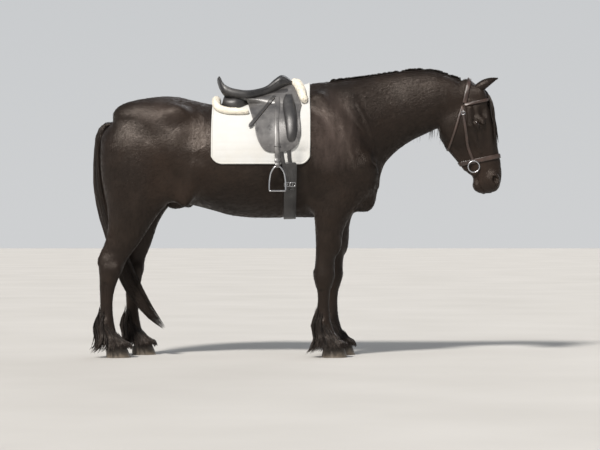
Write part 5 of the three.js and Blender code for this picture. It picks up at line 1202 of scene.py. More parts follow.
def refined(points, quads):
    """The net with its head parted finer, settled on the skin's own field."""
    mesh = bpy.data.meshes.new("net")
    mesh.from_pydata(points.tolist(), [], quads.tolist())
    bm = bmesh.new()
    bm.from_mesh(mesh)
    for turn in (1, 2):
        p = np.array([v.co for v in bm.verts])
        wanted = head_focus(p) >= turn
        edges = [e for e in bm.edges if wanted[e.verts[0].index] and wanted[e.verts[1].index]]
        bmesh.ops.subdivide_edges(bm, edges=edges, cuts=1, use_grid_fill=True)
        bm.verts.index_update()
    many = [f for f in bm.faces if len(f.verts) > 4]
    bmesh.ops.triangulate(bm, faces=many)
    bm.verts.index_update()
    p = np.array([v.co for v in bm.verts], float)
    faces = [[v.index for v in f.verts] for f in bm.faces]
    bm.free()
    bpy.data.meshes.remove(mesh)
    p = settle(skin_field, p, 6, -COAT_DEPTH, 2)
    return p, [f for f in faces if len(f) == 4], [f for f in faces if len(f) == 3]


def lie_of(p):
    """The direction that the short coat lies in at each point, before it is laid on the skin."""
    x, _, z = p.T
    u, _ = to_head(x, z)
    lie = np.tile(np.array([-0.86, 0.0, -0.5]), (len(p), 1))
    on_neck = smoothstep(330, 520, x)[:, None]
    lie = mix(lie, np.array([-0.8, 0.0, -0.62]), on_neck)
    down = (1 - smoothstep(620, 930, z))[:, None]
    lie = mix(lie, np.array([-0.05, 0.0, -1.0]), down)
    chest = (smoothstep(330, 430, x) * (1 - smoothstep(1150, 1300, z)))[:, None]
    lie = mix(lie, np.array([0.0, 0.0, -1.0]), chest)
    face = (smoothstep(900, 960, x) * smoothstep(-40, 40, u))[:, None]
    along = np.array([HEAD_ALONG[0], 0.0, HEAD_ALONG[1]]) + np.array([-0.25, 0, -0.1])
    return unit(mix(lie, along, face))


# The part of space that the unwrap covers, in millimetres
UNWRAP_REAR, UNWRAP_LENGTH, UNWRAP_LOW, UNWRAP_HEIGHT = 1180, 2440, 60, 1960


def unwrapped(p, n):
    """The place of each point on the skin's own unwrap: four charts, left and right, out and in."""
    x, y, z = p.T
    side = (y > 0).astype(float)
    inner = (n[:, 1] * np.sign(y) < -0.15) & (z < 1000)
    arc = z + 90 * np.sign(n[:, 2]) * (1 - np.abs(n[:, 1])) * (np.abs(n[:, 2]) > 0.2)
    u = 0.01 + 0.48 * (x + UNWRAP_REAR) / UNWRAP_LENGTH + 0.5 * side
    v = 0.03 + 0.4 * (arc + UNWRAP_LOW) / UNWRAP_HEIGHT + 0.5 * inner
    return np.stack([np.clip(u, 0.004, 0.994), np.clip(v, 0.004, 0.994)], 1)


# The field in cells of this size, which is quick enough for the many points of the hair
CELL = 10.4
GRID = Grid(body, (-1190, -400, 20), (1260, 400, 1720), CELL)


def grid_normal(p):
    """The way out of the skin at each point, from the sampled field."""
    return normal_at(p, 6.0, GRID)


net_points, net_quads = surface_net(GRID, -COAT_DEPTH)
skin_points, skin_quads, skin_tris = refined(net_points, net_quads)
skin = add_mesh("skin", skin_points, skin_quads, skin_tris, COAT)
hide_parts("head", "neck", "torso", "right_foreleg", "left_foreleg", "right_hindleg", "left_hindleg")
lie = lie_of(skin_points)
normal = grid_normal(skin_points)
lie = square_to(lie, normal)
give(skin.data, "lie", lie, "FLOAT_VECTOR")


# Eyes and lids
def eye_frame(side):
    out = unit(np.array([0.2, side, 0.06]))
    turn = math.radians(HEAD_TILT + LID["slant"])
    along = np.array([math.cos(turn), 0, math.sin(turn)])
    along = unit(along - out * (along @ out))
    centre = EYE_CENTRE * np.array([1, side, 1])
    return centre, out, along, np.cross(along, out) * side


def eyeball(side):
    centre, out, along, up = eye_frame(side)
    rings, around = 40, 56
    a = np.linspace(0.001, np.pi - 0.001, rings)[:, None, None]
    b = np.linspace(0, 2 * np.pi, around, endpoint=False)[None, :, None]
    bulge = 1 + 0.045 * np.exp(-((a / 0.42) ** 2))
    local = np.cos(a) * out + np.sin(a) * (np.cos(b) * along + np.sin(b) * up)
    rings_at = centre + EYE_RADIUS * bulge * local
    name = SIDES[side] + "_eyeball"
    made = add_loft(name, rings_at, EYE)
    p = np.array([v.co for v in made.data.vertices]) * 1000 - centre
    place = np.stack([p @ along, p @ up, p @ out], 1) / EYE_RADIUS
    give(made.data, "eye_place", place, "FLOAT_VECTOR")
    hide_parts(SIDES[side] + "_eye")


def eyelids(side):
    """Two lids that close round the eyeball and run out onto the skin."""
    centre, out, along, up = eye_frame(side)
    a = np.linspace(0, 2 * np.pi, 72, endpoint=False)
    lift = np.where(np.sin(a) > 0, 0.84 * LID["upper"], 0.82 * LID["lower"])
    p = LID["half"] * np.cos(a)
    q = lift * np.sign(np.sin(a)) * np.abs(np.sin(a)) ** 1.15
    opening = np.arcsin(np.minimum(np.hypot(p, q) / (EYE_RADIUS + 1), 0.98))
    turn = np.arctan2(q, p)

    def ring(swing, rise):
        angle, r = opening + swing, EYE_RADIUS + rise
        spoke = np.cos(turn)[:, None] * along + np.sin(turn)[:, None] * up
        return centre + (r * np.cos(angle))[:, None] * out + (r * np.sin(angle))[:, None] * spoke

    wide = 33.0 * np.cos(a)[:, None] * along + 25.0 * np.sin(a)[:, None] * up
    far = settle(skin_field, centre + out * 12 + wide, 30, -COAT_DEPTH + 0.3, 2, 6.0)
    edge, crest = ring(0.07, 3.0), ring(0.2, 3.9)
    upper = (np.clip(np.sin(a), 0, 1) ** 0.5)[:, None]
    # from the lid's crest out to the skin: share of the way, height, and the upper lid's own rise
    steps = ((0.25, 1.2, 0.6), (0.45, 0.9, -2.4), (0.65, 0.7, 0.9), (0.85, 0.3, 0.2))
    blends = [mix(crest, far, t) + out * (h + dip * upper) for t, h, dip in steps]
    under = [far, far - out * 5, ring(0.5, -4), ring(0.25, -3)]
    rings = np.stack([ring(0, 0.2), ring(0.0, 1.8), edge, crest, *blends, *under], 1)
    quads = grid_quads(*rings.shape[:2], wrap_rows=True, wrap_columns=True)
    points = rings.reshape(-1, 3)
    quads = outward_quads(points - centre, quads)
    made = add_mesh(SIDES[side] + "_eyelids", points, quads, (), LID_SKIN)
    add_modifier(made, "SUBSURF", levels=1, render_levels=1)


for side in SIDES:
    eyelids(side)
for side in SIDES:
    eyeball(side)

# Ears
EAR = {"length": 172.0, "sunk": 30.0, "wall": 4.2}
EAR_FORM = Profile([
    [0, 17, 168, 0],
    [0.16, 22, 152, 0],
    [0.32, 29, 124, 0],
    [0.5, 32, 102, 0],
    [0.68, 28, 88, 2],
    [0.84, 19, 80, 6],
    [0.95, 9, 76, 11],
    [1, 3.2, 70, 14],
])


def ear_frame(side):
    base = np.array(from_head(6, side * 40, 44))
    axis = unit(np.array(from_head(-34, side * 47, 192)) - base)
    back = np.array([-HEAD_ALONG[0], 0, -HEAD_ALONG[1]])
    back = unit(back - axis * (back @ axis))
    turn = side * math.radians(-34)
    back = back * math.cos(turn) + np.cross(axis, back) * math.sin(turn)
    return base, axis, back, np.cross(axis, back)


def ear_point(side, s, angle, inward):
    """A point of the ear's wall: place along it, angle in degrees from its back, depth inward."""
    base, axis, back, lateral = ear_frame(side)
    radius, lean = EAR_FORM(s, 0), EAR_FORM(s, 2)
    centre = base + axis * np.asarray(s * EAR["length"] - EAR["sunk"])[..., None]
    centre = centre - np.stack([0 * lean, side * lean, 0 * lean], -1)
    a, r = np.radians(angle)[..., None], (radius - inward)[..., None]
    return centre + back * r * np.cos(a) + lateral * r * np.sin(a)


def ear(side):
    s = np.linspace(0, 1, 40)[:, None]
    half = EAR_FORM(s, 1)
    wall = np.minimum(EAR["wall"], EAR_FORM(s, 0) * 0.4)
    f = np.linspace(-1, 1, 29)[None, :]
    outer = ear_point(side, s + 0 * f, f * half, 0.6 + 0 * s * f)
    g = np.linspace(0.93, -0.93, 25)[None, :]
    inner = ear_point(side, s + 0 * g, g * half, wall + 0 * g)
    rim = lambda g: ear_point(side, s, g * half * 0.995, 0.5 * wall)
    rings = np.concatenate([outer, rim(1.0), inner, rim(-1.0)], 1)
    name = SIDES[side]
    made = add_loft(name + "_ear_skin", rings, COAT_EAR)
    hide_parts(name + "_ear")
    return made, ear_frame(side)[1]


ears = [ear(side) for side in (-1, 1)]

# Hooves
# Toe, heel and width at the ground and at the top, the place beside the middle, the height in front
# and behind, and the middle of the leg over the hoof
HOOVES = {
    "fore": {
        "toe": (291, 262), "heel": (138, 147), "width": (130, 104),
        "side": 136, "top": (88, 46), "cannon": 158,
    },
    "hind": {
        "toe": (-967, -1002), "heel": (-1112, -1114), "width": (122, 106),
        "side": 150, "top": (88, 48), "cannon": -1106,
    },
}


def hoof(kind, side):
    size = HOOVES[kind]
    move = STEP_LEFT[kind] if side > 0 else 0
    a = np.linspace(0, 2 * np.pi, 72, endpoint=False)
    f = np.where(np.cos(a) < 0, -(np.abs(np.cos(a)) ** 0.8), np.cos(a))
    top_front, top_rear = size["top"]
    rings = []
    for h in np.concatenate([[0, 0.012, 0.05], np.linspace(0.09, 0.985, 34), [1.0]]):
        slope_in = h**0.94
        flare = 1.6 * (1 - smoothstep(0, 0.1, h)) * (h > 0)
        ridge = 0.5 * math.sin(h * 60) * (0.1 < h < 0.95)
        collar = 2.0 * smoothstep(0.86, 0.93, h) * (1 - smoothstep(0.97, 1.0, h))
        inset = 2.4 if h == 0 else 0.8 - 0.5 * flare - ridge - collar
        toe = mix(size["toe"][0], size["toe"][1], slope_in) - inset
        heel = mix(size["heel"][0], size["heel"][1], slope_in) + inset
        half = mix(size["width"][0], size["width"][1], slope_in) / 2 - inset
        x = mix(heel, toe, (f + 1) / 2)
        t = (x - heel) / (toe - heel)
        z = h * mix(top_rear, top_front, t)
        rings.append(np.stack([x + move, side * size["side"] + half * np.sin(a), z], 1))
    name = f"{SIDES[side]}_{kind}_hoof"
    made = add_loft(name + "_horn", rings, HORN)
    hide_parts(name)


for side in SIDES:
    for kind in ("fore", "hind"):
        hoof(kind, side)


# Hair: thin three-sided strands gathered in locks
THINNEST = 0.12
# The size of a strand's or a tuft's own patch on the skin's unwrap
PATCH = 0.003


def strands(name, paths, width, material, root_uv, roll=None, root=1.0):
    """One mesh of tapered strands. paths is (strands, points, 3) in millimetres."""
    n, k = paths.shape[:2]
    run = unit(np.gradient(paths, axis=1))
    guide = unit(rng.normal(size=(n, 1, 3))) if roll is None else roll
    out = square_to(guide, run)
    across = np.cross(run, out)
    s = np.linspace(0, 1, k)[None, :, None]
    form = (0.7 + 0.5 * np.sin(np.pi * s**0.8)) * (1 - s**4) * np.minimum(1, root + 9 * s)
    w = np.asarray(width)[:, None, None] * form + THINNEST
    rings = np.stack([paths - across * w * 0.5, paths + across * w * 0.5, paths + out * w * 0.5], 2)
    points = rings.reshape(-1, 3)
    block = k * 3
    quads = repeated(grid_quads(k, 3, wrap_columns=True), n, block)
    tris = repeated([[0, 2, 1], [block - 3, block - 2, block - 1]], n, block)
    t = points[quads[: (k - 1) * 3]]
    face = np.cross(t[:, 1] - t[:, 0], t[:, 2] - t[:, 0])
    near = paths[0][np.repeat(np.arange(k - 1), 3)]
    if (face * (t.mean(1) - near)).sum() < 0:
        quads, tris = quads[:, ::-1], tris[:, ::-1]
    made = add_mesh(name, points, quads, tris, material)
    mesh = made.data
    give(mesh, "tone", np.repeat(rng.random(n), block))
    tip = np.tile(np.repeat(np.linspace(0, 1, k), 3), n)
    give(mesh, "tip", tip)
    side = np.tile(np.array([0.0, 1.0, 0.5]), n * k)
    give_bake_layer(mesh, np.repeat(root_uv, block, 0) + PATCH * np.stack([side - 0.5, tip - 0.5], 1))
    return made


def root_places(paths):
    return unwrapped(paths[:, 0], grid_normal(paths[:, 0]))


def drape(start, heading, length, steps, level, stiff=0.9):
    """Paths that slide down the skin and hang free where it falls away, all at once."""
    at = settle(GRID, start, 60, 0, 2, 4.0)
    at = at + grid_normal(at) * np.asarray(level)[:, None]
    path = [at]
    stride = (np.asarray(length) / steps)[:, None]
    run = unit(np.array(heading, float))
    down = np.array([0, 0, -1.0])
    for i in range(steps):
        run = unit(mix(run, down, min(0.25 + stiff * i / steps, 1)))
        to = path[-1] + run * stride
        for _ in range(4):
            d = GRID(*to.T) - level
            out = grid_normal(to)
            to = to + out * np.maximum(-d, 0)[:, None]
        run = unit(to - path[-1])
        path.append(path[-1] + run * stride)
    return np.stack(path, 1)


def smooth_paths(paths, count):
    """Each path drawn again with more points, on a curve through the given ones."""
    k = paths.shape[1]
    t = np.linspace(0, k - 1, count)
    i = np.clip(t.astype(int), 0, k - 2)
    f = (t - i)[None, :, None]
    p0, p1 = paths[:, np.maximum(i - 1, 0)], paths[:, i]
    p2, p3 = paths[:, i + 1], paths[:, np.minimum(i + 2, k - 1)]
    second, third = 2 * p0 - 5 * p1 + 4 * p2 - p3, 3 * p1 - p0 - 3 * p2 + p3
    return 0.5 * (2 * p1 + (p2 - p0) * f + second * f**2 + third * f**3)


def lock_strands(guides, per_lock, half_width, half_depth, facing, tuck, wave, shortest=0.72, late=0.0):
    """Strands round each guide path: tuck is how close they lie at its tip, wave its depth and length,
    shortest the least share of the path they reach, and late how far down it they may begin."""
    n, k = guides.shape[:2]
    run = unit(np.gradient(guides, axis=1))
    out = square_to(facing, run)
    across = np.cross(run, out)
    length = np.linalg.norm(np.diff(guides, axis=1), axis=2).sum(1)
    g = np.repeat(np.arange(n), per_lock)
    m = len(g)
    a = rng.uniform(-1, 1, m)
    b = rng.uniform(-1, 1, m) * np.sqrt(1 - a * a)
    end = rng.uniform(shortest, 1.0, m) ** 0.7
    s = np.linspace(0, 1, k)
    begin = rng.uniform(0, late, m) if late else np.zeros(m)
    at = mix(begin[:, None], end[:, None], s[None, :]) * (k - 1)
    i = np.clip(at.astype(int), 0, k - 2)
    f = (at - i)[..., None]
    pick = lambda v: mix(v[g[:, None], i], v[g[:, None], i + 1], f)
    p, sideways, outward_ = pick(guides), pick(across), pick(out)
    share = (at / (k - 1))[..., None]
    spread = mix(1.0, tuck, share**1.6) * (0.8 + 0.8 * share * (1 - share))
    p = p + sideways * a[:, None, None] * half_width * spread
    p = p + outward_ * b[:, None, None] * half_depth * spread
    phase = rng.uniform(0, 2 * np.pi, n)[g][:, None, None]
    own = rng.normal(0, 0.5, m)[:, None, None]
    turns = (length[g] / wave[1])[:, None, None]
    ripple = wave[0] * share**0.8 * np.sin(2 * np.pi * turns * share + phase + own)
    ripple = ripple * rng.uniform(0.4, 1.2, n)[g][:, None, None]
    lift = 0.3 * wave[0] * share * np.sin(2 * np.pi * turns * share * 1.3 + 2 * phase + own)
    return p + sideways * ripple + outward_ * np.maximum(lift, -0.4 * half_depth)


def pushed_out(paths, level):
    """Keeps strands off the skin."""
    shape = paths.shape
    p = paths.reshape(-1, 3)
    for _ in range(2):
        d = GRID(*p.T) - level
        deep = np.where(d < 0)[0]
        if not len(deep):
            break
        out = grid_normal(p[deep])
        p[deep] -= out * d[deep][:, None]
    return p.reshape(shape)


# Mane
# How far long hair is kept off the skin
CLEAR_OF_SKIN = 1.5
MANE_LENGTH = Profile([[-60, 210], [100, 330], [300, 420], [450, 480], [560, 480], [680, 390]], 60)


def mane_facing(paths):
    shape = paths.shape
    g = slope(GRID, paths.reshape(-1, 3), 8.0)
    g[:, 0] = 0
    return unit(g).reshape(shape)


def mane():
    locks, per_lock, points = 150, 19, 10
    t = np.linspace(-44, 668, locks) + rng.uniform(-4, 4, locks)
    crest = np.array(from_neck(t, 0 * t, NECK_FORM(t, 0))).T
    root = crest + np.stack([0 * t, rng.uniform(-6, 10, locks), 0 * t], 1)
    lean = np.stack([rng.normal(-0.02, 0.16, locks), np.ones(locks), np.full(locks, 0.15)], 1)
    length = MANE_LENGTH(t, 0) * rng.uniform(0.8, 1.06, locks)
    level = rng.choice([3.0, 7.0, 11.0, 14.0], locks)
    guides = smooth_paths(drape(root, lean, length, 10, level), points)
    facing = mane_facing(guides)
    paths = lock_strands(guides, per_lock, 13.0, 4.0, facing, tuck=0.2, wave=(6.0, 170.0), shortest=0.6)
    paths = pushed_out(paths, CLEAR_OF_SKIN)
    width = rng.uniform(2.0, 3.9, len(paths))
    roll = np.repeat(facing[:, :1], per_lock, 0)
    made = strands("mane_hair", paths, width, HAIR, root_places(paths), roll=roll)
    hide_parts("mane")
    # short upright hair along the crest's right edge, where the mane is parted over
    count = 1400
    t = 680 - 740 * rng.uniform(0, 1, count) ** 1.25
    crest = np.array(from_neck(t, rng.uniform(-20, 2, count), NECK_FORM(t, 0))).T
    lean = np.stack([rng.normal(-0.5, 0.25, count), rng.uniform(0.5, 1.3, count), np.full(count, 0.22)], 1)
    length = rng.uniform(22, 46, count)
    paths = smooth_paths(drape(crest, lean, length, 4, np.full(count, 0.5), 0.6), 5)
    strands("mane_crest", paths, rng.uniform(1.4, 2.4, count), HAIR, root_places(paths), root=0.3)


def forelock():
    locks, per_lock, points = 34, 20, 9
    y = rng.uniform(-30, 30, locks)
    u = rng.uniform(8, 44, locks)
    root = np.array(from_head(u, 0.6 * y, 80 + 0 * y)).T
    heading = np.stack([np.full(locks, 0.8), y / 46 + rng.normal(0, 0.12, locks), np.full(locks, -0.6)], 1)
    length = rng.uniform(250, 372, locks)
    guides = smooth_paths(drape(root, heading, length, 9, rng.choice([3.0, 6.0, 9.0, 12.0], locks)), points)
    facing = normal_at(guides, 8.0, GRID)
    paths = lock_strands(guides, per_lock, 9.0, 4.0, facing, tuck=0.25, wave=(5.0, 140.0))
    paths = pushed_out(paths, CLEAR_OF_SKIN)
    made = strands("forelock_hair", paths, rng.uniform(2.0, 3.6, len(paths)), HAIR, root_places(paths))
    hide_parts("forelock")


# Tail
TAIL = [
    [-1086, 1362, 22, 28],
    [-1130, 1348, 26, 36],
    [-1162, 1296, 27, 46],
    [-1171, 1210, 28, 54],
    [-1168, 1110, 37, 60],
    [-1160, 1010, 45, 60],
    [-1140, 900, 48, 54],
    [-1112, 790, 50, 50],
    [-1080, 690, 48, 46],
    [-1040, 560, 52, 44],
    [-986, 430, 54, 42],
    [-920, 320, 44, 36],
    [-846, 225, 30, 26],
    [-782, 162, 10, 10],
]
TAIL_FORM = Profile([[i / (len(TAIL) - 1)] + row for i, row in enumerate(TAIL)])


def tail_point(s, angle, f):
    x, z, deep, wide = (TAIL_FORM(s, c) for c in range(4))
    dx = TAIL_FORM(s + 0.02, 0) - TAIL_FORM(s - 0.02, 0)
    dz = TAIL_FORM(s + 0.02, 1) - TAIL_FORM(s - 0.02, 1)
    size = np.hypot(dx, dz)
    c = f * deep * np.cos(angle)
    return np.stack([x - c * dz / size, f * wide * np.sin(angle), z + c * dx / size], -1)


def tail():
    count, k, groups = 3400, 10, 70
    start = rng.uniform(0.0, 0.34, count) ** 1.1
    reach = np.where(rng.random(count) < 0.5, rng.uniform(0.5, 0.9, count), rng.uniform(0.8, 1.0, count))
    group = rng.integers(0, groups, count)
    angle = (group * 2.4 + rng.normal(0, 0.12, count))[:, None]
    spin = rng.normal(0, 0.5, groups)[group][:, None]
    depth = (0.35 + 0.65 * np.sqrt(((group * 0.618) % 1)))[:, None] + rng.normal(0, 0.04, (count, 1))
    f = np.linspace(0, 1, k)[None, :]
    s = mix(start[:, None], reach[:, None], f)
    share = mix(0.8 * np.minimum(depth, 1), depth, np.minimum(2.5 * f, 1)) * mix(1, 0.95, f**3)
    wave = 0.22 * np.sin(9 * s + group[:, None] * 1.7) * f
    paths = tail_point(s, angle + spin * f + wave, np.clip(share, 0.05, 1.06))
    around = np.linspace(0, 2 * np.pi, 20, endpoint=False)[None, :]
    core = tail_point(np.linspace(0, 0.4, 16)[:, None], around, np.full((16, 20), 0.62))
    add_loft("tail_core", core, COAT_EAR)
    width = rng.uniform(2.4, 4.2, count)
    uv = root_places(paths)
    even = group % 2 == 0
    for name, node, half in (("tail_hair", "tail", even), ("tail_hair_end", "tail_end", ~even)):
        made = strands(name, paths[half], width[half], HAIR, uv[half], root=0.1)
        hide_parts(node)


# Feather
def leg_reach(kind, side):
    """How far the leg or its hoof reaches from its middle, by height and angle from the front."""
    size = HOOVES[kind]
    move = STEP_LEFT[kind] if side > 0 else 0
    toe, heel, half, y0 = size["toe"][0], size["heel"][0], size["width"][0] / 2, side * size["side"]
    z = np.linspace(5, 345, 35)
    a = np.linspace(-np.pi, np.pi, 49)
    middle = mix((toe + heel) / 2, size["cannon"], smoothstep(40, 200, z)) + move
    zz, aa = np.meshgrid(z, a, indexing="ij")
    c, s = np.cos(aa), np.sin(aa)
    hoof_r = 1 / np.hypot(c / ((toe - heel) / 2), s / half)
    r = np.where(zz < 88, hoof_r, 10.0)
    x0 = np.broadcast_to(middle[:, None], r.shape)
    for _ in range(120):
        inside = GRID(x0 + r * c, y0 + r * s, zz) < 0
        if not inside.any():
            break
        r = np.where(inside, r + 1, r)
    return z, a, middle, r, y0


def feather(kind, side):
    zs, angles, middle, table, y0 = leg_reach(kind, side)

    def place(z, angle, off):
        angle = (angle + np.pi) % (2 * np.pi) - np.pi
        i = np.clip((z - zs[0]) / (zs[1] - zs[0]), 0, len(zs) - 1.001)
        j = np.clip((angle - angles[0]) / (angles[1] - angles[0]), 0, len(angles) - 1.001)
        a, b = i.astype(int), j.astype(int)
        f, g = i - a, j - b
        near, far = mix(table[a, b], table[a + 1, b], f), mix(table[a, b + 1], table[a + 1, b + 1], f)
        r = mix(near, far, g) + off
        x = np.interp(z, zs, middle)
        return np.stack([x + r * np.cos(angle), y0 + r * np.sin(angle), z], -1)

    locks, per_lock, points = 100, 16, 7
    angle = np.linspace(-np.pi, np.pi, locks, endpoint=False) + rng.uniform(-0.06, 0.06, locks)
    behind = ((1 - np.cos(angle)) / 2) ** 1.2
    high = rng.uniform(0, 1, locks)
    top = mix(104, 318, behind) * mix(0.36, 1.04, high**0.8) + 40 * (1 - behind)
    low = mix(42, 12, behind) + rng.uniform(0, 18, locks) + 0.1 * top * (rng.random(locks) < 0.3)
    out = mix(9, 80, behind**1.3) * rng.uniform(0.5, 1.08, locks)
    f = np.linspace(0, 1, points)[None, :]
    z = mix(top[:, None], low[:, None], f)
    off = 0.6 + out[:, None] * f ** mix(1.7, 1.55, behind)[:, None] + 26 * behind[:, None] ** 2 * f**4
    drift = rng.normal(0, 0.12, locks)[:, None]
    guides = place(z, angle[:, None] + drift * f, off)
    centre = np.stack([np.interp(z, zs, middle), y0 + 0 * z, z - 20], -1)
    facing = unit(guides - centre)
    form = {"tuck": 0.4, "wave": (3.0, 90.0), "shortest": 0.66, "late": 0.3}
    paths = lock_strands(guides, per_lock, 13.0, 6.0, facing, **form)
    flat = paths.reshape(-1, 3)
    flat[:, 2] = np.maximum(flat[:, 2], 3.0)
    paths = pushed_out(flat.reshape(paths.shape), 0.4)
    name = f"{SIDES[side]}_{kind}_feather"
    width = rng.uniform(2.0, 3.6, len(paths))
    made = strands(name + "_hair", paths, width, HAIR, root_places(paths), root=0.1)
    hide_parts(name)


mane()
forelock()
tail()
for side in SIDES:
    for kind in ("fore", "hind"):
        feather(kind, side)


# The short coat's tufts
def under_tack(p):
    x, y, z = p.T
    under_pad = (x > -492) & (x < 68) & (z > 1135)
    under_girth = (x > -78) & (x < 0) & (np.abs(y) < 340) & (z > 780) & (z < 1140)
    return under_pad | under_girth


def coat_tufts(name, count, share, length, width, lift):
    """Fine flat tufts that lie along the coat, on the faces of the skin that share picks."""
    weight = FACE_AREAS * share(FACE_CENTRES) * OPEN_FACES
    faces = rng.choice(len(weight), count, p=weight / weight.sum())
    p = FACE_CENTRES[faces] + rng.normal(0, 4.5, (count, 3))
    p = settle(GRID, p, 10, -COAT_DEPTH - 0.6, 2, 3.0)
    n = grid_normal(p)
    tufts(name, p, n, lie_of(p), length, width, lift, 0.14)


def tufts(name, p, n, lie, length, width, lift, spread):
    count = len(p)
    run = lie + rng.normal(0, spread, (count, 3))
    run = square_to(run, n)
    across = np.cross(n, run)
    long = (length * rng.uniform(0.6, 1.2, count))[:, None]
    wide = (width * rng.uniform(0.7, 1.25, count))[:, None]
    rise = (lift * rng.uniform(0.3, 1.3, count))[:, None]
    a, b = p - across * wide * 0.5, p + across * wide * 0.5
    middle = p + run * long * 0.4 + n * (0.6 + 0.6 * rise)
    tip = p + run * long + n * (0.4 + rise)
    points = np.stack([a, b, middle, tip], 1).reshape(-1, 3)
    form = np.array([[0, 1, 2], [1, 3, 2], [3, 0, 2], [0, 3, 1]])
    t = points[:4][form]
    if (np.cross(t[:, 1] - points[0], t[:, 2] - points[0]) * (t[:, 0] - points[0])).sum() < 0:
        form = form[:, ::-1]
    made = add_mesh(name, points, (), repeated(form, count, 4), COAT_TUFT)
    mesh = made.data
    tilt = n + rng.normal(0, 0.09, (count, 3))
    shade = unit(np.stack([tilt - 0.3 * across, tilt + 0.3 * across, tilt, tilt + 0.1 * run], 1))
    mesh.normals_split_custom_set_from_vertices(shade.reshape(-1, 3).astype(np.float32))
    give(mesh, "tone", np.repeat(rng.random(count), 4))
    local = np.array([[0, 0], [1, 0], [0.5, 0.4], [0.5, 1]]) - 0.5
    give_bake_layer(mesh, np.repeat(unwrapped(p, n), 4, 0) + PATCH * np.tile(local, (count, 1)))


FACE_AREAS = read(skin.data.polygons, "area", 1)
FACE_CENTRES = read(skin.data.polygons, "center") * 1000
OPEN_FACES = ~under_tack(FACE_CENTRES)
LEG_TOP, HEAD_BACK = 640, 880


def zone(low_x, high_x, low_z=LEG_TOP, high_z=2000):
    low, high = np.array([low_x, low_z]), np.array([high_x, high_z])
    return lambda p: ((p[:, ::2] > low) & (p[:, ::2] <= high)).all(1).astype(float)


# Each piece of the coat: how many tufts, where, and their length, width and lift in millimetres
for name, count, share, length, width, lift in (
    ("coat_hindquarters", 30000, zone(-2000, -480), 22.0, 2.1, 1.5),
    ("coat_trunk", 26000, zone(-480, 330), 22.0, 2.1, 1.4),
    ("coat_neck", 30000, zone(330, HEAD_BACK), 20.0, 2.0, 1.5),
    ("coat_legs", 24000, zone(-2000, 2000, 60, LEG_TOP), 14.0, 1.8, 1.2),
    ("coat_head", 30000, zone(HEAD_BACK, 2000), 8.0, 1.2, 0.7),
):
    coat_tufts(name, count, share, length, width, lift)


def ear_tufts(made, axis, name):
    count = 3600
    p, n = read(made.data.polygons, "center") * 1000, read(made.data.polygons, "normal")
    pick = rng.choice(len(p), count)
    p, n = p[pick] + rng.normal(0, 1.4, (count, 3)) * (1 - np.abs(n[pick])), n[pick]
    tufts(name, p - n * 0.4, n, np.tile(axis, (count, 1)), 7.0, 1.0, 0.9, 0.2)


for (made, axis), name in zip(ears, ("coat_right_ear", "coat_left_ear")):
    ear_tufts(made, axis, name)


# Tack: pieces laid on the body
# Stitches for each leather: spacing, length and radius
FLAP_STITCH, GIRTH_STITCH, LEATHER_STITCH = (5.0, 3.4, 0.5), (6.0, 4.0, 0.5), (4.5, 3.0, 0.4)
SPARE_STITCH, BRIDLE_STITCH = (5.0, 3.2, 0.45), (4.2, 2.8, 0.36)
# How far a strap's edges are rounded
EDGE = 1.4


def strap_rings(path, half_width, low, high, normals=None):
    """A leather strap with rounded edges: low and high are its faces' heights over the skin."""
    path = np.asarray(path, float)
    n, across = along_path(path, normal_at(path, 5.0) if normals is None else normals)
    half = np.broadcast_to(np.asarray(half_width, float), (len(path),))[:, None]
    side = [(1, high - EDGE, 0), (1, high - 0.35 * EDGE, -0.35), (1, high, -1)]
    outline = [(a, low, 0) for a in (-1, -0.5, 0.5, 1)] + side
    outline += [(a, high + 0.5, 0) for a in (0.4, -0.4)] + [(-a, h, -c) for a, h, c in side[::-1]]
    return np.stack([path + across * (a * half + c * EDGE) + n * h for a, h, c in outline], 1)


def add_strap(name, path, half_width, low, high, material, slot, **more):
    return add_loft(name, strap_rings(path, half_width, low, high, **more), material)


def stitches(name, path, normals, material, spacing, length, radius):
    """A row of short sunk stitches along a path."""
    path, normals = np.asarray(path, float), np.asarray(normals, float)
    steps = np.linalg.norm(np.diff(path, axis=0), axis=1)
    total = np.concatenate([[0], np.cumsum(steps)])
    at = np.arange(spacing / 2, total[-1] - spacing / 2, spacing)
    pick = lambda v, s: np.stack([np.interp(s, total, v[:, c]) for c in range(3)], -1)
    rings, k = [], 4
    for f in np.linspace(-0.5, 0.5, k):
        s = at + f * length
        p, n = pick(path, s), unit(pick(normals, s))
        run = unit(pick(path, s + 0.5) - pick(path, s - 0.5))
        side = np.cross(run, n)
        r = radius * (1.0 if abs(f) < 0.4 else 0.5)
        p = p + n * (0.35 - 1.6 * f * f)
        turns = np.arange(4) * np.pi / 2
        rings.append(np.stack([p + r * (math.cos(a) * side + math.sin(a) * n) for a in turns], 1))
    rings = np.stack(rings, 1)
    count = len(at)
    points = rings.reshape(-1, 3)
    last = (k - 1) * 4
    caps = np.array([[0, 1, 2, 3], [last + 3, last + 2, last + 1, last]])
    quads = repeated(np.concatenate([grid_quads(k, 4, wrap_columns=True), caps]), count, 4 * k)
    return add_mesh(name, points, quads, (), material)


def seams(name, path, normals, across, rise, thread, size):
    """A row of stitches by each edge of a strap; size is spacing, length and radius."""
    rows = [stitches(name, path + across * s + normals * rise, normals, thread, *size) for s in (-1, 1)]
    return joined(name, rows)


def blurred(v, reach):
    """Values averaged with their neighbours on both sides."""
    whole = 2 * reach + 1
    return np.convolve(np.pad(v, reach, "edge"), np.ones(whole) / whole, "valid")


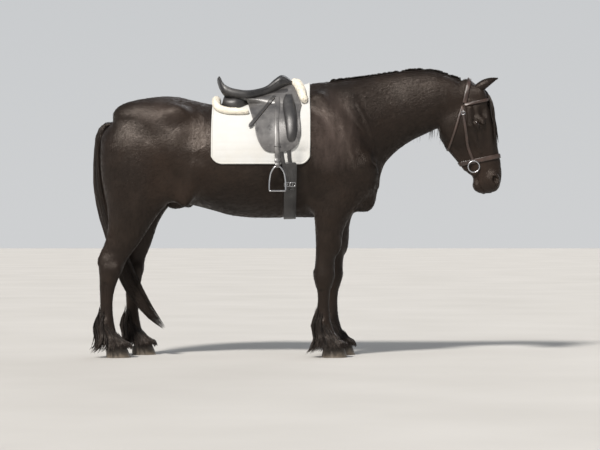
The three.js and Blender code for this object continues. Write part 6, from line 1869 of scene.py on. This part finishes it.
def rounded_loop(width, height, corner):
    """A rounded rectangle round the origin, as flat points."""
    w, h = width / 2 - corner, height / 2 - corner
    out = []
    for cx, cy, start in ((w, h, 0), (-w, h, 90), (-w, -h, 180), (w, -h, 270)):
        for a in map(math.radians, np.linspace(start, start + 90, 10)):
            out.append((cx + corner * math.cos(a), cy + corner * math.sin(a)))
    return np.array(out)


def buckle(name, centre, run, normal, width, height, wire):
    """A buckle frame with its tongue, lying on a strap that runs along run."""
    run, normal = unit(np.asarray(run, float)), unit(np.asarray(normal, float))
    normal = unit(normal - run * (run @ normal))
    across = np.cross(run, normal)
    loop = rounded_loop(width, height, min(width, height) * 0.22)
    path = np.asarray(centre) + loop[:, :1] * across + loop[:, 1:] * run
    up = np.broadcast_to(normal, path.shape)
    frame_made = add_tube(name, path, wire, STEEL, 8, closed=True, up=up)
    f = np.linspace(-0.5, 0.52, 10)[:, None]
    line = np.asarray(centre) + run * f * height + normal * (wire * (0.9 + 0.9 * (f > 0.3)))
    return joined(name, [frame_made, add_tube(name + "_tongue", line, wire * 0.7, STEEL, 6)])


# Saddle pad
PAD = {"rear": -498.0, "front": 75.0, "bottom": 1118.0, "centre": 1130.0, "thick": 12.0, "corner": 68.0}
QUILT_SIZE = 43.0
# The quilt's height over the coat at its seams, and between them with and without inflating
QUILT_BASE, QUILT_START, QUILT_PUFF = 6.2, 1.0, 4.6


def pad_bottom(x):
    edge = np.minimum(x - PAD["rear"], PAD["front"] - x)
    inset = np.clip(PAD["corner"] - edge, 0, PAD["corner"])
    return PAD["bottom"] + PAD["corner"] - np.sqrt(PAD["corner"] ** 2 - inset**2)


def inflate(made, pins, pressure, frames_run, cap):
    """Puffs a closed mesh up as cloth, held where pinned, and keeps the result."""
    mesh = made.data
    start = read(mesh.vertices, "co")
    group = made.vertex_groups.new(name="pins")
    group.add([int(i) for i in np.where(pins)[0]], 1.0, "REPLACE")
    cloth = made.modifiers.new("Cloth", "CLOTH")
    s = cloth.settings
    s.quality = 5
    s.mass = 0.25
    s.tension_stiffness = s.compression_stiffness = 22
    s.shear_stiffness = 8
    s.bending_stiffness = 1.2
    s.vertex_group_mass = "pins"
    s.use_pressure = True
    s.uniform_pressure_force = pressure
    s.effector_weights.gravity = 0
    cloth.point_cache.frame_start, cloth.point_cache.frame_end = 1, frames_run
    scene = bpy.context.scene
    for f in range(1, frames_run + 1):
        scene.frame_set(f)
    evaluated = made.evaluated_get(bpy.context.evaluated_depsgraph_get())
    end = np.nan_to_num(read(evaluated.data.vertices, "co"), nan=0.0)
    move = end - start
    size = np.linalg.norm(move, axis=1, keepdims=True)
    move = move / np.maximum(size, 1e-9) * np.minimum(size, cap / 1000)
    move[size[:, 0] > 0.2] = 0
    made.modifiers.remove(cloth)
    made.vertex_groups.remove(group)
    mesh.vertices.foreach_set("co", (start + move).astype(np.float32).ravel())
    mesh.update()
    scene.frame_set(1)


def saddle_pad():
    rows, columns = (141, 57)
    x = np.linspace(PAD["rear"] + 6, PAD["front"] - 6, columns)
    low = pad_bottom(x) + 6
    reach = np.degrees(np.arctan2(from_side(x, low, 2.0), low - PAD["centre"]))
    share = np.linspace(-1, 1, rows)[:, None]
    angle = share * reach[None, :]
    xs = np.broadcast_to(x[None, :], angle.shape)
    base = from_centre(xs, PAD["centre"], angle, 0.0)
    n = normal_at(base, 8.0)
    # channels run level along each side: the distance up from the straight lower edge
    step = np.linalg.norm(np.diff(base, axis=0), axis=2)
    down = np.concatenate([np.zeros((1, columns)), np.cumsum(step, 0)])
    down = np.abs(down - down[rows // 2])
    z = base[..., 2]
    half = rows // 2
    level = np.array([np.interp(1210.0, z[: half + 1, c], down[: half + 1, c]) for c in range(columns)])
    up = (level[None, :] - down) / QUILT_SIZE + 0.36
    seam = np.abs(up - np.round(up))
    puff = np.abs(np.sin(np.pi * up)) ** 0.5
    edge = np.minimum.outer(np.minimum(np.arange(rows), np.arange(rows)[::-1]), np.full(columns, 99))
    edge = np.minimum(edge, np.minimum(np.arange(columns), np.arange(columns)[::-1])[None, :])
    fade = np.clip(edge / 3, 0, 1)
    inner = base - n * 0.8
    height = QUILT_BASE + QUILT_START * puff * fade
    outer = base + n * height[..., None]
    made = add_shell("saddle_pad_quilt", inner, outer, QUILT)
    pins = np.ones(rows * columns * 2, bool)
    pins[rows * columns:] = ((seam < 0.1) | (edge < 2)).ravel()
    inflate(made, pins, pressure=9.0, frames_run=14, cap=6.0)
    add_modifier(made, "SUBSURF", levels=1, render_levels=1)
    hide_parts("saddle_pad")
    border = np.concatenate([base[0, :], base[1:, -1], base[-1, -2::-1], base[-2:0:-1, 0]])
    border = resample(lifted(border, 3.6), 420, closed=True)
    up = normal_at(border, 8.0)
    add_tube("saddle_pad_binding", border, 5.0, BINDING, 10, closed=True, up=up, flat=1.1)


saddle_pad()


def fleece_roll(name, stations, radius, node):
    """A round roll of short fleece over the back, from one side to the other."""
    last = len(stations) - 1
    table = Profile([[i / last, *row] for i, row in enumerate(stations)], 60)
    count, around = 110, 30
    f = np.linspace(-1, 1, count)
    x, angle = table(np.abs(f), 0), np.sign(f) * table(np.abs(f), 1)
    base = from_centre(x, PAD["centre"], angle, np.full(count, PAD["thick"] - 1.0))
    base = resample(smooth_line(base, 6), count)
    out, across = along_path(base, normal_at(base, 8.0))
    size = radius * mix(1, 0.74, np.abs(f)) * np.sqrt(np.clip(1 - np.abs(f) ** 30, 0.12, 1)) * 0.93
    a = np.linspace(0, 2 * np.pi, around, endpoint=False)[None, :, None]
    lumps = 0.05 * np.sin(26 * f)[:, None] * np.sin(3 * a[..., 0] + 5 * f[:, None])
    puffed = 1 + lumps + 0.012 * rng.normal(size=(count, around))
    size = size[:, None, None] * puffed[..., None]
    rings = base[:, None] + out[:, None] * size * (0.72 + np.sin(a)) + across[:, None] * size * np.cos(a)
    made = add_loft(name, rings, FLEECE)
    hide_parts(node)
    # the pile: short curled tufts all over the roll
    n = 4500
    i = rng.uniform(0.5, count - 1.5, n)
    j = rng.uniform(0, around, n)
    ii, jj = i.astype(int), j.astype(int)
    g, h = (i - ii)[:, None], (j - jj)[:, None]
    near = mix(rings[ii, jj % around], rings[ii, (jj + 1) % around], h)
    far = mix(rings[ii + 1, jj % around], rings[ii + 1, (jj + 1) % around], h)
    p = mix(near, far, g)
    c = rings.mean(1)[ii]
    away = unit(p - c)
    bend = unit(rng.normal(size=(n, 3)))
    k = np.linspace(0, 1, 3)[None, :, None]
    long = rng.uniform(2.6, 4.4, n)[:, None, None]
    path = (p - away * 1.2)[:, None] + away[:, None] * long * k * (1 - 0.3 * k)
    path = path + bend[:, None] * long * 0.8 * k**1.5
    pile = strands(name + "_pile", path, rng.uniform(2.2, 3.4, n), FLEECE, np.full((n, 2), 0.5))
    pile.data.uv_layers.remove(pile.data.uv_layers["OFBake"])


def smooth_line(path, turns=3, closed=False):
    for _ in range(turns):
        if closed:
            path = 0.5 * path + 0.25 * (np.roll(path, 1, 0) + np.roll(path, -1, 0))
        else:
            inner = 0.5 * path[1:-1] + 0.25 * (path[:-2] + path[2:])
            path = np.concatenate([path[:1], inner, path[-1:]])
    return path


# Each roll's line over one side: place and angle from the top
REAR_ROLL = [
    [-478, 0],
    [-478, 11],
    [-476, 20],
    [-466, 27],
    [-446, 30.6],
    [-410, 33],
    [-352, 34.8],
    [-280, 36],
]
FRONT_ROLL = [[-10, 0], [6, 5], [17, 10.5], [27, 15.6], [37, 20.8], [46, 26]]
fleece_roll("fleece_rear", REAR_ROLL, 25, "pad_roll_rear")
fleece_roll("fleece_front", FRONT_ROLL, 30, "pad_roll_front")


# Saddle
# The flap: height, rear and front edge
FLAP_STATIONS = [
    [1188, -160, -86],
    [1192, -176, -62],
    [1202, -196, -34],
    [1236, -220, -2],
    [1286, -240, 16],
    [1345, -250, 16],
    [1410, -270, 12],
    [1462, -286, 22],
]
# The seat: place, height at the middle, at the rim, half width, underside
SEAT = [
    [-470, 1630, 1632, 40, 1604],
    [-456, 1636, 1642, 92, 1566],
    [-432, 1592, 1604, 134, 1532],
    [-400, 1566, 1581, 148, 1514],
    [-350, 1550, 1567, 152, 1502],
    [-290, 1548, 1560, 146, 1496],
    [-230, 1564, 1567, 120, 1508],
    [-175, 1592, 1582, 92, 1526],
    [-136, 1626, 1608, 76, 1542],
    [-98, 1651, 1632, 66, 1560],
    [-68, 1646, 1626, 60, 1576],
    [-42, 1626, 1612, 52, 1586],
    [-24, 1612, 1604, 40, 1590],
]
SEAT_FORM = Profile(SEAT, 200)
FLAP_FACE = PAD["thick"] + 5.5


def upright_grid(stations, rows, columns):
    """Places seen from the side, between a rear and a front edge given by height."""
    form = Profile(stations, 60)
    z = np.linspace(stations[0][0], stations[-1][0], rows)[:, None]
    f = np.linspace(0, 1, columns)[None, :]
    x = mix(form(z, 0), form(z, 1), f)
    return x, np.broadcast_to(z, x.shape), f


def lower_flap():
    """The left flap's inner and outer grid, up to where it leaves the pad."""
    x, zs, _ = upright_grid(FLAP_STATIONS, 66, 44)
    base = np.stack([x, from_side(x, zs, 0.0), zs], -1)
    n = normal_at(base, 8.0)
    return base + n * (PAD["thick"] - 1), base + n * FLAP_FACE, n


flap_in, flap_out, flap_n = lower_flap()


def to_seat(low_row, normals, off):
    """Rows that carry the flap on up to the seat's lower edge."""
    x = np.linspace(-316, -28, low_row.shape[0])
    seat_row = np.stack([x, SEAT_FORM(x, 2) * 0.92 + off, SEAT_FORM(x, 3) + 8], 1)
    bend = (low_row + seat_row) / 2 + normals * 16 + np.array([0, 10, 6])
    t = np.linspace(0, 1, 26)[1:, None, None]
    return (1 - t) ** 2 * low_row + 2 * t * (1 - t) * bend + t * t * seat_row


def grid_normals(grid, toward):
    n = unit(np.cross(np.gradient(grid, axis=0), np.gradient(grid, axis=1)))
    return n * np.sign((n * toward).sum(-1, keepdims=True))


upper = to_seat(flap_out[-1], flap_n[-1], 0.0)
flap_out = np.concatenate([flap_out, upper])
flap_n = grid_normals(flap_out, np.array([0, 1.0, 0.6]))
flap_in = np.concatenate([flap_in, upper - flap_n[-25:] * 4.5])
# the flap in the lighter leather, whose paler colour is a painted highlight
flap = crisp(add_shell("flap", flap_in, flap_out, PAINTED_HIGHLIGHT_LEATHER), 1.6, 3)
pair(flap, "flap_leather_painted_highlight", "saddle_leather", "saddle_flap")


def on_flap(x, z, off):
    """The point of the flap's face at a place seen from the side, raised by off."""
    x, z = np.atleast_1d(np.asarray(x, float)), np.atleast_1d(np.asarray(z, float))
    flat = flap_out.reshape(-1, 3)
    d = np.hypot(flat[:, 0] - x[:, None], flat[:, 2] - z[:, None])
    near = np.argsort(d, axis=1)[:, :4]
    w = 1 / (np.take_along_axis(d, near, 1) + 0.5)
    w = (w / w.sum(1, keepdims=True))[..., None]
    p, n = (flat[near] * w).sum(1), unit((flap_n.reshape(-1, 3)[near] * w).sum(1))
    beyond = np.take_along_axis(d, near[:, :1], 1)[:, 0] > 9
    p = np.stack([x, p[:, 1], z], 1)
    if beyond.any():
        p[beyond, 1] = from_side(x[beyond], z[beyond], FLAP_FACE)
    return p + n * off, n


seam_lines = []
for column in (2, flap_out.shape[1] - 3):
    ns = flap_n[2:-4, column]
    line = flap_out[2:-4, column] + ns * 0.1
    seam_lines.append(stitches("flap_stitch", line, ns, THREAD_DARK, *FLAP_STITCH))
pair(joined("flap_stitching", seam_lines), "flap_stitching", "saddle_leather")

# The knee block: height, rear and front edge
BLOCK = [
    [1248, -46, -26],
    [1256, -54, -16],
    [1272, -60, -10],
    [1330, -68, 0],
    [1400, -76, -4],
    [1462, -84, -14],
    [1500, -80, -24],
    [1530, -66, -34],
]


def knee_block():
    """The padded block on the flap's front, drawn up under the seat."""
    rows, columns = 84, 23
    x, zs, f = upright_grid(BLOCK, rows, columns)
    face, n = on_flap(x.ravel(), zs.ravel(), 0.0)
    face, n = face.reshape(*x.shape, 3), n.reshape(*x.shape, 3)
    face = np.stack([smooth_line(face[:, c], 6) for c in range(columns)], 1)
    t = np.linspace(0, 1, rows)[:, None]
    swell = (1 - (2 * t - 1) ** 6) * (1 - (2 * f - 1) ** 2) ** 0.5
    high = mix(18.0, 12.0, smoothstep(0.6, 1.0, t))
    return face - n * 1.5, face + n * (1.2 + high * swell)[..., None], n


block_in, block_out, block_n = knee_block()
block = add_shell("block", block_in, block_out, SADDLE)
for b in pair(block, "knee_block_leather", "saddle_leather", "knee_block"):
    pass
welt = np.concatenate([block_in[2:, 0][::-1], block_in[0, 3:-3], block_in[2:, -1]])
welt_up = np.concatenate([block_n[2:, 0][::-1], block_n[0, 3:-3], block_n[2:, -1]])
welt = smooth_line(welt + welt_up * 3.4, 4)
pair(add_tube("welt", welt, 1.7, SADDLE, 8), "knee_block_welt", "saddle_leather")


def seat():
    x = np.linspace(-470, -24, 110)
    middle, rim, half, under = (SEAT_FORM(x, c)[:, None] for c in range(4))
    f = np.linspace(0, 1, 26)[None, :]
    top_y = half * f
    top_z = mix(middle, rim, f**2) - 14 * smoothstep(0.8, 1.0, f) ** 1.5
    g = np.linspace(0.97, 0, 10)[None, :]
    low_y = half * g * 0.94
    low_z = under - 1 + 2 * (1 - g)
    y = np.concatenate([top_y, low_y], 1)
    z = np.concatenate([top_z, low_z], 1)
    one = np.stack([np.broadcast_to(x[:, None], y.shape), y, z], -1)
    other = one[:, 1:-1][:, ::-1] * np.array([1, -1, 1])
    made = add_loft("seat_leather", np.concatenate([one, other], 1), SADDLE)
    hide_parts("saddle_seat")
    rim_line = np.stack([x, half[:, 0] * 0.985, rim[:, 0] - 13.0], 1)
    for sign, name in ((1, "left"), (-1, "right")):
        line = resample(rim_line * np.array([1, sign, 1]), 160)
        add_tube(name + "_seat_welt", line, 2.2, SADDLE, 8)


seat()


def under_panel():
    form = Profile([
        [-446, 4, 17, 30],
        [-425, 3.5, 22.5, 52],
        [-370, 3.5, 25.5, 60],
        [-325, 3.5, 23, 52],
        [-290, 3.5, 17.5, 46],
        [-240, 3.5, 16, 38],
        [-140, 3.5, 17, 30],
        [-60, 4, 18, 30],
        [-36, 4.5, 16, 20],
    ])
    x = np.linspace(-446, -36, 70)
    start, end, high = (form(x, c)[:, None] for c in range(3))
    f = np.linspace(0, 1, 14)[None, :]
    on_pad = PAD["thick"] - 2.0
    low = from_centre(x[:, None], PAD["centre"], mix(start, end, f), on_pad)
    g = np.linspace(1, 0, 18)[None, :]
    round_ = np.sqrt(np.clip(1 - (2 * g - 1) ** 4, 0, 1))
    level = PAD["thick"] - 1 + high * (0.12 + 0.88 * round_) * mix(1.0, 0.72, g**2)
    tip = np.clip((x + 446) / 14, 0.25, 1)[:, None]
    top = from_centre(x[:, None], PAD["centre"], mix(start, end, g), level * tip)
    rings = np.concatenate([low, top], 1)
    made = add_loft("panel", rings, SADDLE)
    for p in pair(made, "panel_leather", "saddle_leather", "saddle_panel"):
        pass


under_panel()

# Girth, stirrups and leathers
STIRRUP = {"x": -115.0, "y": 346.0, "bottom": 960.0, "top": 1112.0, "width": 104.0, "wire": 11.0}


def girth():
    angle = np.linspace(88, 272, 120)
    x = -40 + 6 * np.cos(np.radians(angle))
    middle = from_centre(x, 1120, angle, 0.0)
    over = np.where(middle[:, 2] > PAD["bottom"] - 16, PAD["thick"] - 2, 0)
    middle = lifted(middle, blurred(over, 4))
    end = np.minimum(np.arange(120), np.arange(120)[::-1])
    rings = strap_rings(middle, 36.0 - 9.0 * np.clip(1 - end / 3, 0, 1) ** 2, 1.0, 8.5)
    made = add_loft("girth_leather", rings, SADDLE)
    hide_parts("girth")
    n, across = along_path(middle, normal_at(middle, 6.0))
    seam = seams("girth_stitching", middle, n, across * 30, 9.2, THREAD_DARK, GIRTH_STITCH)


girth()


def billets():
    """Two billets a side, each with its buckle, over the girth's end."""
    made, frames_made = [], []
    for top_x, low_x in ((-92, -62), (-50, -30)):
        z = np.linspace(1200, 962, 70)
        x = mix(top_x, low_x, 1 - smoothstep(1010, 1190, z))
        y = from_side(x, z, 0.0)
        p = np.stack([x, y, z], 1)
        lift = blurred(np.where(z > 1112, PAD["thick"] + 1, 10.0), 5)
        n = normal_at(p, 6.0)
        p = p + n * lift[:, None]
        half = 11.0 * np.minimum(1, np.maximum((z - 960.0) / 12, 0.02) ** 0.5)
        made.append(add_strap("billet", p, half, -1.5, 2.0, SADDLE, None, normals=n))
        at = int(np.argmin(np.abs(z - 1006)))
        frames_made.append(buckle("buckle", p[at] + n[at] * 2.8, p[at + 1] - p[at - 1], n[at], 31, 24, 2.0))
        at = int(np.argmin(np.abs(z - 978)))
        across = unit(np.cross(p[at + 1] - p[at], n[at]))
        outline = ((-13, -1), (-13, 2.6), (-12, 3.6), (12, 3.6), (13, 2.6), (13, -1))
        ring = np.stack([p[at] + across * c + n[at] * h for c, h in outline])
        made.append(add_tube("keeper", ring, 2.2, SADDLE, 6))
    pair(joined("billets", made), "billets", "saddle_leather")
    pair(joined("girth_buckles", frames_made), "girth_buckles", "steel")


billets()


def stirrup_leather():
    z = np.array([1512, 1490, 1465, 1440, 1400, 1350, 1300, 1250, 1205.0])
    x = np.full(len(z), -118.0)
    top, _ = on_flap(x, z, 3.5)
    path = [tuple(v) for v in smooth_line(top, 2)]
    below_flap = float(from_side(-118.0, 1150.0, PAD["thick"] + 9.5))
    y, eye_top = STIRRUP["y"] + 1, STIRRUP["top"]
    path += [(-118, below_flap, 1150), (-116, y, eye_top + 6), (STIRRUP["x"], y, eye_top - 14)]
    path = smooth_paths(np.array(path)[None], 90)[0]
    n = np.tile(np.array([0.0, 1, 0]), (len(path), 1))
    n = unit(n + np.array([0, 0, 0.5]) * smoothstep(1440, 1510, path[:, 2])[:, None])
    # the outer face in the lighter leather, a painted highlight; the face behind it in the plain black
    # saddle leather
    outer = add_strap("leather", path, 13.0, -1.0, 2.4, PAINTED_HIGHLIGHT_LEATHER, None, normals=n)
    behind = path[:-6] + np.array([5.0, -3.4, 0])
    inner = add_strap("leather_back", behind, 13.0, -1.0, 1.6, SADDLE, None, normals=n[:-6])
    parts = [outer, inner]
    outline = ((-14, -4), (-15, 1), (-14, 4.2), (14, 4.2), (20, 1), (19, -4))
    for x, y, z in path[[62, 76]]:
        ring = np.array([[x + c, y + h, z] for c, h in outline])
        parts.append(add_tube("keeper", ring, 2.4, SADDLE, 6))
    pair(joined("leather", parts), "stirrup_strap", "saddle_leather", "stirrup_leather")
    line, to_edge = path[4:-4] + np.array([0, 2.95, 0]), np.array([10.4, 0, 0])
    seam = seams("stirrup_stitching", line, n[4:-4], to_edge, 0.0, THREAD_DARK, LEATHER_STITCH)
    pair(seam, "stirrup_stitching", "saddle_leather")
    holes = []
    turn = np.linspace(0, 2 * np.pi, 12, endpoint=False)[:, None]
    oval = np.cos(turn) * np.array([1.7, 0, 0]), np.sin(turn) * np.array([0, 0, 2.2])
    for at in range(20, 50, 5):
        ring = path[at] + n[at] * 2.9 + oval[0] + oval[1]
        holes.append(add_tube("hole", ring, 0.9, THREAD_DARK, 5, closed=True))
    pair(joined("strap_holes", holes), "strap_holes", "saddle_leather")


def keeper_strap():
    """The spare end of the leather, drawn back across the flap."""
    f = np.linspace(0, 1, 50)
    x = mix(-134, -279, f)
    z = mix(1520, 1334, f)
    path, n = on_flap(x, z, 1.0)
    path = smooth_line(path, 8)
    path[:, 1] += 3.0
    n = unit(smooth_line(n, 8))
    half = 11.0 * np.sqrt(np.clip((1.0 - f) / 0.06, 0.02, 1))
    made = add_strap("spare_end", path, half, -1.0, 2.6, SADDLE, None, normals=n)
    pair(made, "spare_strap", "saddle_leather")
    run = unit(np.gradient(path, axis=0))
    across = np.cross(run, n)
    path, n, across = path[2:-4], n[2:-4], across[2:-4]
    seam = seams("spare_stitching", path, n, across * 8.2, 3.1, THREAD_PALE, SPARE_STITCH)
    pair(seam, "spare_stitching", "saddle_leather")


keeper_strap()
stirrup_leather()


def stirrup_iron():
    s = STIRRUP
    half = s["width"] / 2 - s["wire"] / 2
    low, peak = s["bottom"] + 8, s["top"] - s["wire"] / 2
    side = np.array([
        [half, low],
        [half + 0.5, low + 30],
        [half * 0.97, low + 60],
        [half * 0.82, peak - 40],
        [half * 0.55, peak - 16],
        [half * 0.3, peak - 4],
        [0, peak],
    ])
    curve = smooth_paths(np.pad(side, ((0, 0), (0, 1)))[None], 50)[0][:, :2]
    whole = np.concatenate([curve, (curve * np.array([-1, 1]))[::-1][1:]])
    path = np.stack([s["x"] + whole[:, 0], np.full(len(whole), s["y"]), whole[:, 1]], 1)
    depth = mix(1.5, 0.85, np.clip((whole[:, 1] - low) / 60, 0, 1))
    up = np.tile(np.array([0.0, 1, 0]), (len(path), 1))
    rings = tube_rings(path, 4.6, 14, up=up)
    centre, one = path[:, None], np.ones_like(depth)
    rings = centre + (rings - centre) * np.stack([one, depth, one], 1)[:, None]
    bow = add_loft("bow", rings, STEEL)
    f = np.linspace(-1, 1, 30)
    sole = np.stack([s["x"] + f * (half + 1), np.full(30, s["y"]), np.full(30, s["bottom"] + 5.2)], 1)
    tread = add_loft("tread", tube_rings(sole, 5.0, 18, up=up[:30]), STEEL)
    co = np.array([v.co for v in tread.data.vertices])
    # the tread is drawn round and then widened across the foot
    co[:, 1] = (co[:, 1] - s["y"] / 1000) * 3.3 + s["y"] / 1000
    tread.data.vertices.foreach_set("co", co.astype(np.float32).ravel())
    pair(joined("iron", [bow, tread]), "stirrup_steel", "steel", "stirrup_iron")
    # a ribbed rubber pad on the tread
    parts = []
    for k in range(11):
        x = s["x"] + (k - 5) * 7.4
        line = np.stack([np.full(8, x), s["y"] + np.linspace(-14, 14, 8), np.full(8, s["bottom"] + 10.4)], 1)
        parts.append(add_tube("rib", line, 2.6, RUBBER, 8))
    pair(joined("tread_rubber", parts), "tread_rubber", "saddle_leather")


stirrup_iron()


# Bridle
def round_path(a, b, reach, count, level=0.0, start=None):
    """Round the head in one slanted plane, seen from the side as the line from a to b."""
    (ax, az), (bx, bz) = a, b
    cx, cz, size = (ax + bx) / 2, (az + bz) / 2, math.hypot(bx - ax, bz - az)
    dx, dz = (bx - ax) / size, (bz - az) / size
    angle = np.radians(np.linspace(-reach if start is None else start, reach, count))
    c, s = np.cos(angle), np.sin(angle)
    level = np.full(count, float(level))
    r = bisect(lambda r: (cx + r * c * dx, r * s, cz + r * c * dz), level, 400.0)
    return np.stack([cx + r * c * dx, r * s, cz + r * c * dz], 1)


def on_head(u, v):
    x, _, z = from_head(u, 0, v)
    return x, z


def side_path(points, count):
    p = np.array([on_head(u, v) for u, v in points])
    p = smooth_paths(np.pad(p, ((0, 0), (0, 1)))[None], count)[0]
    return np.stack([p[:, 0], from_side(p[:, 0], p[:, 1]), p[:, 1]], 1)


# How far the straps' undersides lie under the skin
STRAP_LOW = -1.5


def bridle_strap(name, path, half, high, node, closed=False, stitched=True):
    path = smooth_line(path, 4, closed)
    n = normal_at(path, 8.0)
    if closed:
        n = square_to(n, unit(np.roll(path, -1, 0) - np.roll(path, 1, 0)))
        lap = np.concatenate([path, path[:2]])
        rings = strap_rings(lap, half, STRAP_LOW, high, normals=np.concatenate([n, n[:2]]))[:-1]
        rings[0] = rings[-1]
        points = rings[:-1].reshape(-1, 3)
        quads = grid_quads(len(rings) - 1, rings.shape[1], wrap_rows=True, wrap_columns=True)
        quads = outward_quads(points - points.mean(0), quads)
        made = add_mesh(name, points, quads, (), BRIDLE)
    else:
        made = add_strap(name, path, half, STRAP_LOW, high, BRIDLE, "bridle_leather", normals=n)
    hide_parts(node)
    if stitched:
        n, across = along_path(path, n)
        across = across * (half - 2.6)
        seam = seams(name + "_stitching", path, n, across, high + 0.45, THREAD_DARK, BRIDLE_STITCH)


CROWN_LINE = (on_head(112, -60), on_head(-34, 8))
BROW_LINE = (on_head(88, -58), on_head(80, 94))
THROAT_LINE = (on_head(92, -58), on_head(333, -192))
NOSE_LINE = (on_head(416, 104), on_head(420, -136))
bridle_strap("crown_strap", round_path(*CROWN_LINE, 116, 96), 12.0, 5.2, "bridle_crown")
bridle_strap("brow_strap", round_path(*BROW_LINE, 128, 90), 8.5, 7.0, "browband", stitched=False)
throat = round_path(*THROAT_LINE, 150, 110, level=1)
bridle_strap("throat_strap", throat, 6.0, 4.2, "throatlatch", stitched=False)
bridle_strap("nose_strap", round_path(*NOSE_LINE, 356, 120, start=0), 13.0, 5.6, "noseband", closed=True)
CHEEK = [(88, -59), (112, -60), (171, -64), (236, -67), (312, -72), (362, -66), (404, -58)]


def cheekpiece():
    path = smooth_line(side_path(CHEEK, 80), 3)
    n = normal_at(path, 8.0)
    strap_made = add_strap("cheek", path, 8.0, -1.0, 5.4, BRIDLE, None, normals=n)
    pair(strap_made, "cheek_strap", "bridle_leather", "cheekpiece")
    low = smooth_line(side_path([(404, -58), (416, -58), (428, -59)], 16), 2)
    nl = normal_at(low, 8.0)
    lower = add_strap("billet_cheek", low + nl * 4.5, 7.0, 0.0, 3.0, BRIDLE, None, normals=nl)
    pair(lower, "cheek_billet", "bridle_leather")
    square, across = along_path(path, n)
    seam = seams("cheek_stitching", path, square, across * 5.6, 5.9, THREAD_DARK, BRIDLE_STITCH)
    pair(seam, "cheek_stitching", "bridle_leather")
    i = 18
    made = buckle("cheek_buckle", path[i] + n[i] * 6.6, path[i + 1] - path[i], n[i], 21, 18, 1.5)
    pair(made, "cheek_buckle", "steel")


cheekpiece()
BIT = {"radius": 33.0, "wire": 4.2, "off": 14.0}
bx, _, bz = from_head(449, 0, -60)
by = float(from_side(bx, bz, 0.0)) + BIT["off"]
a = np.linspace(0, 2 * np.pi, 64, endpoint=False)
ring = np.stack([bx + BIT["radius"] * np.cos(a), np.full(64, by), bz + BIT["radius"] * np.sin(a)], 1)
bit = add_tube("bit", ring, BIT["wire"], STEEL, 14, closed=True)
pair(bit, "bit_loose_ring", "steel", "bit_ring")


# The stage
# The picture's width and the camera's distance in pixels, from the photograph's perspective
PICTURE_WIDTH, FOCAL, SHIFT = 600, 2210, 2.5
SENSOR = 36.0
CAMERA_AT = (0.0, -13.0, 0.77)
FLOOR_HALF = 60.0
# The sky by height, from level (0.5) to straight up (1.0)
SKY = (
    (0.5, (0.62, 0.63, 0.64)),
    (0.56, (0.58, 0.595, 0.61)),
    (0.7, (0.17, 0.175, 0.19)),
    (1.0, (0.4, 0.43, 0.47)),
)
# Each sun's name, the way toward it, its strength, its width in degrees and its colour
SUNS = (
    ("key", (-0.36, -0.7, 0.72), 4.6, 9, (1.0, 0.955, 0.9)),
    ("back", (0.35, 0.8, 0.45), 0.7, 40, (0.95, 0.97, 1.0)),
)


def link(name, data):
    made = bpy.data.objects.new(name, data)
    bpy.context.scene.collection.objects.link(made)
    return made


def lay_floor():
    m, t, shader = new_material("floor")
    slow = t.noise(t.place(), 0.8, 4.0)
    color = t.ramp(slow, (0.3, (0.5, 0.485, 0.46)), (0.7, (0.55, 0.535, 0.51)))
    t.put(shader, {"Base Color": color, "Roughness": 0.9, "Specular IOR Level": 0.1})
    mesh = bpy.data.meshes.new("floor")
    corners = [(x * FLOOR_HALF, y * FLOOR_HALF, 0) for x, y in ((-1, -1), (1, -1), (1, 1), (-1, 1))]
    mesh.from_pydata(corners, [], [(0, 1, 2, 3)])
    floor = link("floor", mesh)
    mesh.materials.append(m)


def light_up():
    world = bpy.data.worlds.new("studio")
    bpy.context.scene.world = world
    world.use_nodes = True
    t = Nodes(world.node_tree)
    coords = t.new("TexCoord").outputs["Generated"]
    up = t.between(t.parts(coords)["Z"], -1.0, 1.0, 0.0, 1.0)
    t.put(world.node_tree.nodes["Background"], {"Color": t.ramp(up, *SKY), "Strength": 1.0})
    for name, toward, power, angle, color in SUNS:
        light = bpy.data.lights.new(name, "SUN")
        light.energy, light.angle, light.color = power, math.radians(angle), color
        link(name, light).rotation_euler = Vector(toward).to_track_quat("Z", "Y").to_euler()


def set_camera():
    camera = bpy.data.cameras.new("camera")
    eye = link("camera", camera)
    eye.location = CAMERA_AT
    eye.rotation_euler = (math.radians(90), 0, 0)
    camera.sensor_width = SENSOR
    camera.lens = FOCAL * SENSOR / PICTURE_WIDTH
    camera.shift_x = SHIFT / PICTURE_WIDTH
    camera.clip_end = 200
    bpy.context.scene.camera = eye
    bpy.context.scene.view_settings.view_transform = "Standard"


lay_floor()
light_up()
set_camera()
